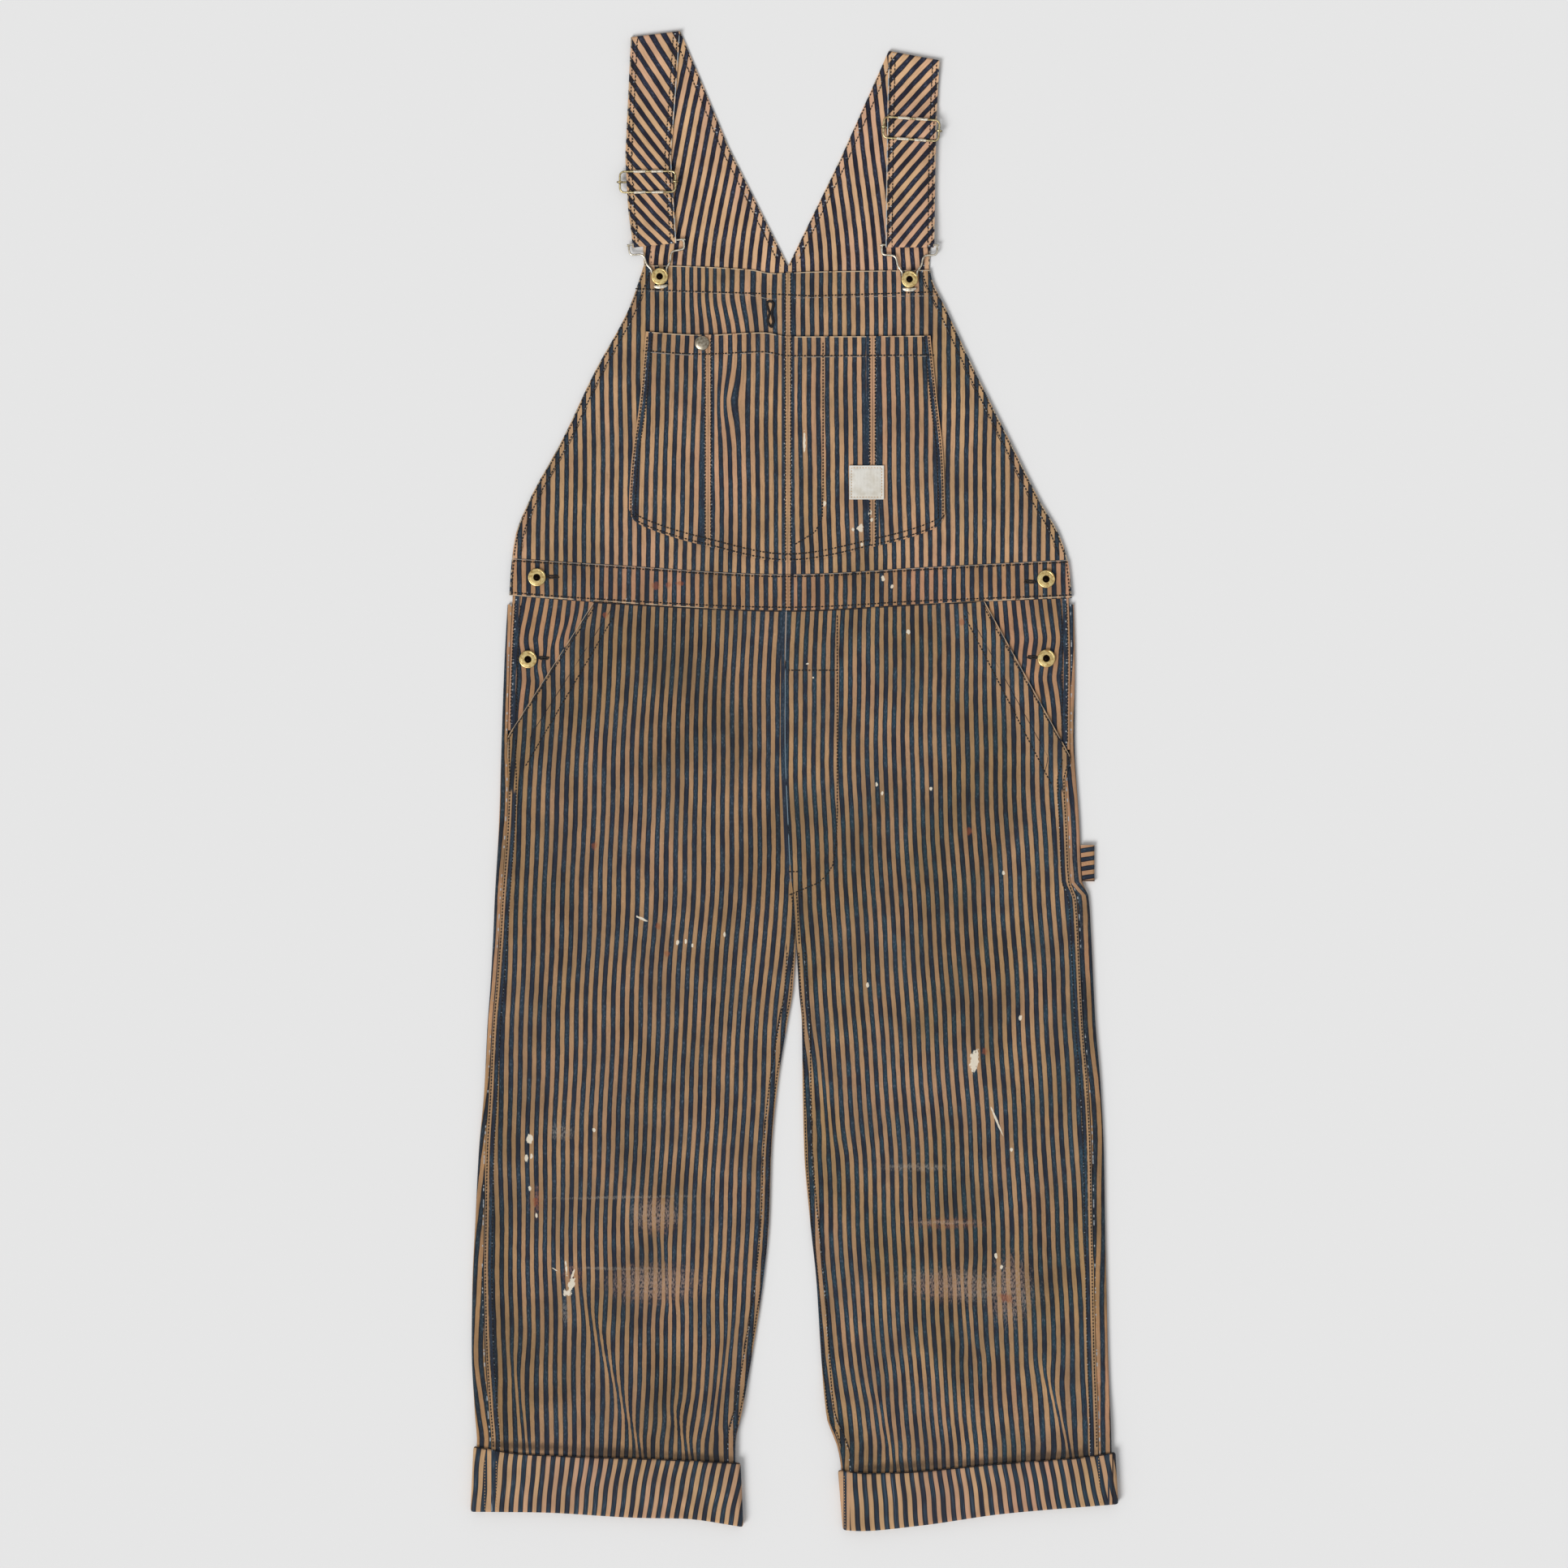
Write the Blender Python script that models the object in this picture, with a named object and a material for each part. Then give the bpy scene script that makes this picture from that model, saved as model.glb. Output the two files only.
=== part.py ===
"""Bib overall in hickory-striped denim, laid flat on its back with the straps fastened.

The floor is z = 0, +Y runs from the hems to the shoulders and +Z points up from the front. "right" and
"left" are the wearer's, so the right side is at -X. Each panel is one wall of cloth, worked out from the
tables of edges below. A panel that lies on another is made from the height of the one under it.
Sizes are in millimetres, and each mesh is scaled to metres as it is made.
"""

import math
from collections import namedtuple

import bpy
import bmesh

METRES = 0.001

# Cloth and clearances
CLOTH = 1.2
BAND = 1.8
GAP = 0.3
LABEL_CLOTH = 1.0
CUFF_WALL = 2.8
BIB_Z = CLOTH + GAP
POCKET_Z = BIB_Z + CLOTH + GAP

# The centre felled seam of the bib and waistband
CENTRE_SEAM = -5.6
BACK_WAIST = 160.3
BACK_INSET = 3.0

# Outline of the two legs from waist to hem, as x at each y
Leg = namedtuple("Leg", "y right_out right_in left_in left_out")
LEGS = [
    Leg(172, -260.5, -6.2, -5.9, 254.5),
    Leg(110, -264.0, -7.4, -7.1, 256.0),
    Leg(40, -266.5, -7.8, -7.5, 255.5),
    Leg(-40, -269.0, -5.0, -4.7, 260.0),
    Leg(-92, -272.0, -2.4, -2.1, 262.5),
    Leg(-106, -272.8, -0.6, -0.3, 268.3),
    Leg(-140, -274.2, 1.3, 1.6, 270.6),
    Leg(-190, -277.0, -1.2, 4.2, 273.0),
    Leg(-221, -279.4, -6.3, 7.0, 274.6),
    Leg(-280, -282.3, -15.5, 7.8, 279.4),
    Leg(-340, -287.5, -20.9, 9.3, 282.3),
    Leg(-400, -290.5, -22.9, 14.4, 283.3),
    Leg(-458, -293.2, -28.5, 20.4, 284.6),
    Leg(-517, -293.9, -37.4, 24.1, 286.0),
    Leg(-576, -291.0, -47.7, 29.2, 288.2),
    Leg(-602, -289.0, -53.6, 40.2, 289.0),
    Leg(-622, -289.1, -53.6, 43.8, 289.3),
    Leg(-690, -291.2, -50.9, 49.2, 291.6),
]

# Height of the folded outer edge over the floor, and how far the leg is lifted to enter its cuff
Edge = namedtuple("Edge", "y rise lift")
EDGES = [
    Edge(172, 2.9, 0.0),
    Edge(40, 3.6, 0.0),
    Edge(-100, 4.4, 0.0),
    Edge(-500, 4.4, 0.0),
    Edge(-548, 4.0, 0.3),
    Edge(-598, 2.7, 3.1),
    Edge(-690, 2.7, 3.1),
]
PILLOW = 32.0
FRONT_LEAD = 14.0

# Distance of the felled outseam from the outline
Outseam = namedtuple("Outseam", "y right left")
OUTSEAMS = [
    Outseam(172, 4.0, 4.0),
    Outseam(22, 5.5, 4.0),
    Outseam(-4, 7.0, 10.4),
    Outseam(-250, 4.0, 11.0),
    Outseam(-400, 8.0, 11.0),
    Outseam(-576, 13.0, 11.5),
    Outseam(-690, 13.0, 12.0),
]

# Bottom edge of the waistband, its top edge, and the side edges of waistband and bib
Seam = namedtuple("Seam", "x y")
WAIST_SEAM = [Seam(-262, 168.8), Seam(-176, 162.4), Seam(-5, 155.0), Seam(120, 161.0), Seam(256, 166.4)]
BIB_SEAM = [Seam(-262, 202.8), Seam(-176, 197.2), Seam(-5, 188.0), Seam(120, 194.4), Seam(256, 201.5)]
BIB_TOP = [Seam(-140, 469.6), Seam(-102, 468.8), Seam(-40, 465.5), Seam(-19, 462.1), Seam(16, 463.6)]
BIB_TOP.append(Seam(126, 465.2))

Side = namedtuple("Side", "y right left")
BIB_SIDES = [
    Side(150, -260.6, 254.6),
    Side(194, -257.9, 250.5),
    Side(223, -253.9, 241.6),
    Side(253, -242.3, 224.6),
    Side(312, -210.5, 195.0),
    Side(371, -182.4, 165.4),
    Side(430, -150.6, 138.0),
    Side(458, -140.6, 125.2),
    Side(472, -136.2, 123.0),
]

# The slanted pocket mouths, from the waistband down to the outseam
Mouth = namedtuple("Mouth", "top_x top_y end_x end_y")
MOUTHS = {"right": Mouth(-183.2, 162.0, -261.4, 39.6), "left": Mouth(173.5, 163.0, 251.6, 22.0)}
MOUTH_LIFT = 1.8
MOUTH_FLAT = 10.0
MOUTH_FADE = 26.0
UNDERLAP = 7.0

# The bib pocket
POCKET_SEAMS = (-78.5, CENTRE_SEAM, 71.4)
POCKET_TOP = [Seam(-150, 410.0), Seam(-83, 405.9), Seam(-28, 408.1), Seam(-5, 404.4), Seam(140, 405.2)]
POCKET_BOTTOM = [
    Seam(-151, 249.0),
    Seam(-147, 238.0),
    Seam(-135, 230.5),
    Seam(-83, 214.2),
    Seam(-6, 199.1),
    Seam(75, 213.5),
    Seam(125, 228.3),
    Seam(134, 235.0),
    Seam(138, 244.5),
]
POCKET_SIDES = [
    Side(410, -135.1, 123.6),
    Side(344, -141.0, 130.6),
    Side(289, -148.4, 136.2),
    Side(250, -150.6, 137.3),
    Side(200, -149.0, 136.0),
]

# The largest folds of each front leg: a ridge from one point to another
Fold = namedtuple("Fold", "x0 y0 x1 y1 width height")
FOLDS = {
    "right": [
        Fold(-120, 100, -104, -60, 22, 1.2),
        Fold(-214, 0, -236, -205, 20, 1.6),
        Fold(-64, -60, -104, -300, 22, 1.8),
        Fold(-150, -150, -205, -360, 20, 1.6),
        Fold(-178, -430, -120, -578, 15, 2.6),
        Fold(-236, -480, -214, -580, 13, 2.2),
        Fold(-92, -500, -80, -580, 12, 2.0),
    ],
    "left": [
        Fold(95, 60, 110, -120, 20, 1.4),
        Fold(150, -20, 170, -260, 22, 2.0),
        Fold(216, -40, 226, -250, 18, 1.8),
        Fold(44, -190, 56, -400, 18, 1.9),
        Fold(124, -430, 152, -580, 16, 2.2),
        Fold(224, -470, 250, -580, 13, 2.6),
        Fold(64, -500, 82, -580, 12, 2.0),
    ],
}
CUFF_CLEAR_Y = -594.0
FOLD_FADE = 26.0

# Cuffs: outline of the turned-up band of each leg
Cuff = namedtuple("Cuff", "out_top out_bottom in_top in_bottom top bottom")
CUFFS = {
    "right": Cuff(
        -292.2, -294.9, -48.8, -46.2,
        [Seam(-295, -606.2), Seam(-242, -613.8), Seam(-121, -618.3), Seam(-46, -622.0)],
        [Seam(-295, -666.0), Seam(-234, -666.6), Seam(-140, -671.6), Seam(-102, -672.3), Seam(-46, -680.0)],
    ),
    "left": Cuff(
        292.7, 295.4, 39.8, 44.2,
        [Seam(38, -628.2), Seam(71, -630.9), Seam(200, -621.2), Seam(253, -617.5), Seam(296, -611.6)],
        [Seam(38, -682.0), Seam(60, -683.6), Seam(112, -679.0), Seam(191, -667.9), Seam(296, -659.0)],
    ),
}
CUFF_MIDDLE_Y = -650.0
CUFF_ROLL = 0.9
HEM_INSET = 1.0
NEAREST_ROWS = 4.0

# High back and strap, cut in one piece. down is the way below the shoulder fold
Span = namedtuple("Span", "down out_x out_y in_x in_y")
BACKS = {
    "right": [
        Span(0, -148.7, 677.5, -104.0, 683.0),
        Span(211, -136.8, 468.5, CENTRE_SEAM - 0.2, 469.0),
    ],
    "left": [
        Span(0, 132.5, 656.4, 86.2, 664.9),
        Span(193, 123.2, 466.5, CENTRE_SEAM + 0.2, 469.0),
    ],
}
STRAPS = {
    "right": [
        Span(0, -148.7, 677.5, -104.0, 683.0),
        Span(60, -151.5, 619.0, -108.2, 622.0),
        Span(112, -153.9, 568.3, -112.3, 568.7),
        Span(160, -151.2, 519.0, -109.4, 520.6),
        Span(186, -147.6, 492.6, -107.8, 496.8),
        Span(200, -146.5, 478.6, -107.0, 482.8),
    ],
    "left": [
        Span(0, 132.5, 656.4, 86.2, 664.9),
        Span(45, 130.2, 612.3, 85.0, 615.5),
        Span(90, 128.8, 567.8, 84.3, 570.9),
        Span(164, 127.8, 496.8, 83.4, 496.8),
        Span(184, 127.6, 476.8, 83.2, 476.8),
    ],
}
SHOULDER_RADIUS = 1.5
SHOULDER_EASE = 24.0
ARC_STEPS = 4

# Wire hardware
WIRE = 0.9
WIRE_SIDES = 6
STRAP_LOW = GAP + 1.5 * CLOTH
STRAP_DOUBLE = STRAP_LOW + CLOTH + GAP
BAR_Z = 2 * CLOTH + 2 * GAP + WIRE
STRAP_OVER_BAR = BAR_Z + WIRE + GAP + CLOTH / 2
STRAP_UNDER_FRAME = STRAP_OVER_BAR - 1.5
FRAME_Z = STRAP_UNDER_FRAME + CLOTH / 2 + GAP + WIRE

Slider = namedtuple("Slider", "x y tilt")
SLIDERS = {"right": Slider(-133.4, 545.1, 0.5), "left": Slider(106.7, 593.2, -4.0)}
FRAME_WIDTH = 50.6
FRAME_HEIGHT = 19.0
FRAME_CORNER = 4.0
CURL_RADIUS = 2 * WIRE + GAP

Hook = namedtuple("Hook", "x y tilt")
HOOKS = {"right": Hook(-122.5, 459.0, 6.0), "left": Hook(105.1, 456.4, 0.0)}
HookPoint = namedtuple("HookPoint", "x y")
HOOK_BAR_Y = 31.5
HOOK_HALF = [
    HookPoint(22.6, HOOK_BAR_Y),
    HookPoint(24.6, 30.6),
    HookPoint(25.2, 28.4),
    HookPoint(24.8, 24.2),
    HookPoint(22.6, 22.4),
    HookPoint(15.6, 21.8),
    HookPoint(12.4, 19.4),
    HookPoint(10.6, 12.4),
    HookPoint(7.0, 6.8),
    HookPoint(6.4, 1.0),
    HookPoint(4.6, -4.4),
]
HOOK_LOW = -6.4
CLIP_HALF_WIDTH = 6.4
CLIP_TOP = HOOK_LOW - WIRE - GAP
CLIP_BOTTOM = -11.0
CLIP_SHOULDER = 0.9
CLIP_PLATE = 0.8

# Buttons and snap
Button = namedtuple("Button", "name x y radius shank")
BIB_SHANK = 2 * WIRE + GAP
WAIST_SHANK = 0.6
WAIST_BUTTONS = [
    Button("waist_button_upper_right", -234.4, 184.9, 8.1, WAIST_SHANK),
    Button("waist_button_lower_right", -242.5, 110.2, 8.1, WAIST_SHANK),
    Button("waist_button_upper_left", 229.5, 183.4, 8.1, WAIST_SHANK),
    Button("waist_button_lower_left", 229.8, 111.1, 8.1, WAIST_SHANK),
]
BIB_BUTTON_RADIUS = 7.6
SHANK_RADIUS = 2.2
BUTTON_SIDES = 16
METAL = 1.0
SNAP = (-84.0, 398.3)
SNAP_RADIUS = 6.7

# Label on the pocket and hammer loop on the left outseam
LABEL = (50.2, 255.9, 31.6, 30.8)
LOOP_TOP = -59.0
LOOP_BOTTOM = -92.0
LOOP_REACH = 11.2
LOOP_HEIGHT = 4.4


def along(table, key, value, column):
    """Column of a table, read between the rows on either side of a key's value."""
    rows = sorted(table, key=lambda row: getattr(row, key))
    if value <= getattr(rows[0], key):
        return getattr(rows[0], column)
    for low, high in zip(rows, rows[1:]):
        start, end = getattr(low, key), getattr(high, key)
        if value <= end:
            part = (value - start) / (end - start)
            return getattr(low, column) * (1 - part) + getattr(high, column) * part
    return getattr(rows[-1], column)


def eased(value):
    """Smooth step from 0 to 1."""
    value = min(max(value, 0.0), 1.0)
    return value * value * (3 - 2 * value)


def segment_distance(x, y, x0, y0, x1, y1):
    """Distance from a point to a line's segment."""
    dx, dy = x1 - x0, y1 - y0
    part = ((x - x0) * dx + (y - y0) * dy) / (dx * dx + dy * dy)
    part = min(max(part, 0.0), 1.0)
    return math.hypot(x - x0 - part * dx, y - y0 - part * dy)


def outline_x(side, y):
    """x of the outline at the outer side of a leg."""
    return along(LEGS, "y", y, side + "_out")


def outward(side):
    """Direction of a side along X."""
    return -1.0 if side == "right" else 1.0


def seam_x(side, y):
    """x of the outseam."""
    return outline_x(side, y) - outward(side) * along(OUTSEAMS, "y", y, side)


def edge_height(y):
    """Height of the leg's folded outer edge."""
    return along(EDGES, "y", y, "rise")


def front_height(side, x, y):
    """Height of the underside of the front of the garment."""
    base = along(EDGES, "y", y - FRONT_LEAD, "lift") + CLOTH + GAP
    inside = abs(outline_x(side, y) - x) - along(OUTSEAMS, "y", y, side)
    pillow = eased(1 - inside / PILLOW)
    base += (edge_height(y) - 2 * CLOTH - GAP) * pillow
    folds = 0.0
    for fold in FOLDS[side]:
        away = segment_distance(x, y, fold.x0, fold.y0, fold.x1, fold.y1)
        folds += fold.height * math.exp(-((away / fold.width) ** 2))
    return base + folds * (1 - pillow) * eased((y - CUFF_CLEAR_Y) / FOLD_FADE)


def leg_height(side, x, y):
    """Height of the front leg's underside, lifted along the pocket mouth."""
    mouth = MOUTHS[side]
    away = segment_distance(x, y, mouth.top_x, mouth.top_y, mouth.end_x, mouth.end_y)
    return front_height(side, x, y) + MOUTH_LIFT * eased(1 - (away - MOUTH_FLAT) / MOUTH_FADE)


def level(z):
    """Height function of a panel that lies flat at z."""
    return lambda x, y: z


def finish(name, colour, roughness, metallic=0.0):
    """Principled material, made once for each name."""
    found = bpy.data.materials.get(name)
    if found:
        return found
    material = bpy.data.materials.new(name)
    material.use_nodes = True
    shader = material.node_tree.nodes["Principled BSDF"]
    shader.inputs["Base Color"].default_value = (*colour, 1.0)
    shader.inputs["Roughness"].default_value = roughness
    shader.inputs["Metallic"].default_value = metallic
    material.diffuse_color = (*colour, 1.0)
    return material


def denim(name):
    """Striped denim in its mean colour."""
    return finish(name + "_denim", (0.160, 0.125, 0.095), 0.9)


def add_object(name, points, faces, material, smooth=False):
    """Object of one closed mesh with its faces turned out."""
    mesh = bpy.data.meshes.new(name)
    mesh.from_pydata([[value * METRES for value in point] for point in points], [], faces)
    shape = bmesh.new()
    shape.from_mesh(mesh)
    bmesh.ops.recalc_face_normals(shape, faces=shape.faces)
    shape.to_mesh(mesh)
    shape.free()
    if smooth:
        mesh.shade_smooth()
        mesh.set_sharp_from_angle(angle=math.radians(50))
    mesh.materials.append(material)
    part = bpy.data.objects.new(name, mesh)
    bpy.context.scene.collection.objects.link(part)
    return part


def add_wall(name, outer, inner, material, wrap=False):
    """Wall between two grids of points; with wrap, its columns close into a ring."""
    rows, columns = len(outer), len(outer[0])
    spans = columns if wrap else columns - 1

    def corner(side, row, column):
        return (side * rows + row) * columns + column % columns

    faces = []
    for row in range(rows - 1):
        for column in range(spans):
            for side in (0, 1):
                quad = [
                    corner(side, row, column),
                    corner(side, row, column + 1),
                    corner(side, row + 1, column + 1),
                    corner(side, row + 1, column),
                ]
                faces.append(quad if side == 0 else quad[::-1])
    for row in (0, rows - 1):
        for column in range(spans):
            faces.append([
                corner(0, row, column), corner(1, row, column),
                corner(1, row, column + 1), corner(0, row, column + 1),
            ])
    if not wrap:
        for column in (0, columns - 1):
            for row in range(rows - 1):
                faces.append([
                    corner(0, row, column), corner(0, row + 1, column),
                    corner(1, row + 1, column), corner(1, row, column),
                ])
    points = [point for grid in (outer, inner) for line in grid for point in line]
    return add_object(name, points, faces, material)


def shares(count):
    """Even fractions from 0 to 1."""
    return [step / count for step in range(count + 1)]


def add_panel(name, edges, across, upward, height, thickness, material):
    """Panel between two side edges x(y) and two end edges y(x), laid on a height.

    across and upward are the fractions of its columns and rows.
    """
    side_0, side_1, end_0, end_1 = edges
    lower, upper = [], []
    for v in upward:
        low_row, high_row = [], []
        for u in across:
            x = 0.5 * (side_0(0.0) + side_1(0.0))
            for _ in range(12):
                y = end_0(x) * (1 - v) + end_1(x) * v
                x = side_0(y) * (1 - u) + side_1(y) * u
            z = height(x, y)
            low_row.append((x, y, z))
            high_row.append((x, y, z + thickness))
        lower.append(low_row)
        upper.append(high_row)
    return add_wall(name, upper, lower, material)


def add_turned(name, profile, centre, segments, material):
    """Turned solid from a profile of (radius, height) that starts and ends on the axis."""
    x, y, z = centre
    points = [(x, y, z + profile[0][1])]
    for radius, rise in profile[1:-1]:
        for step in range(segments):
            angle = 2 * math.pi * step / segments
            points.append((x + radius * math.cos(angle), y + radius * math.sin(angle), z + rise))
    points.append((x, y, z + profile[-1][1]))
    last = len(points) - 1
    faces = []
    for step in range(segments):
        after = (step + 1) % segments
        faces.append([0, 1 + after, 1 + step])
        for ring in range(len(profile) - 3):
            start = 1 + ring * segments
            faces.append([start + step, start + after, start + segments + after, start + segments + step])
        faces.append([last - segments + step, last - segments + after, last])
    return add_object(name, points, faces, material, smooth=True)


def add_wire(name, path, up, material, closed=False):
    """Round wire along a path that lies in the plane square to up."""
    count = len(path)
    rings = []
    for step, point in enumerate(path):
        before = path[(step - 1) % count] if closed or step else point
        after = path[(step + 1) % count] if closed or step < count - 1 else point
        first = unit([b - a for a, b in zip(before, point)]) if before != point else None
        second = unit([b - a for a, b in zip(point, after)]) if after != point else None
        first, second = first or second, second or first
        tangent = unit([a + b for a, b in zip(first, second)])
        half_turn = math.sqrt(max(0.25, 0.5 * (1 + sum(a * b for a, b in zip(first, second)))))
        side = cross(tangent, up)
        ring = []
        for turn in range(WIRE_SIDES):
            angle = 2 * math.pi * (turn + 0.5) / WIRE_SIDES
            reach = WIRE * math.cos(angle) / half_turn
            rise = WIRE * math.sin(angle)
            ring.append(tuple(p + reach * s + rise * u for p, s, u in zip(point, side, up)))
        rings.append(ring)
    points = [point for ring in rings for point in ring]
    faces = []
    for step in range(count if closed else count - 1):
        start, end = step * WIRE_SIDES, (step + 1) % count * WIRE_SIDES
        for turn in range(WIRE_SIDES):
            after = (turn + 1) % WIRE_SIDES
            faces.append([start + turn, start + after, end + after, end + turn])
    if not closed:
        faces.append(list(range(WIRE_SIDES)))
        faces.append(list(range((count - 1) * WIRE_SIDES, count * WIRE_SIDES)))
    return add_object(name, points, faces, material, smooth=True)


def unit(vector):
    """Vector of length 1."""
    size = math.sqrt(sum(value * value for value in vector))
    return tuple(value / size for value in vector)


def cross(a, b):
    """Cross product."""
    return (a[1] * b[2] - a[2] * b[1], a[2] * b[0] - a[0] * b[2], a[0] * b[1] - a[1] * b[0])


def turned_about(x, y, place):
    """Local point turned by a place's tilt and moved there."""
    angle = math.radians(place.tilt)
    return (
        place.x + x * math.cos(angle) - y * math.sin(angle),
        place.y + x * math.sin(angle) + y * math.cos(angle),
    )


def clear_scene():
    """Start from an empty scene."""
    for part in list(bpy.data.objects):
        bpy.data.objects.remove(part, do_unlink=True)


def add_front_leg(side):
    """Front of one leg, from the waistband into its cuff."""
    mouth = MOUTHS[side]

    def outer(y):
        if y > mouth.end_y:
            part = (y - mouth.end_y) / (mouth.top_y - mouth.end_y)
            return mouth.end_x + part * (mouth.top_x - mouth.end_x)
        return seam_x(side, y) - outward(side) * GAP

    def inner(y):
        return along(LEGS, "y", y, side + "_in")

    def hem(x):
        return along(CUFFS[side].bottom, "x", x, "y") + HEM_INSET

    def waist(x):
        return along(WAIST_SEAM, "x", x, "y") - GAP

    rows = [0.0]
    for y in leg_stations(side)[1:-1]:
        x = outer(y)
        rows.append((y - hem(x)) / (waist(x) - hem(x)))
    rows.append(1.0)
    columns = [0, 0.04, 0.1, 0.18, 0.26, 0.34, 0.42, 0.5, 0.58, 0.66, 0.74, 0.82, 0.9, 1]
    add_panel(
        "front_leg_" + side, (outer, inner, hem, waist), columns, rows,
        lambda x, y: leg_height(side, x, y), CLOTH, denim("front_leg"),
    )


def leg_stations(side):
    """y of each row of a leg at its outer edge, from hem to waist."""
    hem = along(CUFFS[side].bottom, "x", outline_x(side, CUFF_MIDDLE_Y), "y") + HEM_INSET
    stations = {row.y for row in LEGS + EDGES + OUTSEAMS if hem < row.y < BACK_WAIST}
    stations = sorted({hem, BACK_WAIST, *stations})
    return [y for y, after in zip(stations, stations[1:] + [math.inf]) if after - y > NEAREST_ROWS]


def add_back_leg(side):
    """Back of one leg: flat on the floor, folded over the outer edge to the outseam."""
    turn = outward(side)
    hem_edge = CUFFS[side].bottom
    stations = leg_stations(side)
    hem = stations[0]
    outer, inner = [], []
    for y in stations:
        radius = edge_height(y) / 2
        lift = along(EDGES, "y", y, "lift")
        inseam = along(LEGS, "y", y, side + "_in")
        if y == hem:
            inseam = along(LEGS, "y", along(hem_edge, "x", inseam, "y"), side + "_in")
        centre = outline_x(side, y) - turn * radius
        face, back = [], []
        for part in shares(4):
            x = inseam + (centre - inseam) * part
            low = along(hem_edge, "x", x, "y") + HEM_INSET if y == hem else y
            face.append((x, low, lift))
            back.append((x, low, lift + CLOTH))
        edge_y = face[-1][1]
        for step in range(1, ARC_STEPS + 1):
            angle = -math.pi / 2 + math.pi * step / ARC_STEPS
            for line, reach in ((face, radius), (back, radius - CLOTH)):
                line.append((
                    centre + turn * reach * math.cos(angle),
                    edge_y,
                    lift + radius + reach * math.sin(angle),
                ))
        end = seam_x(side, y)
        face.append((end, edge_y, lift + 2 * radius))
        back.append((end, edge_y, lift + 2 * radius - CLOTH))
        outer.append(face)
        inner.append(back)
    add_wall("back_leg_" + side, outer, inner, denim("back_leg"))


def add_hip_facing(side):
    """Cloth behind the pocket mouth, carrying the lower waist button."""
    mouth = MOUTHS[side]
    turn = outward(side)

    def outer(y):
        return seam_x(side, y) - turn * 2 * GAP

    def inner(y):
        part = (y - mouth.end_y) / (mouth.top_y - mouth.end_y)
        return mouth.end_x + part * (mouth.top_x - mouth.end_x) - turn * UNDERLAP

    def tip(x):
        return mouth.end_y + 6

    def waist(x):
        return along(WAIST_SEAM, "x", x, "y") - GAP

    add_panel(
        "hip_facing_" + side, (outer, inner, tip, waist), [0, 0.15, 0.35, 0.6, 0.8, 1], shares(6),
        lambda x, y: front_height(side, x, y), CLOTH, denim("hip_facing"),
    )


def add_waistband(side):
    """Half of the front waistband, two layers thick."""
    turn = outward(side)
    add_panel(
        "waistband_" + side,
        (
            lambda y: along(BIB_SIDES, "y", y, side),
            lambda y: CENTRE_SEAM + turn * GAP / 2,
            lambda x: along(WAIST_SEAM, "x", x, "y"),
            lambda x: along(BIB_SEAM, "x", x, "y") - GAP,
        ),
        shares(6), shares(2), level(BIB_Z), BAND, denim("waistband"),
    )


def add_bib(side):
    """Half of the bib."""
    turn = outward(side)
    add_panel(
        "bib_" + side,
        (
            lambda y: along(BIB_SIDES, "y", y, side),
            lambda y: CENTRE_SEAM + turn * GAP / 2,
            lambda x: along(BIB_SEAM, "x", x, "y"),
            lambda x: along(BIB_TOP, "x", x, "y"),
        ),
        shares(6), [0, 0.1, 0.21, 0.42, 0.64, 0.86, 0.96, 1], level(BIB_Z), CLOTH, denim("bib"),
    )


def add_bib_pocket():
    """Four panels of the bib pocket, side by side."""
    first, centre, last = POCKET_SEAMS

    def right_edge(y):
        return along(POCKET_SIDES, "y", y, "right")

    def left_edge(y):
        return along(POCKET_SIDES, "y", y, "left")

    panels = [
        ("bib_pocket_outer_right", right_edge, first - GAP / 2, shares(4)),
        ("bib_pocket_inner_right", first + GAP / 2, centre - GAP / 2, shares(3)),
        ("bib_pocket_inner_left", centre + GAP / 2, last - GAP / 2, shares(3)),
        ("bib_pocket_outer_left", last + GAP / 2, left_edge, shares(4)),
    ]
    for name, side_0, side_1, columns in panels:
        edges = [side if callable(side) else (lambda y, x=side: x) for side in (side_0, side_1)]
        edges += [
            lambda x: along(POCKET_BOTTOM, "x", x, "y"),
            lambda x: along(POCKET_TOP, "x", x, "y"),
        ]
        add_panel(
            name, edges, columns, [0, 0.1, 0.25, 0.5, 0.75, 1],
            level(POCKET_Z), CLOTH, denim("bib_pocket"),
        )


def back_spans(side):
    """Both edges of the high back from the waist to the shoulder fold."""
    turn = outward(side)
    seam = CENTRE_SEAM + turn * GAP / 2
    notch = BACKS[side][-1]
    rows = list(BACKS[side])
    for y in (455.0, 400.0, 341.0, 282.0, 238.0, 205.0, BACK_WAIST + GAP):
        out_x = along(BIB_SIDES, "y", y, side) - turn * BACK_INSET
        rows.append(Span(notch.down + notch.in_y - y, out_x, y, seam, y))
    return rows


def span_ends(rows, down):
    """Outer and inner point of a strip at a way below the shoulder fold."""
    values = [along(rows, "down", down, column) for column in ("out_x", "out_y", "in_x", "in_y")]
    return values[:2], values[2:]


def down_at(rows, y):
    """Way below the shoulder fold at which a strip's middle has a given y."""
    middles = sorted((0.5 * (row.out_y + row.in_y), row.down) for row in rows)
    for (low, low_down), (high, high_down) in zip(middles, middles[1:]):
        if low <= y <= high:
            return low_down + (high_down - low_down) * (y - low) / (high - low)
    return middles[0][1]


def strap_middle_x(side):
    """x of the middle of a strap's lower end."""
    end = STRAPS[side][-2]
    return 0.5 * (end.out_x + end.in_x)


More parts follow.
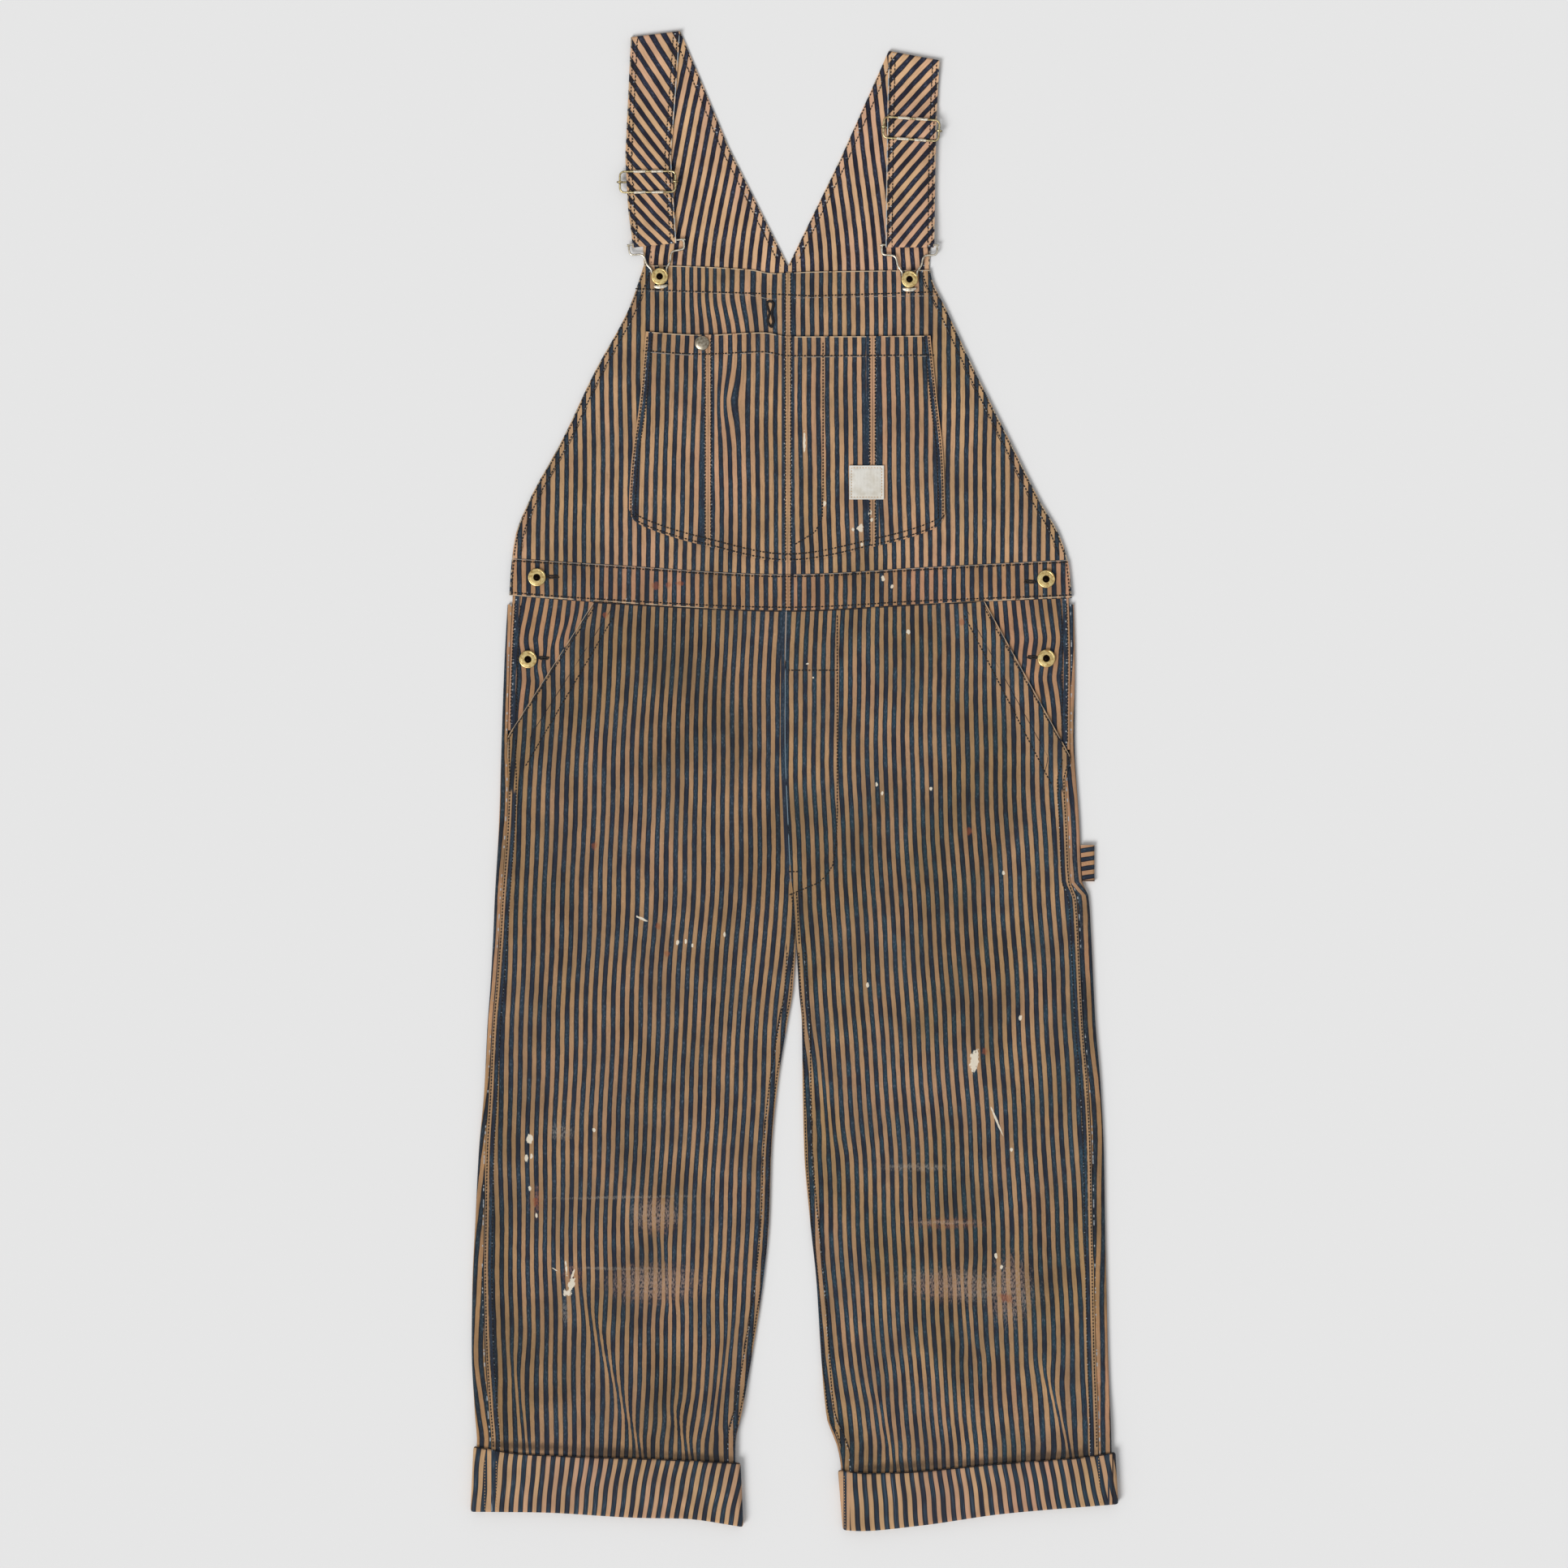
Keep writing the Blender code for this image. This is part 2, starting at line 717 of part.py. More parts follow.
def strap_path(side):
    """Middle line of the cloth as (table, down, z, lean), lean being the normal's angle from +Z."""
    back, strap = back_spans(side), STRAPS[side]
    slider = down_at(strap, SLIDERS[side].y)
    bar = turned_about(strap_middle_x(side) - HOOKS[side].x, HOOK_BAR_Y, HOOKS[side])
    hook = down_at(strap, bar[1])
    wire_top, wire_turn = STRAP_OVER_BAR, WIRE + GAP + CLOTH / 2
    path = [(back, row.down, CLOTH / 2, math.pi) for row in reversed(back) if row.down > 0]
    path += [(back, down, CLOTH / 2, math.pi) for down in (120.0, 50.0)]
    crown = SHOULDER_RADIUS + CLOTH / 2
    for step in range(2 * ARC_STEPS + 1):
        angle = math.pi - math.pi * step / (2 * ARC_STEPS)
        table = back if angle > math.pi / 2 else strap
        down = crown - SHOULDER_RADIUS * math.sin(angle)
        path.append((table, down, CLOTH / 2 + SHOULDER_RADIUS * (1 + math.cos(angle)), angle))
    stops = [
        (SHOULDER_EASE, STRAP_LOW),
        (slider - 22, STRAP_LOW),
        (slider - 11.5, STRAP_UNDER_FRAME),
        (slider - 8.5, STRAP_UNDER_FRAME),
        (slider - 2, wire_top),
        (slider + 2, wire_top),
        (slider + 8.5, STRAP_UNDER_FRAME),
        (slider + 11.5, STRAP_UNDER_FRAME),
        (0.5 * (slider + hook) + 6, STRAP_DOUBLE),
        (hook - 7, wire_top - 0.3),
    ]
    path += [(strap, down, z, 0.0) for down, z in stops]
    for step in range(2 * ARC_STEPS + 1):
        angle = math.pi * step / (2 * ARC_STEPS)
        path.append((strap, hook + wire_turn * math.sin(angle), BAR_Z + wire_turn * math.cos(angle), -angle))
    path += [(strap, down, STRAP_LOW, -math.pi) for down in (0.5 * (slider + hook), slider - 2.5)]
    return path


def add_back_strap(side):
    """High back half and its strap in one piece, round the hook and back up to the slider."""
    outer, inner = [], []
    for table, down, z, lean in strap_path(side):
        faces = []
        for reach in (CLOTH / 2, -CLOTH / 2):
            shift = reach * math.sin(lean)
            (out_x, out_y), (in_x, in_y) = span_ends(table, down - shift)
            height = z + reach * math.cos(lean)
            faces.append([
                (out_x + (in_x - out_x) * part, out_y + (in_y - out_y) * part, height) for part in shares(3)
            ])
        outer.append(faces[0])
        inner.append(faces[1])
    add_wall("back_strap_" + side, outer, inner, denim("back_strap"))


def add_cuff(side):
    """Turned-up cuff: a flat ring of rolled cloth round the leg's end."""
    cuff = CUFFS[side]
    turn = outward(side)
    hollow = 2 * CLOTH + 3 * GAP
    radius = CUFF_WALL + hollow / 2
    outer, inner = [], []
    for part, roll in ((0, CUFF_ROLL), (0.06, 0), (0.5, 0), (0.94, 0), (1, CUFF_ROLL)):
        ends = [cuff.out_bottom + (cuff.out_top - cuff.out_bottom) * part,
                cuff.in_bottom + (cuff.in_top - cuff.in_bottom) * part]
        centres = [ends[0] - turn * radius, ends[1] + turn * radius]
        for line, reach in ((outer, radius), (inner, radius - CUFF_WALL)):
            inset = roll if line is outer else 0
            ring = []
            for piece in shares(6):
                x = centres[0] + (centres[1] - centres[0]) * piece
                ring.append((x, radius - reach))
            for step in range(1, ARC_STEPS):
                angle = -math.pi / 2 + math.pi * step / ARC_STEPS
                x = centres[1] - turn * (reach - inset) * math.cos(angle)
                ring.append((x, radius + reach * math.sin(angle)))
            for piece in shares(8):
                x = centres[1] + (centres[0] - centres[1]) * piece
                ring.append((x, radius + reach - inset))
            for step in range(1, ARC_STEPS):
                angle = math.pi / 2 - math.pi * step / ARC_STEPS
                x = centres[0] + turn * (reach - inset) * math.cos(angle)
                ring.append((x, radius + reach * math.sin(angle)))
            line.append([
                (x, along(cuff.bottom, "x", x, "y") * (1 - part) + along(cuff.top, "x", x, "y") * part, z)
                for x, z in ring
            ])
    add_wall("cuff_" + side, outer, inner, denim("cuff"), wrap=True)


def add_hammer_loop():
    """Strip of cloth folded out from the left outseam and back."""
    radius = LOOP_HEIGHT / 2
    outer, inner = [], []
    for y in (LOOP_BOTTOM, 0.5 * (LOOP_BOTTOM + LOOP_TOP), LOOP_TOP):
        start = outline_x("left", y) + GAP
        centre = max(outline_x("left", LOOP_BOTTOM), start) + LOOP_REACH - radius
        lines = []
        for reach in (radius, radius - CLOTH):
            line = [(start, y, radius - reach), (0.5 * (start + centre), y, radius - reach)]
            for step in range(ARC_STEPS + 1):
                angle = -math.pi / 2 + math.pi * step / ARC_STEPS
                line.append((centre + reach * math.cos(angle), y, radius + reach * math.sin(angle)))
            line += [(0.5 * (start + centre), y, radius + reach), (start, y, radius + reach)]
            lines.append(line)
        outer.append(lines[0])
        inner.append(lines[1])
    add_wall("hammer_loop", outer, inner, denim("hammer_loop"))


def add_slider(side):
    """Bent wire frame over the strap, and the bar that the strap passes over."""
    place = SLIDERS[side]
    steel = finish("brass_plated_steel", (0.52, 0.42, 0.26), 0.35, METAL)
    half_width, half_height = FRAME_WIDTH / 2, FRAME_HEIGHT / 2
    path = []
    for corner in range(4):
        signs = ((1, 1), (-1, 1), (-1, -1), (1, -1))[corner]
        for step in shares(3):
            angle = math.pi / 2 * (corner + step)
            x = signs[0] * (half_width - FRAME_CORNER) + FRAME_CORNER * math.cos(angle)
            y = signs[1] * (half_height - FRAME_CORNER) + FRAME_CORNER * math.sin(angle)
            path.append((*turned_about(x, y, place), FRAME_Z))
    add_wire("slider_frame_" + side, path, (0, 0, 1), steel, closed=True)
    tilt = math.radians(place.tilt)
    forward = (-math.sin(tilt), math.cos(tilt), 0)
    reach = []
    for step in range(7):
        angle = math.radians(-90 + 40 * step)
        reach.append((half_width + CURL_RADIUS * math.cos(angle), FRAME_Z + CURL_RADIUS * math.sin(angle)))
    bar = [(-x, z) for x, z in reversed(reach)] + reach
    path = [(*turned_about(x, 0.0, place), z) for x, z in bar]
    add_wire("slider_bar_" + side, path, forward, steel)


def add_hook(side):
    """Wire hook through the strap's end and round the bib button's shank, with its clip plate."""
    place = HOOKS[side]
    steel = finish("bright_steel_wire", (0.60, 0.57, 0.50), 0.3, METAL)
    half = [(point.x, point.y) for point in HOOK_HALF]
    path = half + [(0.0, HOOK_LOW)] + [(-x, y) for x, y in reversed(half)]
    points = [(*turned_about(x, y, place), BAR_Z) for x, y in path]
    add_wire("hook_" + side, points, (0, 0, 1), steel, closed=True)
    shoulder = CLIP_TOP - CLIP_SHOULDER
    outline = [(-CLIP_HALF_WIDTH, CLIP_TOP)]
    for step in shares(6):
        angle = math.pi + math.pi * step
        x = CLIP_HALF_WIDTH * math.cos(angle)
        outline.append((x, shoulder + (shoulder - CLIP_BOTTOM) * math.sin(angle)))
    outline.append((CLIP_HALF_WIDTH, CLIP_TOP))
    low = [(*turned_about(x, y, place), BAR_Z - CLIP_PLATE / 2) for x, y in outline]
    high = [(x, y, z + CLIP_PLATE) for x, y, z in low]
    count = len(outline)
    faces = [list(range(count)), list(range(count, 2 * count))]
    faces += [[step, (step + 1) % count, count + (step + 1) % count, count + step] for step in range(count)]
    add_object("hook_clip_" + side, low + high, faces, steel)


def add_button(button, seat):
    """Ring-shaped brass button on its shank."""
    edge, base = button.radius, button.shank
    profile = [
        (0, 0), (SHANK_RADIUS, 0), (SHANK_RADIUS, base), (edge - 0.7, base), (edge, base + 0.6),
        (edge, base + 1.2), (edge - 0.9, base + 1.9), (0.5 * edge, base + 1.8), (0.36 * edge, base + 1.3),
        (0.33 * edge, base + 0.5), (0, base + 0.5),
    ]
    brass = finish("brass", (0.56, 0.42, 0.20), 0.35, METAL)
    add_turned(button.name, profile, (button.x, button.y, seat + GAP), BUTTON_SIDES, brass)


def add_buttons():
    """Bib buttons in their hooks, waist buttons, and the pocket's snap."""
    bib_top = BIB_Z + CLOTH
    for side, hook in HOOKS.items():
        add_button(Button("bib_button_" + side, hook.x, hook.y, BIB_BUTTON_RADIUS, BIB_SHANK), bib_top)
    for button in WAIST_BUTTONS:
        side = "right" if button.x < 0 else "left"
        if "upper" in button.name:
            seat = BIB_Z + BAND
        else:
            seat = CLOTH + max(
                front_height(side, button.x + reach, button.y) for reach in (-SHANK_RADIUS, SHANK_RADIUS)
            )
        add_button(button, seat)
    dome = [
        (0, 0), (SNAP_RADIUS - 0.5, 0), (SNAP_RADIUS, 0.5), (SNAP_RADIUS - 0.6, 1.3),
        (0.62 * SNAP_RADIUS, 2.1), (0.3 * SNAP_RADIUS, 2.5), (0, 2.6),
    ]
    nickel = finish("nickel", (0.58, 0.55, 0.50), 0.3, METAL)
    add_turned("pocket_snap", dome, (*SNAP, POCKET_Z + CLOTH + GAP), BUTTON_SIDES, nickel)


def add_label():
    """Plain woven label on the pocket."""
    x, y, width, length = LABEL
    add_panel(
        "label", (lambda _: x, lambda _: x + width, lambda _: y, lambda _: y + length), shares(2), shares(2),
        level(POCKET_Z + CLOTH + GAP), LABEL_CLOTH,
        finish("label_cotton", (0.62, 0.58, 0.52), 0.85),
    )


def main():
    """Build every piece."""
    clear_scene()
    for side in ("right", "left"):
        add_front_leg(side)
        add_back_leg(side)
        add_hip_facing(side)
        add_waistband(side)
        add_bib(side)
        add_back_strap(side)
        add_cuff(side)
        add_slider(side)
        add_hook(side)
    add_bib_pocket()
    add_buttons()
    add_label()
    add_hammer_loop()


main()
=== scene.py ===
"""Looks of a worn bib overall in hickory-striped denim, laid flat on its back and seen from above.

Lengths are in millimetres until a mesh is made, where METRES turns them to metres. "right" and "left" are
the wearer's, so the right side is at -X. The tables of edges are those of the solids, and each shell of
cloth lies on the form of the solid that it stands for.
"""

import logging
import math
from collections.abc import Callable, Sequence
from dataclasses import dataclass, field
from enum import Enum
from typing import NamedTuple

import bmesh
import bpy
import numpy as np
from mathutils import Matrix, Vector
from mathutils.bvhtree import BVHTree


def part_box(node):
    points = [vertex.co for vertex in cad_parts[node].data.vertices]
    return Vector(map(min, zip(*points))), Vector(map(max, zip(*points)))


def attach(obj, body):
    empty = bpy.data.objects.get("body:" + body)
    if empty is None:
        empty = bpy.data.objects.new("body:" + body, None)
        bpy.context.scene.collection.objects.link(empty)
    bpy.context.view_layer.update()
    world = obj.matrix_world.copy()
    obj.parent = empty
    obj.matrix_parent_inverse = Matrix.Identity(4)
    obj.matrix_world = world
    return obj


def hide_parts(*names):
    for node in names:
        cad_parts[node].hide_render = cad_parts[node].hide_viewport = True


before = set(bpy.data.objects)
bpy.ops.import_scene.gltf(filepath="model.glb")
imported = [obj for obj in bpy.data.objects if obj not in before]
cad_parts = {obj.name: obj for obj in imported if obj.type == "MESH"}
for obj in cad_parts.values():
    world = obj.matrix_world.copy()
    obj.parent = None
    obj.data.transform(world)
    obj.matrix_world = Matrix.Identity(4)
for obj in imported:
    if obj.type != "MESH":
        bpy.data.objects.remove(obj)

LOG = logging.getLogger("bib_overall")
METRES = 0.001
MILLIMETRES = 1000.0
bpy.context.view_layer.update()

# Cloth and clearances of the solids
CLOTH = 1.2
BAND = 1.8
GAP = 0.3
LABEL_CLOTH = 1.0
CUFF_WALL = 2.8
BIB_Z = CLOTH + GAP
POCKET_Z = BIB_Z + CLOTH + GAP
CENTRE_SEAM = -5.6
BACK_WAIST = 160.3
BACK_INSET = 3.0
PILLOW = 32.0
FRONT_LEAD = 14.0
MOUTH_LIFT = 1.8
MOUTH_FLAT = 10.0
MOUTH_FADE = 26.0
UNDERLAP = 7.0
CUFF_CLEAR_Y = -594.0
FOLD_FADE = 26.0
CUFF_MIDDLE_Y = -650.0
HEM_INSET = 1.0
SHOULDER_RADIUS = 1.5
SHOULDER_EASE = 24.0
WIRE = 0.9
STRAP_LOW = GAP + 1.5 * CLOTH
STRAP_DOUBLE = STRAP_LOW + CLOTH + GAP
BAR_Z = 2 * CLOTH + 2 * GAP + WIRE
STRAP_OVER_BAR = BAR_Z + WIRE + GAP + CLOTH / 2
STRAP_UNDER_FRAME = STRAP_OVER_BAR - 1.5
FRAME_Z = STRAP_UNDER_FRAME + CLOTH / 2 + GAP + WIRE
HOOK_BAR_Y = 31.5
HOOK_LOW = -6.4

# Distance from one dark stripe of the cloth to the next
PITCH = 8.3

# Rows of stitches on the legs: distances from the seams in front and behind, and the height of their low ends
ROWS_FRONT = (1.6, 7.4)
ROWS_BACK = (2.0, 7.4)
ROWS_LOW = -606

# A worn line whose end lies beyond this height runs the whole length of its piece
NO_END = 900


class Side(Enum):
    """Wearer's side of the garment."""

    RIGHT = "right"
    LEFT = "left"

    @property
    def turn(self) -> float:
        """Direction of this side along X."""
        return -1.0 if self is Side.RIGHT else 1.0


class Held(Enum):
    """How a piece of cloth lies."""

    LAID = "laid"
    FOLDED = "folded"


@dataclass(frozen=True)
class Track:
    """Smooth line through a table's values that never overshoots them."""

    keys: tuple[float, ...]
    values: tuple[float, ...]

    def __call__(self, at: np.ndarray | float) -> np.ndarray:
        """Read the line.

        Args:
            at: Places along the keys.

        Returns:
            The value at each place, held level past both ends.
        """
        keys, values = np.array(self.keys), np.array(self.values)
        spans = np.diff(keys)
        rises = np.diff(values) / spans
        slopes = np.concatenate(([rises[0]], np.zeros(len(keys) - 2), [rises[-1]]))
        before, after = rises[:-1], rises[1:]
        same = before * after > 0
        total = np.where(same, before + after, 1.0)
        slopes[1:-1] = np.where(same, 2 * before * after / total, 0.0)
        at = np.clip(np.asarray(at, dtype=float), keys[0], keys[-1])
        spot = np.clip(np.searchsorted(keys, at, side="right") - 1, 0, len(keys) - 2)
        part = (at - keys[spot]) / spans[spot]
        start = (1 + 2 * part) * (1 - part) ** 2 * values[spot]
        end = part * part * (3 - 2 * part) * values[spot + 1]
        lean = part * (1 - part) ** 2 * slopes[spot] - part * part * (1 - part) * slopes[spot + 1]
        return start + end + lean * spans[spot]


def track(*points: tuple[float, float]) -> Track:
    """Track through points of (key, value)."""
    ordered = sorted(points)
    return Track(tuple(key for key, _ in ordered), tuple(value for _, value in ordered))


# Outline of the two legs from waist to hem: y, then x at the right's outer and inner and the left's inner
# and outer side
LEGS = (
    (172, -260.5, -6.2, -5.9, 254.5),
    (110, -264.0, -7.4, -7.1, 256.0),
    (40, -266.5, -7.8, -7.5, 255.5),
    (-40, -269.0, -5.0, -4.7, 260.0),
    (-92, -272.0, -2.4, -2.1, 262.5),
    (-106, -272.8, -0.6, -0.3, 268.3),
    (-140, -274.2, 1.3, 1.6, 270.6),
    (-190, -277.0, -1.2, 4.2, 273.0),
    (-221, -279.4, -6.3, 7.0, 274.6),
    (-280, -282.3, -15.5, 7.8, 279.4),
    (-340, -287.5, -20.9, 9.3, 282.3),
    (-400, -290.5, -22.9, 14.4, 283.3),
    (-458, -293.2, -28.5, 20.4, 284.6),
    (-517, -293.9, -37.4, 24.1, 286.0),
    (-576, -291.0, -47.7, 29.2, 288.2),
    (-602, -289.0, -53.6, 40.2, 289.0),
    (-622, -289.1, -53.6, 43.8, 289.3),
    (-690, -291.2, -50.9, 49.2, 291.6),
)
OUTER = {
    Side.RIGHT: track(*((row[0], row[1]) for row in LEGS)),
    Side.LEFT: track(*((row[0], row[4]) for row in LEGS)),
}
INNER = {
    Side.RIGHT: track(*((row[0], row[2]) for row in LEGS)),
    Side.LEFT: track(*((row[0], row[3]) for row in LEGS)),
}
RISE = track((172, 2.9), (40, 3.6), (-100, 4.4), (-500, 4.4), (-548, 4.0), (-598, 2.7), (-690, 2.7))
LIFT = track((172, 0.0), (-500, 0.0), (-548, 0.3), (-598, 3.1), (-690, 3.1))
OUTSEAM = {
    Side.RIGHT: track((172, 4.0), (22, 5.5), (-4, 7.0), (-250, 4.0), (-400, 8.0), (-576, 13.0), (-690, 13.0)),
    Side.LEFT: track(
        (172, 4.0), (22, 4.0), (-4, 10.4), (-250, 11.0), (-400, 11.0), (-576, 11.5), (-690, 12.0)
    ),
}
WAIST_SEAM = track((-262, 168.8), (-176, 162.4), (-5, 155.0), (120, 161.0), (256, 166.4))
BIB_SEAM = track((-262, 202.8), (-176, 197.2), (-5, 188.0), (120, 194.4), (256, 201.5))
BIB_TOP = track((-140, 469.6), (-102, 468.8), (-40, 465.5), (-19, 462.1), (16, 463.6), (126, 465.2))
BIB_SIDE = {
    Side.RIGHT: track(
        (150, -260.6), (194, -257.9), (223, -253.9), (253, -242.3), (312, -210.5), (371, -182.4),
        (430, -150.6), (458, -140.6), (472, -136.2),
    ),
    Side.LEFT: track(
        (150, 254.6), (194, 250.5), (223, 241.6), (253, 224.6), (312, 195.0), (371, 165.4),
        (430, 138.0), (458, 125.2), (472, 123.0),
    ),
}


class Mouth(NamedTuple):
    """Slanted pocket mouth, from the waistband down to the outseam."""

    top_x: float
    top_y: float
    end_x: float
    end_y: float


MOUTHS = {Side.RIGHT: Mouth(-183.2, 162.0, -261.4, 39.6), Side.LEFT: Mouth(173.5, 163.0, 251.6, 22.0)}
POCKET_SEAMS = (-78.5, CENTRE_SEAM, 71.4)
POCKET_TOP = track((-150, 410.0), (-83, 405.9), (-28, 408.1), (-5, 404.4), (140, 405.2))
POCKET_BOTTOM = track(
    (-151, 249.0), (-147, 238.0), (-135, 230.5), (-83, 214.2), (-6, 199.1), (75, 213.5), (125, 228.3),
    (134, 235.0), (138, 244.5),
)
POCKET_SIDE = {
    Side.RIGHT: track((410, -135.1), (344, -141.0), (289, -148.4), (250, -150.6), (200, -149.0)),
    Side.LEFT: track((410, 123.6), (344, 130.6), (289, 136.2), (250, 137.3), (200, 136.0)),
}


class Fold(NamedTuple):
    """Soft ridge of cloth from one point to another, or a trough where its height is below zero."""

    x0: float
    y0: float
    x1: float
    y1: float
    width: float
    height: float


FOLDS = {
    Side.RIGHT: (
        Fold(-120, 100, -104, -60, 22, 1.2),
        Fold(-214, 0, -236, -205, 20, 1.6),
        Fold(-64, -60, -104, -300, 22, 1.8),
        Fold(-150, -150, -205, -360, 20, 1.6),
        Fold(-178, -430, -120, -578, 15, 2.6),
        Fold(-236, -480, -214, -580, 13, 2.2),
        Fold(-92, -500, -80, -580, 12, 2.0),
    ),
    Side.LEFT: (
        Fold(95, 60, 110, -120, 20, 1.4),
        Fold(150, -20, 170, -260, 22, 2.0),
        Fold(216, -40, 226, -250, 18, 1.8),
        Fold(44, -190, 56, -400, 18, 1.9),
        Fold(124, -430, 152, -580, 16, 2.2),
        Fold(224, -470, 250, -580, 13, 2.6),
        Fold(64, -500, 82, -580, 12, 2.0),
    ),
}
# Narrower creases of each front leg
CREASES = {
    Side.RIGHT: (
        Fold(-242, 108, -196, 86, 6, 0.7),
        Fold(-246, 104, -226, 44, 6, 0.8),
        Fold(-238, 112, -205, 130, 5, 0.6),
        Fold(-30, 40, -52, -70, 8, 0.6),
        Fold(-196, -461, -139, -602, 5, 1.0),
        Fold(-186, -470, -128, -606, 5, -0.9),
        Fold(-257, -518, -242, -606, 5, 0.9),
        Fold(-249, -524, -234, -604, 4, -0.8),
        Fold(-111, -575, -92, -612, 4, 0.9),
        Fold(-160, -560, -176, -606, 5, 0.7),
        Fold(-128, -326, -60, -352, 8, 0.6),
        Fold(-210, -330, -140, -352, 8, 0.5),
        Fold(-198, -384, -110, -376, 9, 0.5),
        Fold(-196, -436, -100, -462, 9, 0.6),
        Fold(-40, -235, -110, -262, 7, 0.6),
    ),
    Side.LEFT: (
        Fold(230, 108, 196, 84, 6, 0.7),
        Fold(232, 104, 214, 40, 6, 0.8),
        Fold(226, 114, 200, 134, 5, 0.6),
        Fold(229, -538, 253, -613, 4, 1.2),
        Fold(222, -538, 244, -612, 4, -1.0),
        Fold(16, -214, 38, -324, 7, 0.9),
        Fold(28, -214, 50, -300, 6, -0.6),
        Fold(90, -30, 140, -150, 9, 0.7),
        Fold(170, -60, 200, -210, 9, 0.7),
        Fold(205, -120, 238, -250, 8, 0.6),
        Fold(88, -350, 136, -356, 8, 0.5),
        Fold(113, -403, 163, -407, 7, 0.5),
        Fold(103, -448, 215, -486, 9, 0.6),
        Fold(60, -560, 52, -612, 5, 0.8),
        Fold(150, -570, 138, -612, 5, 0.7),
    ),
}


class CuffSize(NamedTuple):
    """Outline of a turned-up cuff."""

    out_top: float
    out_bottom: float
    in_top: float
    in_bottom: float
    top: Track
    bottom: Track


CUFFS = {
    Side.RIGHT: CuffSize(
        -292.2, -294.9, -48.8, -46.2,
        track((-295, -606.2), (-242, -613.8), (-121, -618.3), (-46, -622.0)),
        track((-295, -666.0), (-234, -666.6), (-140, -671.6), (-102, -672.3), (-46, -680.0)),
    ),
    Side.LEFT: CuffSize(
        292.7, 295.4, 39.8, 44.2,
        track((38, -628.2), (71, -630.9), (200, -621.2), (253, -617.5), (296, -611.6)),
        track((38, -682.0), (60, -683.6), (112, -679.0), (191, -667.9), (296, -659.0)),
    ),
}


class Span(NamedTuple):
    """Outer and inner edge of the high back or a strap, a way below the shoulder fold."""

    down: float
    out_x: float
    out_y: float
    in_x: float
    in_y: float


BACKS = {
    Side.RIGHT: (Span(0, -148.7, 677.5, -104.0, 683.0), Span(211, -136.8, 468.5, CENTRE_SEAM - 0.2, 469.0)),
    Side.LEFT: (Span(0, 132.5, 656.4, 86.2, 664.9), Span(193, 123.2, 466.5, CENTRE_SEAM + 0.2, 469.0)),
}
STRAPS = {
    Side.RIGHT: (
        Span(0, -148.7, 677.5, -104.0, 683.0),
        Span(60, -151.5, 619.0, -108.2, 622.0),
        Span(112, -153.9, 568.3, -112.3, 568.7),
        Span(160, -151.2, 519.0, -109.4, 520.6),
        Span(186, -147.6, 492.6, -107.8, 496.8),
        Span(200, -146.5, 478.6, -107.0, 482.8),
    ),
    Side.LEFT: (
        Span(0, 132.5, 656.4, 86.2, 664.9),
        Span(45, 130.2, 612.3, 85.0, 615.5),
        Span(90, 128.8, 567.8, 84.3, 570.9),
        Span(164, 127.8, 496.8, 83.4, 496.8),
        Span(184, 127.6, 476.8, 83.2, 476.8),
    ),
}


class Place(NamedTuple):
    """Where a piece of wire hardware lies, and its tilt in degrees."""

    x: float
    y: float
    tilt: float


SLIDERS = {Side.RIGHT: Place(-133.4, 545.1, 0.5), Side.LEFT: Place(106.7, 593.2, -4.0)}
HOOKS = {Side.RIGHT: Place(-122.5, 459.0, 6.0), Side.LEFT: Place(105.1, 456.4, 0.0)}

# Outward shift of a leg's stripes on the way down, near its outer side, in its middle and near its inner side
class Pinch(NamedTuple):
    """Sharp crease from x0, y0 to x1, y1 that hides some millimetres of cloth within its width."""

    x0: float
    y0: float
    x1: float
    y1: float
    width: float
    hidden: float

    def pinched(self, x: np.ndarray, y: np.ndarray) -> np.ndarray:
        """How far the stripes at each place are drawn towards the crease."""
        run, drop = self.x1 - self.x0, self.y1 - self.y0
        length = math.hypot(run, drop)
        along = ((x - self.x0) * run + (y - self.y0) * drop) / length ** 2
        away = ((y - self.y0) * run - (x - self.x0) * drop) / length
        fade = eased(along * 2.5) * eased((1.15 - along) * 4)
        return self.hidden * np.tanh(away / self.width) * np.exp(-((away / 24) ** 2)) * fade


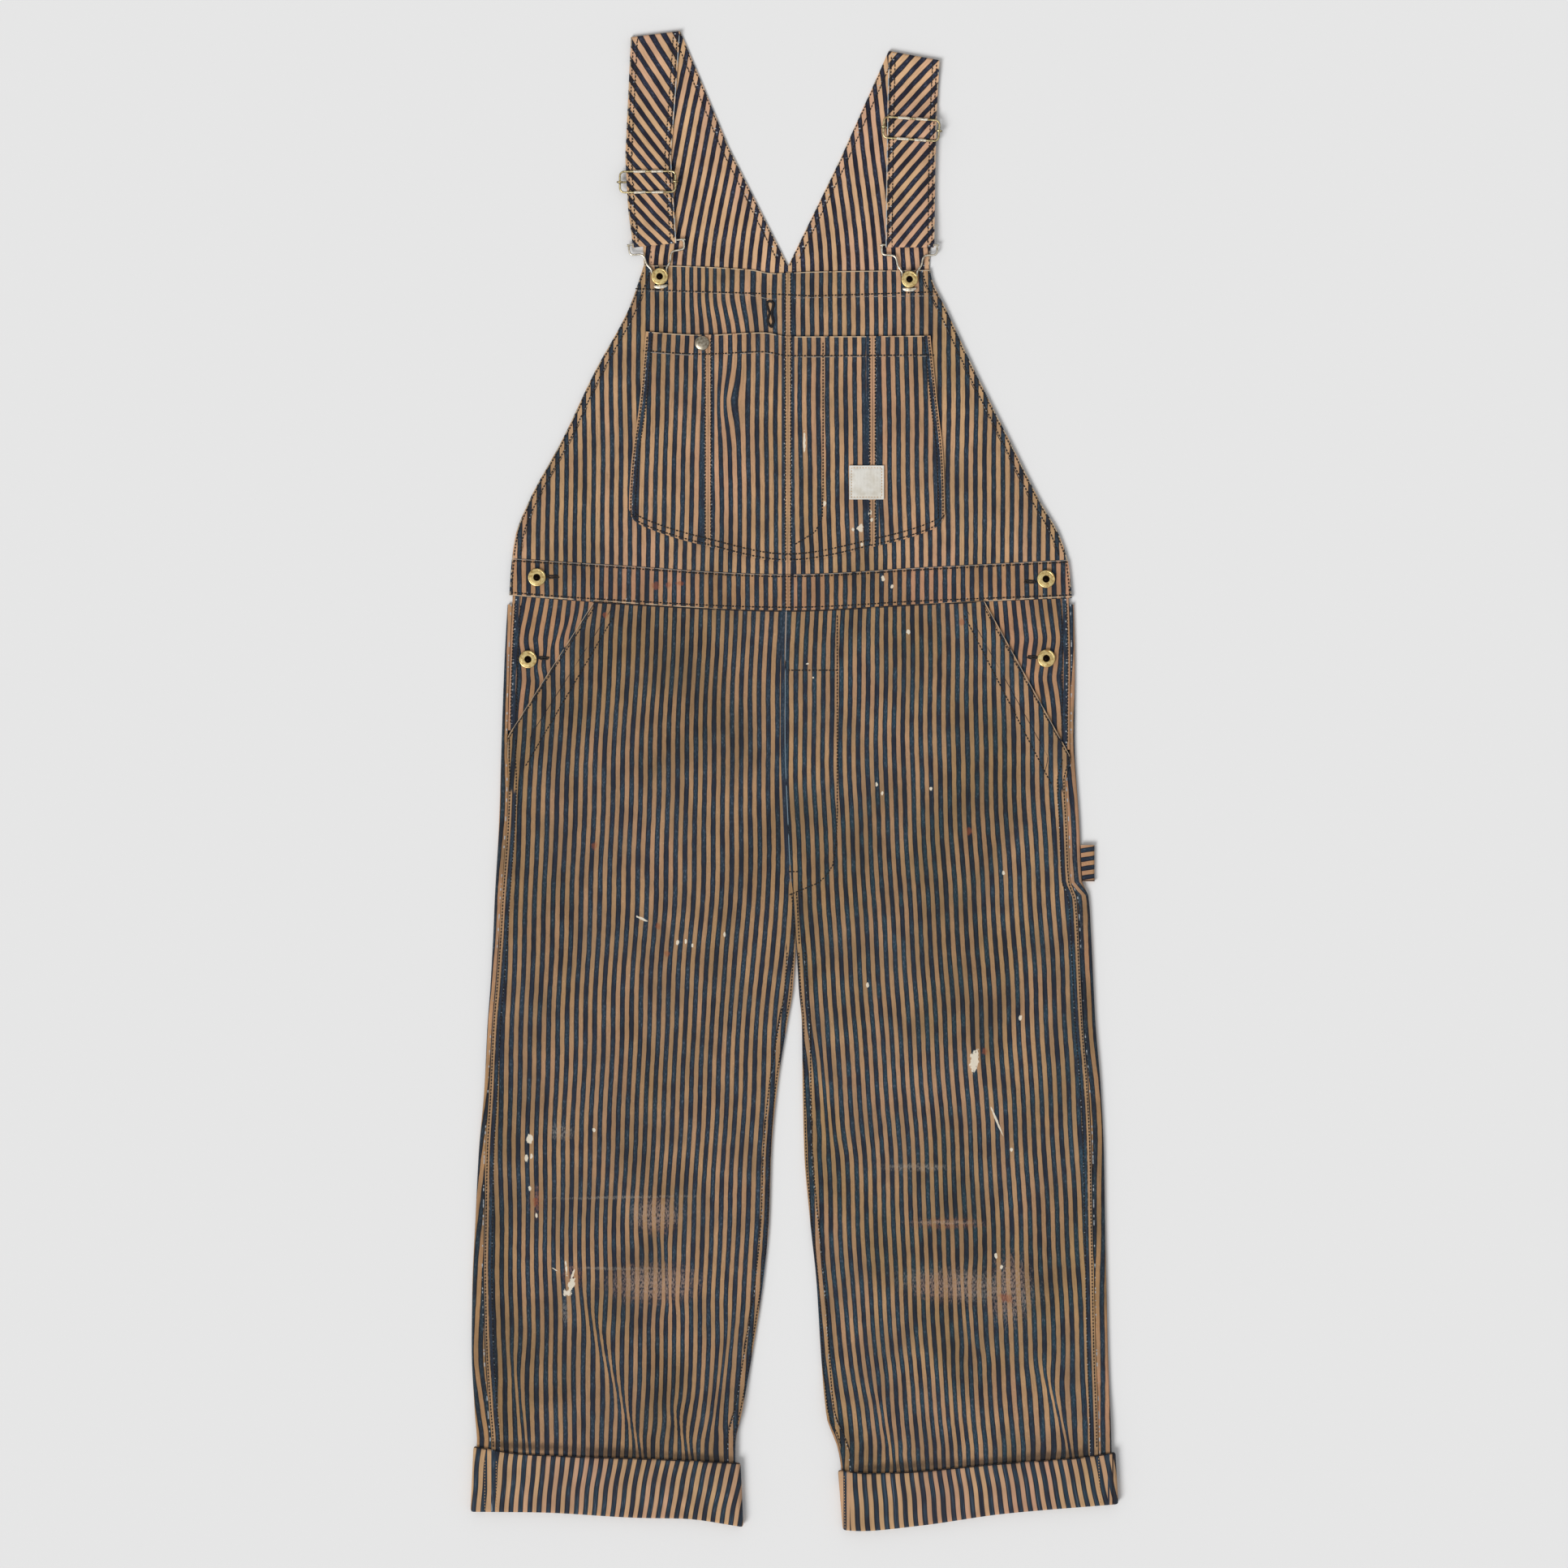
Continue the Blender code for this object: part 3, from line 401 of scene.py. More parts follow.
PINCHES = {
    Side.RIGHT: (
        Pinch(-203, -440, -136, -622, 3.4, 3.4), Pinch(-262, -500, -240, -622, 3.0, 2.6),
        Pinch(-116, -560, -90, -625, 3.0, 2.8), Pinch(-53, -470, -74, -590, 3.2, 2.2),
        Pinch(-126, -395, -112, -480, 3.2, 1.8), Pinch(-190, 160, -240, 100, 4.0, 1.6),
    ),
    Side.LEFT: (
        Pinch(222, -520, 254, -618, 2.6, 3.4), Pinch(70, -540, 92, -625, 3.4, 2.0),
        Pinch(150, -430, 162, -520, 3.6, 1.8), Pinch(20, -215, 34, -330, 3.6, 1.8),
    ),
}
SHIFTS = {
    Side.RIGHT: (
        track(
            (172, -4), (134, 1.5), (8, 8.8), (-102, 12.5), (-213, 17.6), (-324, 19), (-435, 19), (-546, 16.5),
            (-606, 15.5)
        ),
        track(
            (172, -1), (134, 0.7), (8, 8.8), (-102, 10.4), (-213, 17), (-324, 20.5), (-435, 24.2), (-606, 19)
        ),
        track(
            (172, 5), (134, 6), (8, 8.2), (-102, 8.4), (-213, 17.7), (-324, 24), (-435, 27.8), (-546, 35),
            (-606, 38)
        ),
    ),
    Side.LEFT: (
        track(
            (172, -1.5), (134, 0.6), (8, 5.2), (-102, 11.2), (-213, 16.7), (-324, 24), (-435, 28.6),
            (-606, 39)
        ),
        track(
            (172, 2), (134, 2), (8, 3.8), (-102, 7.8), (-213, 15.7), (-324, 22.7), (-435, 26.7), (-546, 32),
            (-606, 36)
        ),
        track(
            (172, 7), (134, 6.2), (8, 5), (-102, 8.8), (-213, 17.2), (-324, 24.6), (-435, 30.6), (-606, 47)
        ),
    ),
}


def eased(value: np.ndarray | float) -> np.ndarray:
    """Smooth step from 0 to 1."""
    value = np.clip(value, 0.0, 1.0)
    return value * value * (3 - 2 * value)


def segment_distance(x: np.ndarray, y: np.ndarray, x0: float, y0: float, x1: float, y1: float) -> np.ndarray:
    """Distance from points to a line's segment."""
    dx, dy = x1 - x0, y1 - y0
    part = np.clip(((x - x0) * dx + (y - y0) * dy) / (dx * dx + dy * dy), 0.0, 1.0)
    return np.hypot(x - x0 - part * dx, y - y0 - part * dy)


def fold_height(folds: Sequence[Fold], x: np.ndarray, y: np.ndarray) -> np.ndarray:
    """Sum of soft ridges and troughs.

    Args:
        folds: The ridges and troughs.
        x: Places along X.
        y: Places along Y.

    Returns:
        The height that they add at each place.
    """
    total = np.zeros(np.broadcast(x, y).shape)
    for fold in folds:
        away = segment_distance(x, y, fold.x0, fold.y0, fold.x1, fold.y1)
        total = total + fold.height * np.exp(-((away / fold.width) ** 2))
    return total


def seam_x(side: Side, y: np.ndarray | float) -> np.ndarray:
    """x of the outseam."""
    return OUTER[side](y) - side.turn * OUTSEAM[side](y)


def front_height(side: Side, x: np.ndarray, y: np.ndarray) -> np.ndarray:
    """Height of the underside of the front of a leg, with its folds.

    Args:
        side: Which leg.
        x: Places along X.
        y: Places along Y.

    Returns:
        The height at each place.
    """
    base = LIFT(y - FRONT_LEAD) + CLOTH + GAP
    inside = np.abs(OUTER[side](y) - x) - OUTSEAM[side](y)
    pillow = eased(1 - inside / PILLOW)
    folds = fold_height(FOLDS[side] + CREASES[side], x, y)
    raised = np.maximum(folds, 0.0) * (1 - pillow) * eased((y - CUFF_CLEAR_Y) / FOLD_FADE)
    return base + (RISE(y) - 2 * CLOTH - GAP) * pillow + raised


def leg_height(side: Side, x: np.ndarray, y: np.ndarray) -> np.ndarray:
    """Height of the front leg's underside, lifted along the pocket mouth."""
    mouth = MOUTHS[side]
    away = segment_distance(x, y, *mouth)
    return front_height(side, x, y) + MOUTH_LIFT * eased(1 - (away - MOUTH_FLAT) / MOUTH_FADE)


def fractions(width: float, step: float, fine: float = 1.2, reach: float = 11.0) -> np.ndarray:
    """Columns of a panel, close together near its two edges, where its seams are.

    Args:
        width: Width of the panel.
        step: Distance between columns away from the edges.
        fine: Distance between columns near the edges.
        reach: How far in the close columns go.

    Returns:
        Fractions of the width from 0 to 1.
    """
    edge = np.arange(0.0, reach, fine)
    count = max(2, round((width - 2 * reach) / step))
    middle = np.linspace(reach, width - reach, count + 1)
    return np.concatenate((edge, middle, width - edge[::-1])) / width


def linear(colour: str) -> tuple[float, float, float, float]:
    """Linear colour of an sRGB hex value.

    Args:
        colour: Six hex digits after a hash sign.

    Returns:
        Red, green, blue and alpha.
    """
    parts = [int(colour[start:start + 2], 16) / 255 for start in (1, 3, 5)]
    red, green, blue = (
        part / 12.92 if part <= 0.04045 else ((part + 0.055) / 1.055) ** 2.4 for part in parts
    )
    return red, green, blue, 1.0


def add_node(
    tree: bpy.types.NodeTree, kind: str, inputs: dict[int | str, object] | None = None, **settings: object
) -> bpy.types.Node:
    """Add a node with its settings, its values and its links.

    Args:
        tree: Tree that gets the node.
        kind: Type of the node.
        inputs: Value or linked socket for each input.
        settings: Properties of the node.

    Returns:
        The node.
    """
    node = tree.nodes.new(kind)
    for key, value in settings.items():
        setattr(node, key, value)
    for key, value in (inputs or {}).items():
        if isinstance(value, bpy.types.NodeSocket):
            tree.links.new(value, node.inputs[key])
        else:
            node.inputs[key].default_value = value
    return node


def add_mesh(
    name: str, points: Sequence[Sequence[float]], faces: Sequence[Sequence[int]],
    material: bpy.types.Material,
    sharp: float = 50.0,
) -> bpy.types.Object:
    """Make an object of one closed mesh with its faces turned out.

    Args:
        name: Name of the piece.
        points: Points in millimetres.
        faces: Corners of each face.
        material: Its finish.
        sharp: Angle in degrees past which an edge is sharp.

    Returns:
        The object, at the origin.
    """
    mesh = bpy.data.meshes.new(name)
    mesh.from_pydata((np.asarray(points) * METRES).tolist(), [], faces)
    turn_out(mesh)
    mesh.shade_smooth()
    mesh.set_sharp_from_angle(angle=math.radians(sharp))
    mesh.materials.append(material)
    piece = bpy.data.objects.new(name, mesh)
    bpy.context.scene.collection.objects.link(piece)
    return piece


def turn_out(mesh: bpy.types.Mesh) -> None:
    """Turn the faces of a closed mesh out."""
    shape = bmesh.new()
    shape.from_mesh(mesh)
    bmesh.ops.recalc_face_normals(shape, faces=shape.faces)
    shape.to_mesh(mesh)
    shape.free()


@dataclass
class Cloth:
    """One cut and sewn piece: two grids of points that are its faces, with the cloth's own coordinates.

    stripe holds the way across and along the stripes, and edges the distances from the first side, the
    second side and the upper end, at each row and column.
    """

    node: str
    upper: np.ndarray
    lower: np.ndarray
    stripe: np.ndarray
    edges: np.ndarray
    cut: tuple[float, float]
    held: Held = Held.LAID
    rests_on: tuple[str, ...] = ()
    slot: str = "striped_denim"
    ring: bool = False

    def corners(self) -> tuple[np.ndarray, np.ndarray]:
        """List the faces.

        Returns:
            For each face's four corners the grid they are on, and their row and column.
        """
        rows, spans = self.upper.shape[0], self.stripe.shape[1] - 1
        row, column = (part.ravel() for part in np.mgrid[0:rows - 1, 0:spans])
        quads = np.stack(
            [
                np.stack(pair, 1) for pair in (
                    (row, column), (row, column + 1), (row + 1, column + 1), (row + 1, column)
                )
            ],
            1,
        )
        grids = [np.zeros(quads.shape[:2], int), np.ones(quads.shape[:2], int)]
        places = [quads, quads[:, ::-1]]
        step = np.arange(spans)
        for end in (0, rows - 1):
            places.append(np.stack(
                [np.stack((np.full(spans, end), part), 1) for part in (step, step, step + 1, step + 1)], 1
            ))
            grids.append(np.tile([0, 1, 1, 0], (spans, 1)))
        step = np.arange(rows - 1)
        for end in () if self.ring else (0, spans):
            places.append(np.stack(
                [np.stack((part, np.full(rows - 1, end)), 1) for part in (step, step + 1, step + 1, step)], 1
            ))
            grids.append(np.tile([0, 0, 1, 1], (rows - 1, 1)))
        return np.concatenate(grids), np.concatenate(places)

    def make(self, material: bpy.types.Material) -> bpy.types.Object:
        """Make the piece and replace its solid.

        Args:
            material: Its finish.

        Returns:
            The piece.
        """
        rows, columns = self.upper.shape[:2]
        grids, places = self.corners()
        corner = (grids * rows + places[..., 0]) * columns + places[..., 1] % columns
        mesh = bpy.data.meshes.new("cloth_" + self.node)
        points = np.concatenate((self.upper.reshape(-1, 3), self.lower.reshape(-1, 3))) * METRES
        mesh.from_pydata(points.tolist(), [], corner.tolist())
        layer = mesh.uv_layers.new(name="cloth")
        across = self.stripe[places[..., 0], places[..., 1]].reshape(-1, 2) * METRES
        layer.data.foreach_set("uv", across.astype(np.float32).ravel())
        edges = mesh.attributes.new("edges", "FLOAT_VECTOR", "POINT")
        flat = self.edges[:, :columns].reshape(-1, 3) * METRES
        edges.data.foreach_set("vector", np.concatenate((flat, flat)).astype(np.float32).ravel())
        turn_out(mesh)
        mesh.shade_smooth()
        mesh.set_sharp_from_angle(angle=math.radians(60))
        mesh.materials.append(material)
        piece = bpy.data.objects.new(mesh.name, mesh)
        bpy.context.scene.collection.objects.link(piece)
        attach(piece, "root")
        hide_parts(self.node)
        middle = 0.5 * (self.upper + self.lower)
        if self.ring:
            middle = np.concatenate((middle, middle[:, :1]), axis=1)
        return piece


def panel_grid(
    side_0: Callable, side_1: Callable, end_0: Callable, end_1: Callable, across: np.ndarray,
    upward: np.ndarray
) -> tuple[np.ndarray, np.ndarray]:
    """Lay a grid between two side edges x(y) and two end edges y(x).

    Args:
        side_0: x of the first side.
        side_1: x of the second side.
        end_0: y of the lower end.
        end_1: y of the upper end.
        across: Fractions of the columns.
        upward: Fractions of the rows.

    Returns:
        x and y of each row and column.
    """
    u, v = np.meshgrid(across, upward)
    x = np.full(u.shape, 0.5 * (float(side_0(0.0)) + float(side_1(0.0))))
    y = np.zeros(u.shape)
    for _ in range(12):
        y = end_0(x) * (1 - v) + end_1(x) * v
        x = side_0(y) * (1 - u) + side_1(y) * u
    return x, y


def net_of(*parts: np.ndarray) -> np.ndarray:
    """Coordinates of a net of points, put side by side."""
    return np.stack(parts, axis=2)


def side_distances(
    x: np.ndarray, y: np.ndarray, side_0: Callable, side_1: Callable, end_1: Callable
) -> np.ndarray:
    """Distances from the first side, the second side and the upper end."""
    return np.stack((np.abs(x - side_0(y)), np.abs(x - side_1(y)), end_1(x) - y), axis=2)


def lapped(distance: np.ndarray, width: float, height: float) -> np.ndarray:
    """Height of the lap of a felled seam or a hem, width wide, at distances from an edge."""
    return height * eased((width - distance) / 1.6 + 0.5)


def waver(x: np.ndarray, y: np.ndarray, size: float) -> np.ndarray:
    """Slow wavering of the stripes, as cloth that was washed and laid by hand has."""
    return size * (np.sin(y / 41 + x / 83) + 0.6 * np.sin(y / 17.3 - x / 37 + 1.7))


@dataclass
class Leg:
    """Front and back of one leg, and the facing behind its pocket mouth."""

    side: Side
    step: float = 4.6
    front_cut: tuple[float, float] = (0.298, 0.850)
    back_cut: tuple[float, float] = (0.330, 0.850)
    facing_cut: tuple[float, float] = (0.090, 0.125)
    seam_width: float = 9.5

    def outer(self, y: np.ndarray | float) -> np.ndarray:
        """x of the front leg's outer edge: the outseam, and the pocket mouth above it."""
        mouth = MOUTHS[self.side]
        part = (np.asarray(y) - mouth.end_y) / (mouth.top_y - mouth.end_y)
        slant = mouth.end_x + part * (mouth.top_x - mouth.end_x)
        return np.where(np.asarray(y) > mouth.end_y, slant, seam_x(self.side, y) - self.side.turn * GAP)

    def facing_edge(self, y: np.ndarray | float) -> np.ndarray:
        """x of the facing's outer edge."""
        return seam_x(self.side, y) - self.side.turn * 2 * GAP

    def hem(self, x: np.ndarray | float) -> np.ndarray:
        """y of the hem, inside the cuff."""
        return CUFFS[self.side].bottom(x) + HEM_INSET

    def waist(self, x: np.ndarray | float) -> np.ndarray:
        """y of the upper edge, below the waistband."""
        return WAIST_SEAM(x) - GAP

    def stripe(self, x: np.ndarray, y: np.ndarray) -> np.ndarray:
        """Way across and along the stripes, which lean outward on the way down.

        Args:
            x: Places along X.
            y: Places along Y.

        Returns:
            Both ways at each place.
        """
        width = np.abs(INNER[self.side](y) - OUTER[self.side](y))
        across = np.abs(x - OUTER[self.side](y)) / width
        near_outer, middle, near_inner = (shift(y) for shift in SHIFTS[self.side])
        shift = near_outer + (middle - near_outer) * np.clip((across - 0.1) / 0.4, 0, 1)
        shift = shift + (near_inner - middle) * np.clip((across - 0.5) / 0.4, 0, 1)
        pinched = sum(fold.pinched(x, y) for fold in PINCHES[self.side])
        return net_of(x - self.side.turn * shift + pinched + waver(x, y, 0.7), y)

    def front(self) -> Cloth:
        """Lay out the front of the leg.

        Returns:
            Its cloth.
        """
        height = 172.0 - float(self.hem(OUTER[self.side](CUFF_MIDDLE_Y)))
        x, y = panel_grid(
            self.outer, INNER[self.side], self.hem, self.waist,
            fractions(262.0, self.step), np.linspace(0, 1, round(height / self.step)),
        )
        edges = side_distances(x, y, self.outer, INNER[self.side], self.waist)
        z = leg_height(self.side, x, y)
        below_mouth = eased((MOUTHS[self.side].end_y - y) / 10)
        lap = lapped(edges[..., 0], self.seam_width, 0.7) * below_mouth
        crotch = eased((-150.0 - y) / 20)
        lap = lap + lapped(np.abs(edges[..., 1] - 7.0), 3.5, 0.6) * crotch
        lap = lap + lapped(edges[..., 2], 7.0, 0.3)
        upper = net_of(x, y, z + CLOTH + lap)
        return Cloth(
            "front_leg_" + self.side.value, upper, net_of(x, y, z), self.stripe(x, y), edges,
            self.front_cut, rests_on=("back_leg_" + self.side.value,),
        )

    def back(self) -> Cloth:
        """Lay out the back of the leg, folded over its outer edge to the outseam.

        Returns:
            Its cloth.
        """
        side, turn = self.side, self.side.turn
        hem = float(self.hem(OUTER[side](CUFF_MIDDLE_Y)))
        y = np.linspace(hem, BACK_WAIST, round((BACK_WAIST - hem) / (1.3 * self.step)))[:, None]
        radius, lift = RISE(y) / 2, LIFT(y)
        centre, inseam = OUTER[side](y) - turn * radius, INNER[side](y)
        part = fractions(262.0, 1.3 * self.step)[None, :]
        x = inseam + (centre - inseam) * part
        slant = (self.hem(x) - hem) * np.clip(1 - (y - hem) / 90, 0, 1)
        crease = 0.5 * np.maximum(fold_height(FOLDS[side] + CREASES[side], x, y), 0.0)
        crease = crease * eased((np.abs(x - OUTER[side](y)) - 40) / 30) * eased((y + 560) / 30)
        low = net_of(x, y + slant, lift + crease)
        high = low + np.array([0.0, 0.0, CLOTH])
        angle = np.linspace(-math.pi / 2, math.pi / 2, 9)[None, 1:]
        edge_y = np.broadcast_to(y + slant[:, -1:], (len(y), angle.shape[1]))
        rounds = [
            np.stack((
                centre + turn * reach * np.cos(angle), edge_y, lift + radius + reach * np.sin(angle)
            ), axis=2)
            for reach in (radius, radius - CLOTH)
        ]
        end_x = seam_x(side, y)
        ends = [
            net_of(end_x, y + slant[:, -1:], lift + 2 * radius - depth) for depth in (0.0, CLOTH)
        ]
        lower = np.concatenate((low, rounds[0], ends[0]), axis=1)
        upper = np.concatenate((high, rounds[1], ends[1]), axis=1)
        way = np.concatenate((
            np.zeros((len(y), 1)), np.cumsum(np.linalg.norm(np.diff(lower, axis=1), axis=2), axis=1)
        ), axis=1)
        across = self.stripe(lower[..., 0], lower[..., 1])
        flat = part.shape[1]
        across[:, flat:, 0] = across[:, flat - 1:flat, 0] + turn * (way[:, flat:] - way[:, flat - 1:flat])
        edges = net_of(way, way[:, -1:] - way, BACK_WAIST - lower[..., 1])
        return Cloth(
            "back_leg_" + side.value, upper, lower, across, edges, self.back_cut, held=Held.FOLDED,
        )

    def facing(self) -> Cloth:
        """Lay out the facing behind the pocket mouth.

        Returns:
            Its cloth.
        """
        mouth, side = MOUTHS[self.side], self.side

        def outer(y: np.ndarray | float) -> np.ndarray:
            """x at the outseam."""
            return seam_x(side, y) - side.turn * 2 * GAP

        def inner(y: np.ndarray | float) -> np.ndarray:
            """x below the front leg's slanted edge."""
            part = (y - mouth.end_y) / (mouth.top_y - mouth.end_y)
            return mouth.end_x + part * (mouth.top_x - mouth.end_x) - side.turn * UNDERLAP

        def tip(x: np.ndarray | float) -> np.ndarray:
            """y of the lower end."""
            return np.full(np.shape(x), mouth.end_y + 6)

        x, y = panel_grid(outer, inner, tip, self.waist, np.linspace(0, 1, 22), np.linspace(0, 1, 36))
        edges = side_distances(x, y, outer, inner, self.waist)
        z = front_height(side, x, y)
        lap = lapped(edges[..., 0], 6.0, 0.4)
        stripe = self.stripe(x, y)
        button = next(place for place in WAIST_BUTTONS if place.side is side and not place.upper)
        away = np.hypot(x - button.x, y - button.y)
        pull = 5.0 * np.exp(-((away / 34) ** 2)) * np.sign(button.y - y) * eased(np.abs(button.y - y) / 22)
        stripe[..., 0] += side.turn * pull * 0.8
        return Cloth(
            "hip_facing_" + side.value, net_of(x, y, z + CLOTH + lap), net_of(x, y, z),
            stripe, edges, self.facing_cut, rests_on=("back_leg_" + side.value,),
        )


class ButtonPlace(NamedTuple):
    """Where a brass ring button sits."""

    name: str
    side: Side
    x: float
    y: float
    radius: float
    shank: float
    upper: bool


WAIST_BUTTONS = (
    ButtonPlace("waist_button_upper_right", Side.RIGHT, -234.4, 184.9, 8.1, 0.6, True),
    ButtonPlace("waist_button_lower_right", Side.RIGHT, -242.5, 110.2, 8.1, 0.6, False),
    ButtonPlace("waist_button_upper_left", Side.LEFT, 229.5, 183.4, 8.1, 0.6, True),
    ButtonPlace("waist_button_lower_left", Side.LEFT, 229.8, 111.1, 8.1, 0.6, False),
)
# Small soft creases of the bib and its pocket
BIB_FOLDS = (
    Fold(-60, 372, -50, 326, 7, 0.6),
    Fold(-30, 300, -58, 250, 9, 0.4),
    Fold(20, 360, 34, 290, 9, 0.4),
    Fold(96, 330, 110, 270, 8, 0.4),
    Fold(-120, 300, -104, 246, 8, 0.4),
    Fold(-190, 300, -168, 236, 10, 0.8),
    Fold(168, 300, 176, 230, 10, 0.8),
)


def bent_aside(x: np.ndarray, y: np.ndarray) -> np.ndarray:
    """How far the bib's stripes bend to the right: a slant above the pocket, and a kink beside the snap."""
    slant = 7.0 * np.exp(-(((x + 60) / 32) ** 2)) * eased((y - 404) / 42)
    return slant + 5.5 * np.exp(-(((x + 59) / 10) ** 2) - ((y - 345) / 24) ** 2)


@dataclass
class Bib:
    """Both halves of the bib and of the front waistband below it."""

    step: float = 4.4
    bib_cut: tuple[float, float] = (0.262, 0.285)
    band_cut: tuple[float, float] = (0.262, 0.046)

    def stripe(self, x: np.ndarray, y: np.ndarray) -> np.ndarray:
        """Way across and along the stripes."""
        return net_of(x + bent_aside(x, y) + waver(x, y, 0.45), y)

    def half(self, side: Side) -> Cloth:
        """Lay out one half of the bib.

        Args:
            side: Which half.

        Returns:
            Its cloth.
        """
        edge, seam = BIB_SIDE[side], lambda y: CENTRE_SEAM + side.turn * GAP / 2
        width = abs(float(edge(200.0)) - CENTRE_SEAM)
        x, y = panel_grid(
            edge, seam, BIB_SEAM, BIB_TOP, fractions(width, self.step),
            np.linspace(0, 1, round(280 / self.step)),
        )
        edges = side_distances(x, y, edge, seam, BIB_TOP)
        z = BIB_Z + fold_height(BIB_FOLDS, x, y)
        lap = lapped(edges[..., 0], 9.0, 0.35) + lapped(edges[..., 1], 5.0, 0.25)
        return Cloth(
            "bib_" + side.value, net_of(x, y, z + CLOTH + lap - 0.35), net_of(x, y, z),
            self.stripe(x, y), edges, self.bib_cut, rests_on=("back_strap_" + side.value,),
        )

    def band(self, side: Side) -> Cloth:
        """Lay out one half of the waistband, which is two layers thick.

        Args:
            side: Which half.

        Returns:
            Its cloth.
        """
        edge, seam = BIB_SIDE[side], lambda y: CENTRE_SEAM + side.turn * GAP / 2

        def top(x: np.ndarray | float) -> np.ndarray:
            """y of the upper edge."""
            return BIB_SEAM(x) - GAP

        width = abs(float(edge(180.0)) - CENTRE_SEAM)
        x, y = panel_grid(edge, seam, WAIST_SEAM, top, fractions(width, self.step), np.linspace(0, 1, 16))
        edges = side_distances(x, y, edge, seam, top)
        ease = np.minimum(edges[..., 2], y - WAIST_SEAM(x))
        z = np.full(x.shape, BIB_Z)
        ripple = 0.25 * eased(ease / 5) * np.sin(x / 21 + 0.6 * np.sin(x / 9))
        rise = BAND + ripple - 0.3 * (1 - eased(ease / 1.6))
        stripe = net_of(x - 1.2 + 1.3 * side.turn + waver(x, y, 0.3), y)
        return Cloth(
            "waistband_" + side.value, net_of(x, y, z + rise), net_of(x, y, z),
            stripe, edges, self.band_cut, rests_on=("back_strap_" + side.value,),
        )


@dataclass
class BibPocket:
    """Four panels of the bib pocket, and the plain label on it."""

    step: float = 4.4
    outer_cut: tuple[float, float] = (0.076, 0.200)
    inner_cut: tuple[float, float] = (0.080, 0.212)
    label: tuple[float, float, float, float] = (50.2, 255.9, 31.6, 30.8)
    shifts: tuple[float, float, float, float] = (3.0, 1.0, 2.7, 4.5)
    leans: tuple[float, float, float, float] = (-0.034, 0.0, 0.014, 0.021)

    def panels(self) -> list[Cloth]:
        """Lay out the four panels.

        Returns:
            Their cloth, from the wearer's right to the left.
        """
        first, centre, last = POCKET_SEAMS
        names = ("outer_right", "inner_right", "inner_left", "outer_left")
        spans = (
            (POCKET_SIDE[Side.RIGHT], first - GAP / 2), (first + GAP / 2, centre - GAP / 2),
            (centre + GAP / 2, last - GAP / 2), (last + GAP / 2, POCKET_SIDE[Side.LEFT]),
        )
        made = []
        for name, span, shift, lean in zip(names, spans, self.shifts, self.leans):
            side_0, side_1 = (
                edge if callable(edge) else (lambda y, at=edge: np.full(np.shape(y), at)) for edge in span
            )
            width = abs(float(side_1(300.0)) - float(side_0(300.0)))
            x, y = panel_grid(
                side_0, side_1, POCKET_BOTTOM, POCKET_TOP,
                fractions(width, self.step), np.linspace(0, 1, round(205 / self.step)),
            )
            edges = side_distances(x, y, side_0, side_1, POCKET_TOP)
            z = POCKET_Z + fold_height(BIB_FOLDS, x, y)
            left_lap = 0 if name.startswith("outer_left") or name.startswith("inner") else 1
            lap = lapped(edges[..., left_lap], 5.5, 0.35) + lapped(edges[..., 2], 6.0, 0.25)
            lap = lap + lapped(y - POCKET_BOTTOM(x), 7.0, 0.3)
            across = x + shift + lean * (y - 270) + bent_aside(x, y) + waver(x + 30, y, 0.45)
            stripe = net_of(across, y)
            cut = self.outer_cut if name.startswith("outer") else self.inner_cut
            made.append(Cloth(
                "bib_pocket_" + name, net_of(x, y, z + CLOTH + lap - 0.3), net_of(x, y, z),
                stripe, edges, cut, rests_on=("bib_" + name.split("_")[1],),
            ))
        return made

    def plain_label(self) -> Cloth:
        """Lay out the plain label, a little puckered at its stitched edge.

        Returns:
            Its cloth.
        """
        left, low, width, length = self.label
        x, y = np.meshgrid(left + width * np.linspace(0, 1, 33), low + length * np.linspace(0, 1, 33))
        edges = net_of(x - left, left + width - x, low + length - y)
        inside = np.minimum(np.minimum(edges[..., 0], edges[..., 1]), np.minimum(edges[..., 2], y - low))
        z = np.full(x.shape, POCKET_Z + CLOTH + GAP)
        rise = LABEL_CLOTH - 0.35 * np.exp(-(((inside - 2.2) / 0.9) ** 2)) + 0.12 * np.sin(x / 3.1 + y / 7)
        return Cloth(
            "label", net_of(x, y, z + rise), net_of(x, y, z),
            net_of(x - left, y - low), edges, (0.0330, 0.0320), slot="label_cotton",
            rests_on=("bib_pocket_inner_left", "bib_pocket_outer_left"),
        )


class Stop(NamedTuple):
    """Place along the strip of back and strap: its table, way down, height and the normal's angle from +Z."""

    on_strap: bool
    down: float
    z: float
    lean: float


def placed(place: Place, x: float, y: float) -> tuple[float, float]:
    """Local point turned by a place's tilt and moved there."""
    angle = math.radians(place.tilt)
    return (
        place.x + x * math.cos(angle) - y * math.sin(angle),
        place.y + x * math.sin(angle) + y * math.cos(angle)
    )


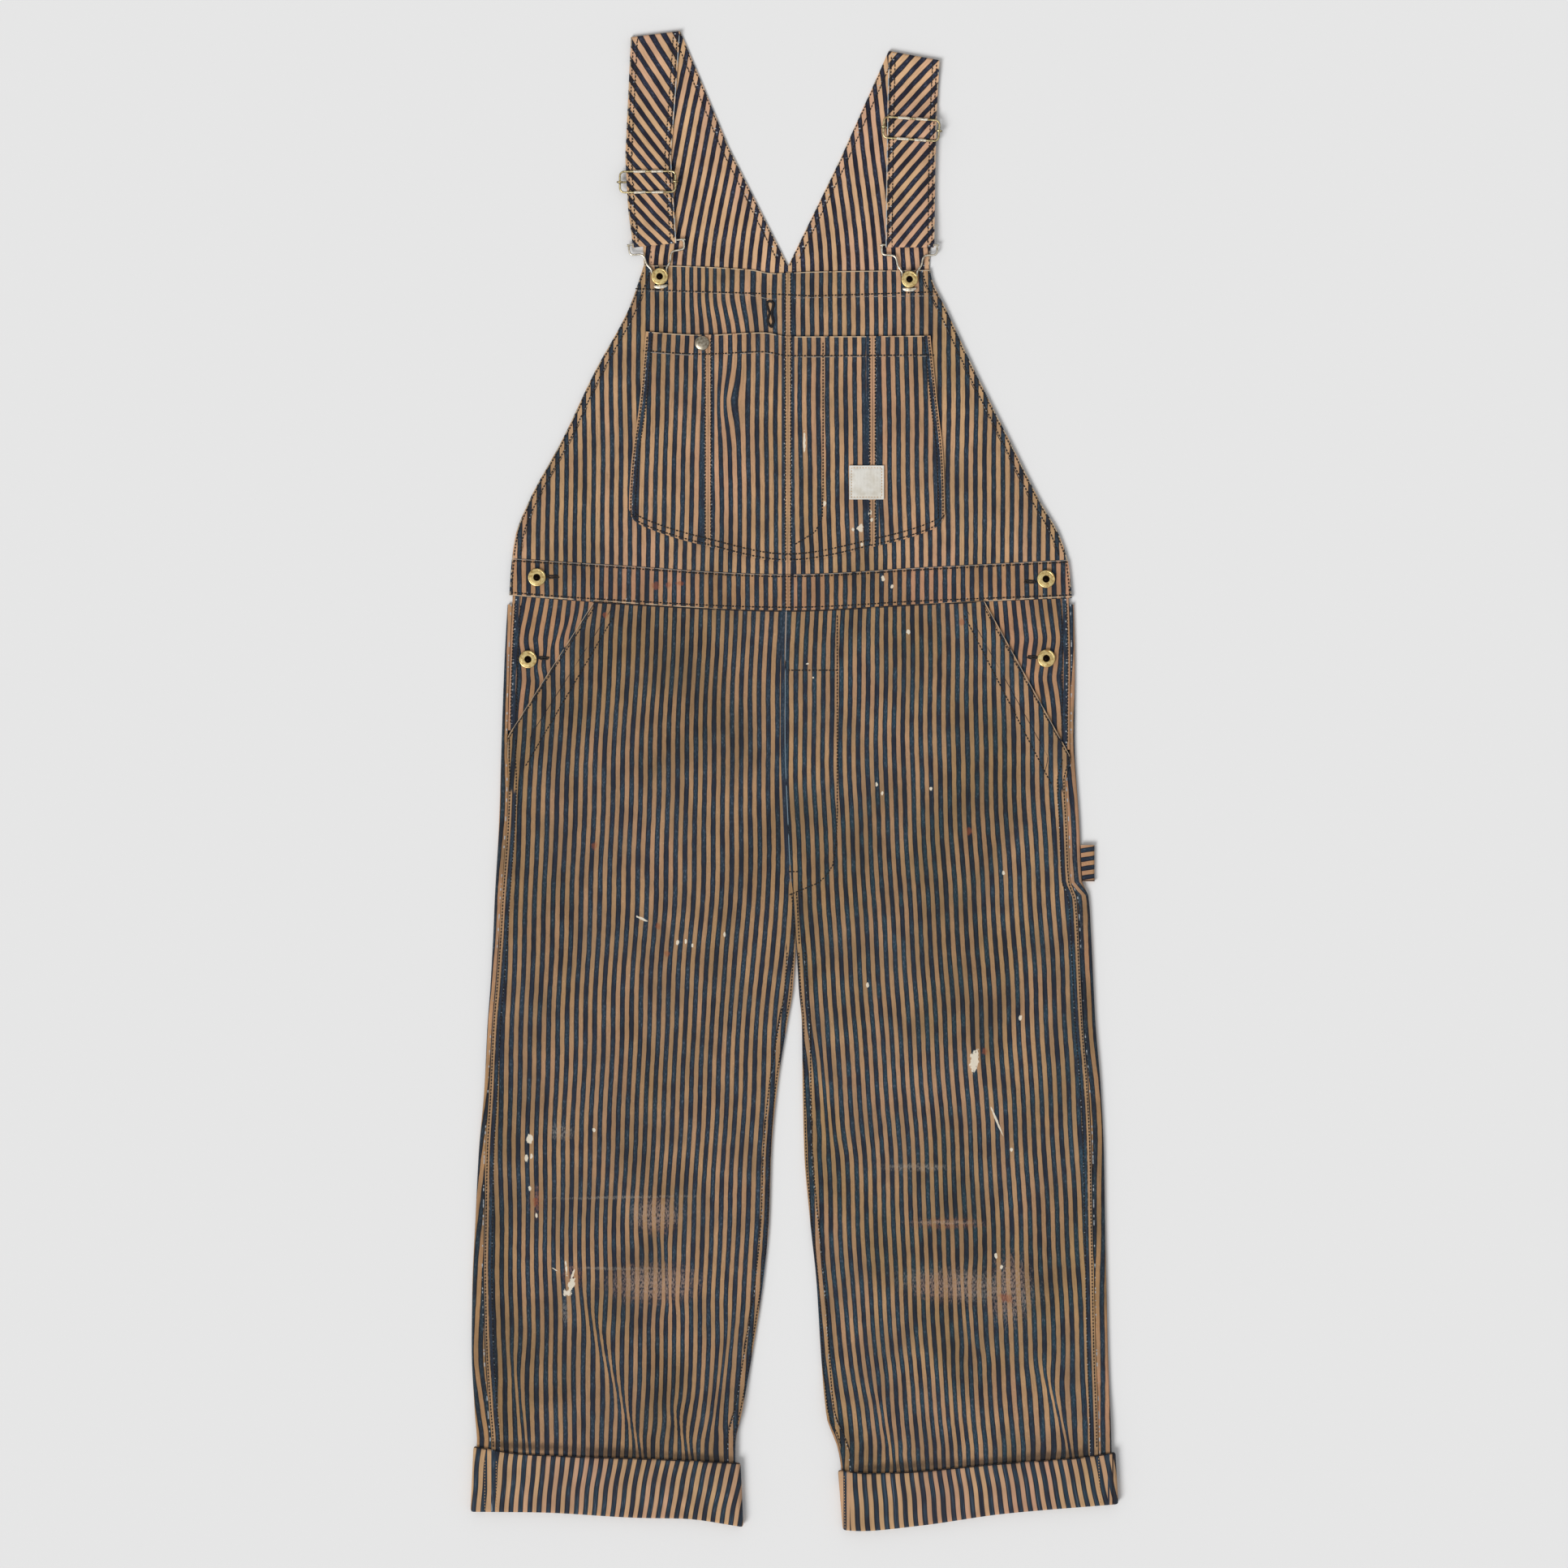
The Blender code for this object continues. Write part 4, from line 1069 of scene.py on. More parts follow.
@dataclass
class BackStrap:
    """High back half and its strap in one strip, over the shoulder, round the hook and back to the slider."""

    side: Side
    cut: tuple[float, float] = (0.262, 0.930)
    columns: int = 22
    row_step: float = 5.0
    arc_steps: int = 14
    # x and y of a point half way down the V's edge, which is a little hollow
    hollow: dict[Side, tuple[float, float]] = field(
        default_factory=lambda: {Side.RIGHT: (-59.5, 576.0), Side.LEFT: (41.5, 565.0)}
    )

    def back_rows(self) -> list[Span]:
        """Both edges of the high back from the shoulder fold to the waist."""
        top, notch = BACKS[self.side]
        x, y = self.hollow[self.side]
        share = (top.in_y - y) / (top.in_y - notch.in_y)
        middle = Span(
            notch.down * share, top.out_x + (notch.out_x - top.out_x) * share,
            top.out_y + (notch.out_y - top.out_y) * share, x, y,
        )
        rows = [top, middle, notch]
        for low in (
            455.0, 430.0, 400.0, 371.0, 341.0, 312.0, 282.0, 260.0, 238.0, 222.0, 205.0, 185.0,
            BACK_WAIST + GAP
        ):
            out_x = float(BIB_SIDE[self.side](low)) - self.side.turn * BACK_INSET
            rows.append(
                Span(notch.down + notch.in_y - low, out_x, low, CENTRE_SEAM + self.side.turn * GAP / 2, low)
            )
        return rows

    def ends(self, on_strap: bool, down: np.ndarray) -> np.ndarray:
        """Outer and inner point at ways below the shoulder fold.

        Args:
            on_strap: Whether the strap's table holds, or the back's.
            down: Ways below the fold.

        Returns:
            out_x, out_y, in_x and in_y of each way.
        """
        rows = sorted(STRAPS[self.side] if on_strap else self.back_rows())
        keys = [row.down for row in rows]
        lines = []
        for column in range(1, 5):
            values = [row[column] for row in rows]
            slope = (values[1] - values[0]) / (keys[1] - keys[0])
            line = np.interp(down, keys, values)
            lines.append(np.where(down < keys[0], values[0] + slope * (down - keys[0]), line))
        return np.stack(lines, axis=-1)

    def down_at(self, y: float) -> float:
        """Way below the fold at which the strap's middle has a given y."""
        middles = sorted((0.5 * (row.out_y + row.in_y), row.down) for row in STRAPS[self.side])
        return float(np.interp(y, [middle for middle, _ in middles], [down for _, down in middles]))

    def route(self) -> list[Stop]:
        """Follow the strip from the waist of the back to its lower end under the slider.

        Returns:
            Its stops, close together.
        """
        end = STRAPS[self.side][-2]
        slider = self.down_at(SLIDERS[self.side].y)
        bar = placed(HOOKS[self.side], 0.5 * (end.out_x + end.in_x) - HOOKS[self.side].x, HOOK_BAR_Y)
        hook = self.down_at(bar[1])
        crown, turn_z = SHOULDER_RADIUS + CLOTH / 2, WIRE + GAP + CLOTH / 2
        stops = [
            Stop(False, row.down, CLOTH / 2, math.pi) for row in reversed(self.back_rows()) if row.down > 0
        ]
        stops.append(Stop(False, 50.0, CLOTH / 2, math.pi))
        for step in range(self.arc_steps + 1):
            angle = math.pi - math.pi * step / self.arc_steps
            down = crown - SHOULDER_RADIUS * math.sin(angle)
            z = CLOTH / 2 + SHOULDER_RADIUS * (1 + math.cos(angle))
            stops.append(Stop(angle <= math.pi / 2 + 0.01, down, z, angle))
        for down, z in (
            (SHOULDER_EASE, STRAP_LOW), (slider - 22, STRAP_LOW), (slider - 11.5, STRAP_UNDER_FRAME),
            (slider - 8.5, STRAP_UNDER_FRAME), (slider - 2, STRAP_OVER_BAR), (slider + 2, STRAP_OVER_BAR),
            (slider + 8.5, STRAP_UNDER_FRAME), (slider + 11.5, STRAP_UNDER_FRAME),
            (0.5 * (slider + hook) + 6, STRAP_DOUBLE), (hook - 7, STRAP_OVER_BAR - 0.3),
        ):
            stops.append(Stop(True, down, z, 0.0))
        for step in range(self.arc_steps + 1):
            angle = math.pi * step / self.arc_steps
            stops.append(
                Stop(True, hook + turn_z * math.sin(angle), BAR_Z + turn_z * math.cos(angle), -angle)
            )
        for down in (0.5 * (slider + hook), slider - 2.5):
            stops.append(Stop(True, down, STRAP_LOW, -math.pi))
        route = [stops[0]]
        for before, after in zip(stops, stops[1:]):
            count = max(1, round(abs(after.down - before.down) / self.row_step))
            if before.on_strap is after.on_strap and before.lean == after.lean and count > 1:
                for part in np.linspace(0, 1, count + 1)[1:-1]:
                    z = before.z + (after.z - before.z) * float(eased(part))
                    down = before.down + (after.down - before.down) * part
                    route.append(Stop(before.on_strap, down, z, before.lean))
            route.append(after)
        return route

    def stripe(self, x: np.ndarray, y: np.ndarray, way: np.ndarray, on_strap: np.ndarray) -> np.ndarray:
        """Way across and along the stripes: steeply slanted on the strap, slightly on the back.

        Args:
            x: Places along X.
            y: Places along Y.
            way: Way along the strip from the shoulder fold.
            on_strap: Whether a row is on the strap.

        Returns:
            Both ways at each place.
        """
        above = 12 * np.logaddexp(0, (y - 478) / 12)
        low = 680.0 - way
        if self.side is Side.RIGHT:
            front = (x + 0.625 * (low - 637) - 0.0011 * (637 - low) ** 2) * 0.79
            back = (x - 0.205 * above) * 0.98
        else:
            front = (x - 0.82 * low) * 0.775
            back = (x + 0.125 * above) * 0.99
        across = np.where(on_strap, front, back) + waver(x, y, 0.4)
        return net_of(across, np.where(on_strap, low, y))

    def lay(self) -> Cloth:
        """Lay out the strip.

        Returns:
            Its cloth.
        """
        route = self.route()
        part = np.concatenate(([0, 0.025], np.linspace(0.05, 0.95, self.columns), [0.975, 1]))
        grids = []
        for reach in (CLOTH / 2, -CLOTH / 2):
            rows = []
            for stop in route:
                edges = self.ends(stop.on_strap, np.array(stop.down - reach * math.sin(stop.lean)))
                x, y = (edges[at] + (edges[at + 2] - edges[at]) * part for at in (0, 1))
                distance = np.minimum(part, 1 - part) * abs(edges[2] - edges[0])
                groove = 0.28 * np.exp(-(((distance - 6.0) / 1.3) ** 2)) * (
                    1 if reach > 0 and stop.lean == 0 else 0
                )
                z = stop.z + (reach - groove) * math.cos(stop.lean)
                rows.append(np.stack((x, y, np.broadcast_to(z, x.shape)), axis=1))
            grids.append(np.array(rows))
        upper, lower = grids
        middle = 0.5 * (upper + lower)
        on_strap = np.array([stop.on_strap for stop in route])[:, None]
        steps = np.linalg.norm(np.diff(middle[:, self.columns // 2], axis=0), axis=1)
        way = np.concatenate(([0], np.cumsum(steps)))
        way = (way - way[int(np.argmax(on_strap))])[:, None]
        across = self.stripe(middle[..., 0], middle[..., 1], way, on_strap)
        width = np.abs(middle[:, -1:, 0] - middle[:, :1, 0])
        slant = np.where(on_strap, 1.0, 0.9)
        inner = width * (1 - part) * slant
        edges = net_of(width * part * slant, inner, np.where(on_strap, inner, 99.0))
        return Cloth(
            "back_strap_" + self.side.value, upper, lower, across, edges, self.cut, held=Held.FOLDED,
        )


@dataclass
class Cuff:
    """Turned-up cuff: a ring of rolled cloth round the leg's end."""

    side: Side
    cut: tuple[float, float] = (0.512, 0.068)
    rounding: float = 3.2
    lean: dict[Side, float] = field(default_factory=lambda: {Side.RIGHT: -0.08, Side.LEFT: 0.19})
    spread: dict[Side, float] = field(default_factory=lambda: {Side.RIGHT: 0.973, Side.LEFT: 0.95})
    creases: dict[Side, tuple[Fold, ...]] = field(default_factory=lambda: {
        Side.RIGHT: (
            Fold(-111, -650, -97, -668, 2.6, -0.9),
            Fold(-104, -652, -88, -666, 4.0, 0.8),
            Fold(-180, -622, -186, -662, 10, 0.7),
            Fold(-242, -618, -236, -660, 9, -0.6),
            Fold(-70, -630, -74, -672, 9, 0.6),
        ),
        Side.LEFT: (
            Fold(64, -634, 60, -678, 4.0, 0.9),
            Fold(52, -634, 50, -676, 2.2, -0.8),
            Fold(120, -632, 132, -672, 11, 0.7),
            Fold(196, -628, 206, -662, 10, 0.7),
            Fold(252, -622, 262, -656, 8, -0.6),
            Fold(284, -620, 287, -652, 1.4, -1.0),
            Fold(289, -622, 291, -650, 1.2, -0.9),
        ),
    })

    def lay(self) -> Cloth:
        """Lay out the ring, with a rounded roll along both of its ends.

        Returns:
            Its cloth.
        """
        cuff, turn = CUFFS[self.side], self.side.turn
        radius = CUFF_WALL + (2 * CLOTH + 3 * GAP) / 2
        parts = np.array(
            [0, 0.012, 0.03, 0.06, 0.1, *np.linspace(0.16, 0.84, 10), 0.9, 0.94, 0.97, 0.988, 1.0]
        )
        bottom, top = np.linspace(0, 1, 48), np.linspace(0, 1, 84)
        turns = np.linspace(-math.pi / 2, math.pi / 2, 11)[1:-1]
        grids, ways = [], None
        for reach in (radius, radius - CUFF_WALL):
            rows = []
            for part in parts:
                out_x = cuff.out_bottom + (cuff.out_top - cuff.out_bottom) * part
                in_x = cuff.in_bottom + (cuff.in_top - cuff.in_bottom) * part
                start, end = out_x - turn * radius, in_x + turn * radius
                near = min(part, 1 - part) * 56 / self.rounding
                inset = 0.0 if near >= 1 or reach < radius else 1.3 * (1 - math.sqrt(1 - (1 - near) ** 2))
                x = np.concatenate((
                    start + (end - start) * bottom, end - turn * (reach - inset) * np.cos(turns),
                    end + (start - end) * top, start + turn * (reach - inset) * np.cos(turns),
                ))
                z = np.concatenate((
                    np.full(48, radius - reach), radius + (reach - 0.5 * inset) * np.sin(turns),
                    np.full(84, radius + reach - inset), radius - (reach - 0.5 * inset) * np.sin(turns),
                ))
                y = cuff.bottom(x) * (1 - part) + cuff.top(x) * part
                if reach == radius:
                    on_top = z > 1.8 * radius
                    change = fold_height(self.creases[self.side], x, y) * (1 - 0.5 * (near < 0.3))
                    z = z + np.where(on_top, np.clip(change, -1.3, 1.2), 0.0)
                rows.append(np.stack((x, y, z), axis=1))
            grids.append(np.array(rows))
        outer, inner = grids
        wrapped = np.concatenate((outer, outer[:, :1]), axis=1)
        steps = np.linalg.norm(np.diff(wrapped[..., :2], axis=1), axis=2)
        ways = np.concatenate((np.zeros((len(parts), 1)), np.cumsum(steps, axis=1)), axis=1)
        centre = 48 + 9 + 42
        across = (
            wrapped[:, centre:centre + 1, 0]
            + turn * (ways - ways[:, centre:centre + 1]) * self.spread[self.side]
        )
        middle_y = wrapped[:, centre:centre + 1, 1]
        flat = np.abs(wrapped[..., 1] - middle_y) < 100
        further = np.clip(np.abs(across - cuff.out_top) / 240, 0, 1)
        lean = (self.lean[self.side] - 0.12 * further) * (wrapped[..., 1] - CUFF_MIDDLE_Y)
        stripe = net_of(np.where(flat, across + lean, across) + waver(across, wrapped[..., 1] * 3, 0.4), ways)
        height = cuff.top(wrapped[..., 0]) - wrapped[..., 1]
        edges = np.stack((
            np.abs(wrapped[..., 0] - cuff.out_top), np.abs(wrapped[..., 0] - cuff.in_top), height
        ), axis=2)
        return Cloth(
            "cuff_" + self.side.value, outer, inner, stripe, edges, self.cut, held=Held.FOLDED, ring=True,
            rests_on=("back_leg_" + self.side.value,),
        )


@dataclass
class HammerLoop:
    """Strip of cloth folded out from the left outseam and back."""

    top: float = -59.0
    bottom: float = -92.0
    reach: float = 11.2
    height: float = 4.4
    cut: tuple[float, float] = (0.034, 0.030)

    def lay(self) -> Cloth:
        """Lay out the loop.

        Returns:
            Its cloth.
        """
        radius = self.height / 2
        angle = np.linspace(-math.pi / 2, math.pi / 2, 13)
        y = np.linspace(self.bottom, self.top, 26)
        grids = []
        for reach in (radius, radius - CLOTH):
            rows = []
            for at in y:
                start = float(OUTER[Side.LEFT](at)) + GAP
                centre = max(float(OUTER[Side.LEFT](self.bottom)), start) + self.reach - radius
                flat = np.linspace(start, centre, 8)[:-1]
                x = np.concatenate((flat, centre + reach * np.cos(angle), flat[::-1]))
                z = np.concatenate((np.full(7, -reach), reach * np.sin(angle), np.full(7, reach))) + radius
                rows.append(np.stack((x, np.full(x.shape, at), z), axis=1))
            grids.append(np.array(rows))
        outer, inner = grids
        x = outer[..., 0]
        rise = 0.16 * (x - 262.0)
        stripe = net_of(outer[..., 1] - rise, x)
        edges = net_of(outer[..., 1] - self.bottom, self.top - outer[..., 1], self.top - outer[..., 1])
        return Cloth("hammer_loop", outer, inner, stripe, edges, self.cut, held=Held.FOLDED)


class Edge(Enum):
    """Edge of a piece that lines of wear, yarn bands, painted shade and painted highlight follow."""

    FIRST = 0
    SECOND = 1
    UPPER = 2


class Yarn(Enum):
    """The denim's own yarns, which a felled seam shows as a band beside it."""

    TAN = 0
    INDIGO = 1


@dataclass(frozen=True)
class Wear:
    """Line of wear, painted shade or painted highlight, or band of yarn, along an edge: its distance, half
    width, colour, share covered, and reach.

    dash is the length of its marks, and low and high are the y between which it shows.
    """

    edge: Edge
    at: float
    half: float
    colour: str | Yarn
    cover: float = 0.5
    dash: float = 7.0
    low: float = -900.0
    high: float = 900.0


@dataclass(frozen=True)
class Stain:
    """Spot on the cloth: its middle in photograph pixels, half sizes in millimetres, tilt and rag."""

    column: float
    row: float
    across: float
    along: float
    tilt: float = 0.0
    rag: float = 0.9

    @property
    def place(self) -> tuple[float, float]:
        """Its middle in millimetres, at 0.74 mm a pixel."""
        return (self.column - 978.5) * 0.74, (961.5 - self.row) * 0.74


# Pale edges, partly worn fold edges and partly painted highlight where they catch the light; pale worn
# flecks; and painted shade in seam grooves, stitch puckers and gaps under edges
EDGE_WEAR_AND_HIGHLIGHT, CHALK, PAINTED_SHADE_LINE = "#bfab90", "#a9afb3", "#1f1c20"


@dataclass(frozen=True)
class StripedDenim:
    """Woven hickory-striped cotton denim, washed soft: matt, with crisp stripes, paler rubbed seams, pale
    edges that are partly painted highlight, dark lines of painted shade by the seams and painted shadow above
    the cuffs.

    The warp's slubs and heather are drawn about 1 mm wide, coarser than the real 0.4 mm thread, so that
    they show from above.
    """

    name: str
    tan: str = "#b18862"
    pink: str = "#b5866a"
    shade: str = "#967656"
    dark: str = "#252c3a"
    teal: str = "#243644"
    fleck: str = "#4c5767"
    border: str = "#17161d"
    grime: str = "#856c50"
    dirt: float = 0.3
    share: float = 0.54
    phase: float = 0.0
    wear: tuple[Wear, ...] = ()
    paint: tuple[Stain, ...] = ()
    rust: tuple[Stain, ...] = ()
    scuffs: tuple[Stain, ...] = ()
    rosy: tuple[Stain, ...] = ()
    # Painted shadow: soft dark bands where the thick cuff shades the leg just above it
    painted_shadow: tuple[Stain, ...] = ()

    def spots(
        self, tree: bpy.types.NodeTree, stains: tuple[Stain, ...], place: bpy.types.NodeSocket,
        rag: bpy.types.NodeSocket, soft: float,
    ) -> bpy.types.NodeSocket:
        """Cover of a group of spots.

        Args:
            tree: Tree of the material.
            stains: The spots.
            place: Object coordinates in millimetres.
            rag: Noise that frays their edges.
            soft: How soft their edges are.

        Returns:
            The cover from 0 to 1.
        """
        total = None
        for stain in stains:
            local = add_node(tree, "ShaderNodeMapping", {
                "Vector": place, "Location": (*stain.place, 0), "Rotation": (0, 0, math.radians(stain.tilt)),
                "Scale": (stain.across, stain.along, 1000),
            }, vector_type="TEXTURE")
            away = add_node(tree, "ShaderNodeVectorMath", {0: local.outputs[0]}, operation="LENGTH")
            frayed = add_node(
                tree, "ShaderNodeMath", {0: rag, 1: stain.rag * 2, 2: away.outputs["Value"]},
                operation="MULTIPLY_ADD"
            )
            cover = add_node(tree, "ShaderNodeMapRange", {
                "Value": frayed.outputs[0], "From Min": 1 + soft, "From Max": 1 - soft,
            }, interpolation_type="SMOOTHSTEP")
            if total is None:
                total = cover.outputs[0]
            else:
                total = add_node(
                    tree, "ShaderNodeMath", {0: total, 1: cover.outputs[0]}, operation="MAXIMUM"
                ).outputs[0]
        return total

    def material(self) -> bpy.types.Material:
        """Make the material.

        Returns:
            The material.
        """
        made = bpy.data.materials.new(self.name)
        made.use_nodes = True
        tree = made.node_tree
        shader = tree.nodes["Principled BSDF"]
        shader.inputs["Sheen Weight"].default_value = 0.08
        shader.inputs["Sheen Roughness"].default_value = 0.5
        shader.inputs["Specular IOR Level"].default_value = 0.25

        def number(kind: str, *values: object) -> bpy.types.NodeSocket:
            """One step of arithmetic."""
            return add_node(tree, "ShaderNodeMath", dict(enumerate(values)), operation=kind).outputs[0]

        def noise(
            vector: bpy.types.NodeSocket, scale: tuple[float, float, float], detail: float
        ) -> bpy.types.NodeSocket:
            """Noise whose features are scale millimetres in size."""
            sized = add_node(tree, "ShaderNodeVectorMath", {
                0: vector, 1: tuple(1 / size for size in scale)
            }, operation="MULTIPLY")
            return add_node(
                tree, "ShaderNodeTexNoise", {"Vector": sized.outputs[0], "Scale": 1.0, "Detail": detail}
            ).outputs[0]

        def ramp(
            value: bpy.types.NodeSocket, low: float, high: float, top: float = 1.0
        ) -> bpy.types.NodeSocket:
            """Smooth step from 0 at low to top at high."""
            return add_node(tree, "ShaderNodeMapRange", {
                "Value": value, "From Min": low, "From Max": high, "To Max": top
            }, interpolation_type="SMOOTHSTEP").outputs[0]

        def mixed(
            share: object, below: object, above: object, blend: str = "MIX"
        ) -> bpy.types.NodeSocket:
            """Mix of two colours."""
            return add_node(
                tree, "ShaderNodeMix", {0: share, 6: below, 7: above}, data_type="RGBA", blend_type=blend
            ).outputs[2]

        uv = add_node(tree, "ShaderNodeUVMap", uv_map="cloth")
        thread = add_node(
            tree, "ShaderNodeVectorMath", {0: uv.outputs[0], "Scale": MILLIMETRES}, operation="SCALE"
        ).outputs[0]
        parts = add_node(tree, "ShaderNodeSeparateXYZ", {0: thread})
        across, along = parts.outputs[0], parts.outputs[1]
        where = add_node(tree, "ShaderNodeTexCoord").outputs["Object"]
        place = add_node(
            tree, "ShaderNodeVectorMath", {0: where, "Scale": MILLIMETRES}, operation="SCALE"
        ).outputs[0]
        from_edges = add_node(tree, "ShaderNodeAttribute", attribute_name="edges").outputs["Vector"]
        borders = add_node(tree, "ShaderNodeSeparateXYZ", {0: add_node(
            tree, "ShaderNodeVectorMath", {0: from_edges, "Scale": MILLIMETRES}, operation="SCALE"
        ).outputs[0]})

        # Stripes: how far a place is from the middle of the nearest dark one
        wobble = noise(thread, (2.6, 11, 10), 1.0)
        moved = number("MULTIPLY_ADD", wobble, 0.9, number("ADD", across, -self.phase - 0.45))
        turns = number("MULTIPLY", moved, 1 / PITCH)
        part = number("FRACT", number("ADD", turns, 0.5))
        away = number("MULTIPLY", number("ABSOLUTE", number("SUBTRACT", part, 0.5)), PITCH)
        half = self.share * PITCH / 2
        is_dark = ramp(away, half + 0.32, half - 0.32)
        rim = ramp(number("ABSOLUTE", number("SUBTRACT", away, half - 0.35)), 0.85, 0.15)
        stripe_number = number("FLOOR", turns)
        hue = add_node(
            tree, "ShaderNodeTexWhiteNoise", {"W": stripe_number}, noise_dimensions="1D"
        ).outputs[0]

        heather = noise(thread, (1.0, 2.8, 10), 2.0)
        slub = noise(thread, (1.3, 26, 10), 2.0)
        cloud = noise(place, (46, 60, 60), 3.0)
        patch = noise(place, (13, 22, 20), 2.0)

        tint = number("MULTIPLY_ADD", hue, 0.16, noise(place, (60, 110, 60), 2.0))
        tan = mixed(ramp(tint, 0.42, 0.76), linear(self.tan), linear(self.pink))
        tan = mixed(ramp(slub, 0.48, 0.72, 0.55), tan, linear(self.shade))
        tan = mixed(ramp(heather, 0.58, 0.76, 0.6), tan, linear(self.shade))
        tan = mixed(ramp(heather, 0.40, 0.26, 0.45), tan, linear("#cfa981"))
        tan = mixed(ramp(cloud, 0.36, 0.68, self.dirt), tan, linear(self.grime))
        dark = mixed(ramp(patch, 0.38, 0.62), linear(self.dark), linear(self.teal))
        worn = number("MULTIPLY", ramp(heather, 0.46, 0.72), ramp(patch, 0.3, 0.65, 0.9))
        dark = mixed(worn, dark, linear(self.fleck))
        dark = mixed(ramp(slub, 0.56, 0.3, 0.5), dark, linear(self.border))
        edged = mixed(number("MULTIPLY", rim, 0.75), dark, linear(self.border))
        colour = mixed(is_dark, tan, edged)
        level = add_node(tree, "ShaderNodeMapRange", {
            "Value": patch, "From Min": 0.25, "From Max": 0.75, "To Min": 0.88, "To Max": 1.10,
        }).outputs[0]
        shade = add_node(tree, "ShaderNodeCombineColor", {0: level, 1: level, 2: level}).outputs[0]
        colour = mixed(1.0, colour, shade, "MULTIPLY")
        soiled = ramp(noise(place, (110, 170, 100), 2.0), 0.44, 0.62, self.dirt)
        colour = mixed(soiled, colour, linear("#d6d8c6"), "MULTIPLY")

        # Lines beside seams and edges: bands of the cloth's own yarns, rubbed pale flecks, pale edges that
        # are partly wear and partly painted highlight, and dark lines of painted shade
        height = add_node(tree, "ShaderNodeSeparateXYZ", {0: place}).outputs[1]
        for order, line in enumerate(self.wear):
            off = number("ABSOLUTE", number("SUBTRACT", borders.outputs[line.edge.value], line.at))
            cover = ramp(off, line.half + 0.3, max(line.half - 0.3, 0.05))
            if line.cover < 1:
                way = across if line.edge is Edge.UPPER else along
                step = add_node(tree, "ShaderNodeCombineXYZ", {0: way, 1: 37.0 * order + 11.0})
                marks = noise(step.outputs[0], (line.dash, 5, 5), 2.0)
                start = 0.5 + (0.5 - line.cover) * 0.42
                cover = number("MULTIPLY", cover, ramp(marks, start - 0.05, start + 0.05))
            if line.low > -NO_END:
                cover = number("MULTIPLY", cover, ramp(height, line.low - 3, line.low + 3))
            if line.high < NO_END:
                cover = number("MULTIPLY", cover, ramp(height, line.high + 3, line.high - 3))
            own = {Yarn.TAN: tan, Yarn.INDIGO: dark}
            colour = mixed(cover, colour, own[line.colour] if line.colour in own else linear(line.colour))

        rag = number("SUBTRACT", noise(place, (2.1, 3.0, 4), 4.0), 0.5)
        finish = 0.0
        # The first group is painted shadow, a soft dark band on each front leg just above its cuff; the
        # others are stains, scuffs, rust and paint
        for stains, tint, soft, strength in (
            (self.painted_shadow, "#1c1613", 0.8, 0.62), (self.rosy, "#a2694b", 0.7, 0.4),
            (self.scuffs, "#a8a094", 0.6, 0.34), (self.rust, "#8c4a2c", 0.4, 0.5),
            (self.paint, "#ddd3c0", 0.14, 0.9),
        ):
            if stains:
                finish = number("MULTIPLY", self.spots(tree, stains, place, rag, soft), strength)
                if stains is self.scuffs or stains is self.rosy:
                    finish = number("MULTIPLY", finish, ramp(heather, 0.36, 0.62))
                colour = mixed(finish, colour, linear(tint))
        tree.links.new(colour, shader.inputs["Base Color"])

        rough = add_node(tree, "ShaderNodeMapRange", {"Value": heather, "To Min": 0.82, "To Max": 0.96})
        tree.links.new(rough.outputs[0], shader.inputs["Roughness"])
        crumple = noise(place, (17, 26, 20), 3.0)
        relief = number("MULTIPLY_ADD", heather, 0.16, number("MULTIPLY", crumple, 1.5))
        relief = number("MULTIPLY_ADD", slub, 0.14, relief)
        bump = add_node(tree, "ShaderNodeBump", {"Height": relief, "Strength": 0.75, "Distance": METRES})
        tree.links.new(bump.outputs[0], shader.inputs["Normal"])
        return made


def stains(*rows: tuple[float, ...]) -> tuple[Stain, ...]:
    """Spots from rows of their values."""
    return tuple(Stain(*row) for row in rows)


def felled(edge: Edge, **reach: float) -> tuple[Wear, ...]:
    """Felled seam along an edge: a tan band, then a dark one, with a flecked line of painted shade in the
    groove between them and pale worn flecks along the dark band's far side.
    """
    return (
        Wear(edge, 2.2, 1.6, Yarn.TAN, 1.0, **reach), Wear(edge, 6.0, 1.8, Yarn.INDIGO, 1.0, **reach),
        Wear(edge, 7.6, 0.3, CHALK, 0.36, 2.6, **reach), Wear(edge, 4.3, 0.35, PAINTED_SHADE_LINE, 0.7, 5.0, **reach),
    )
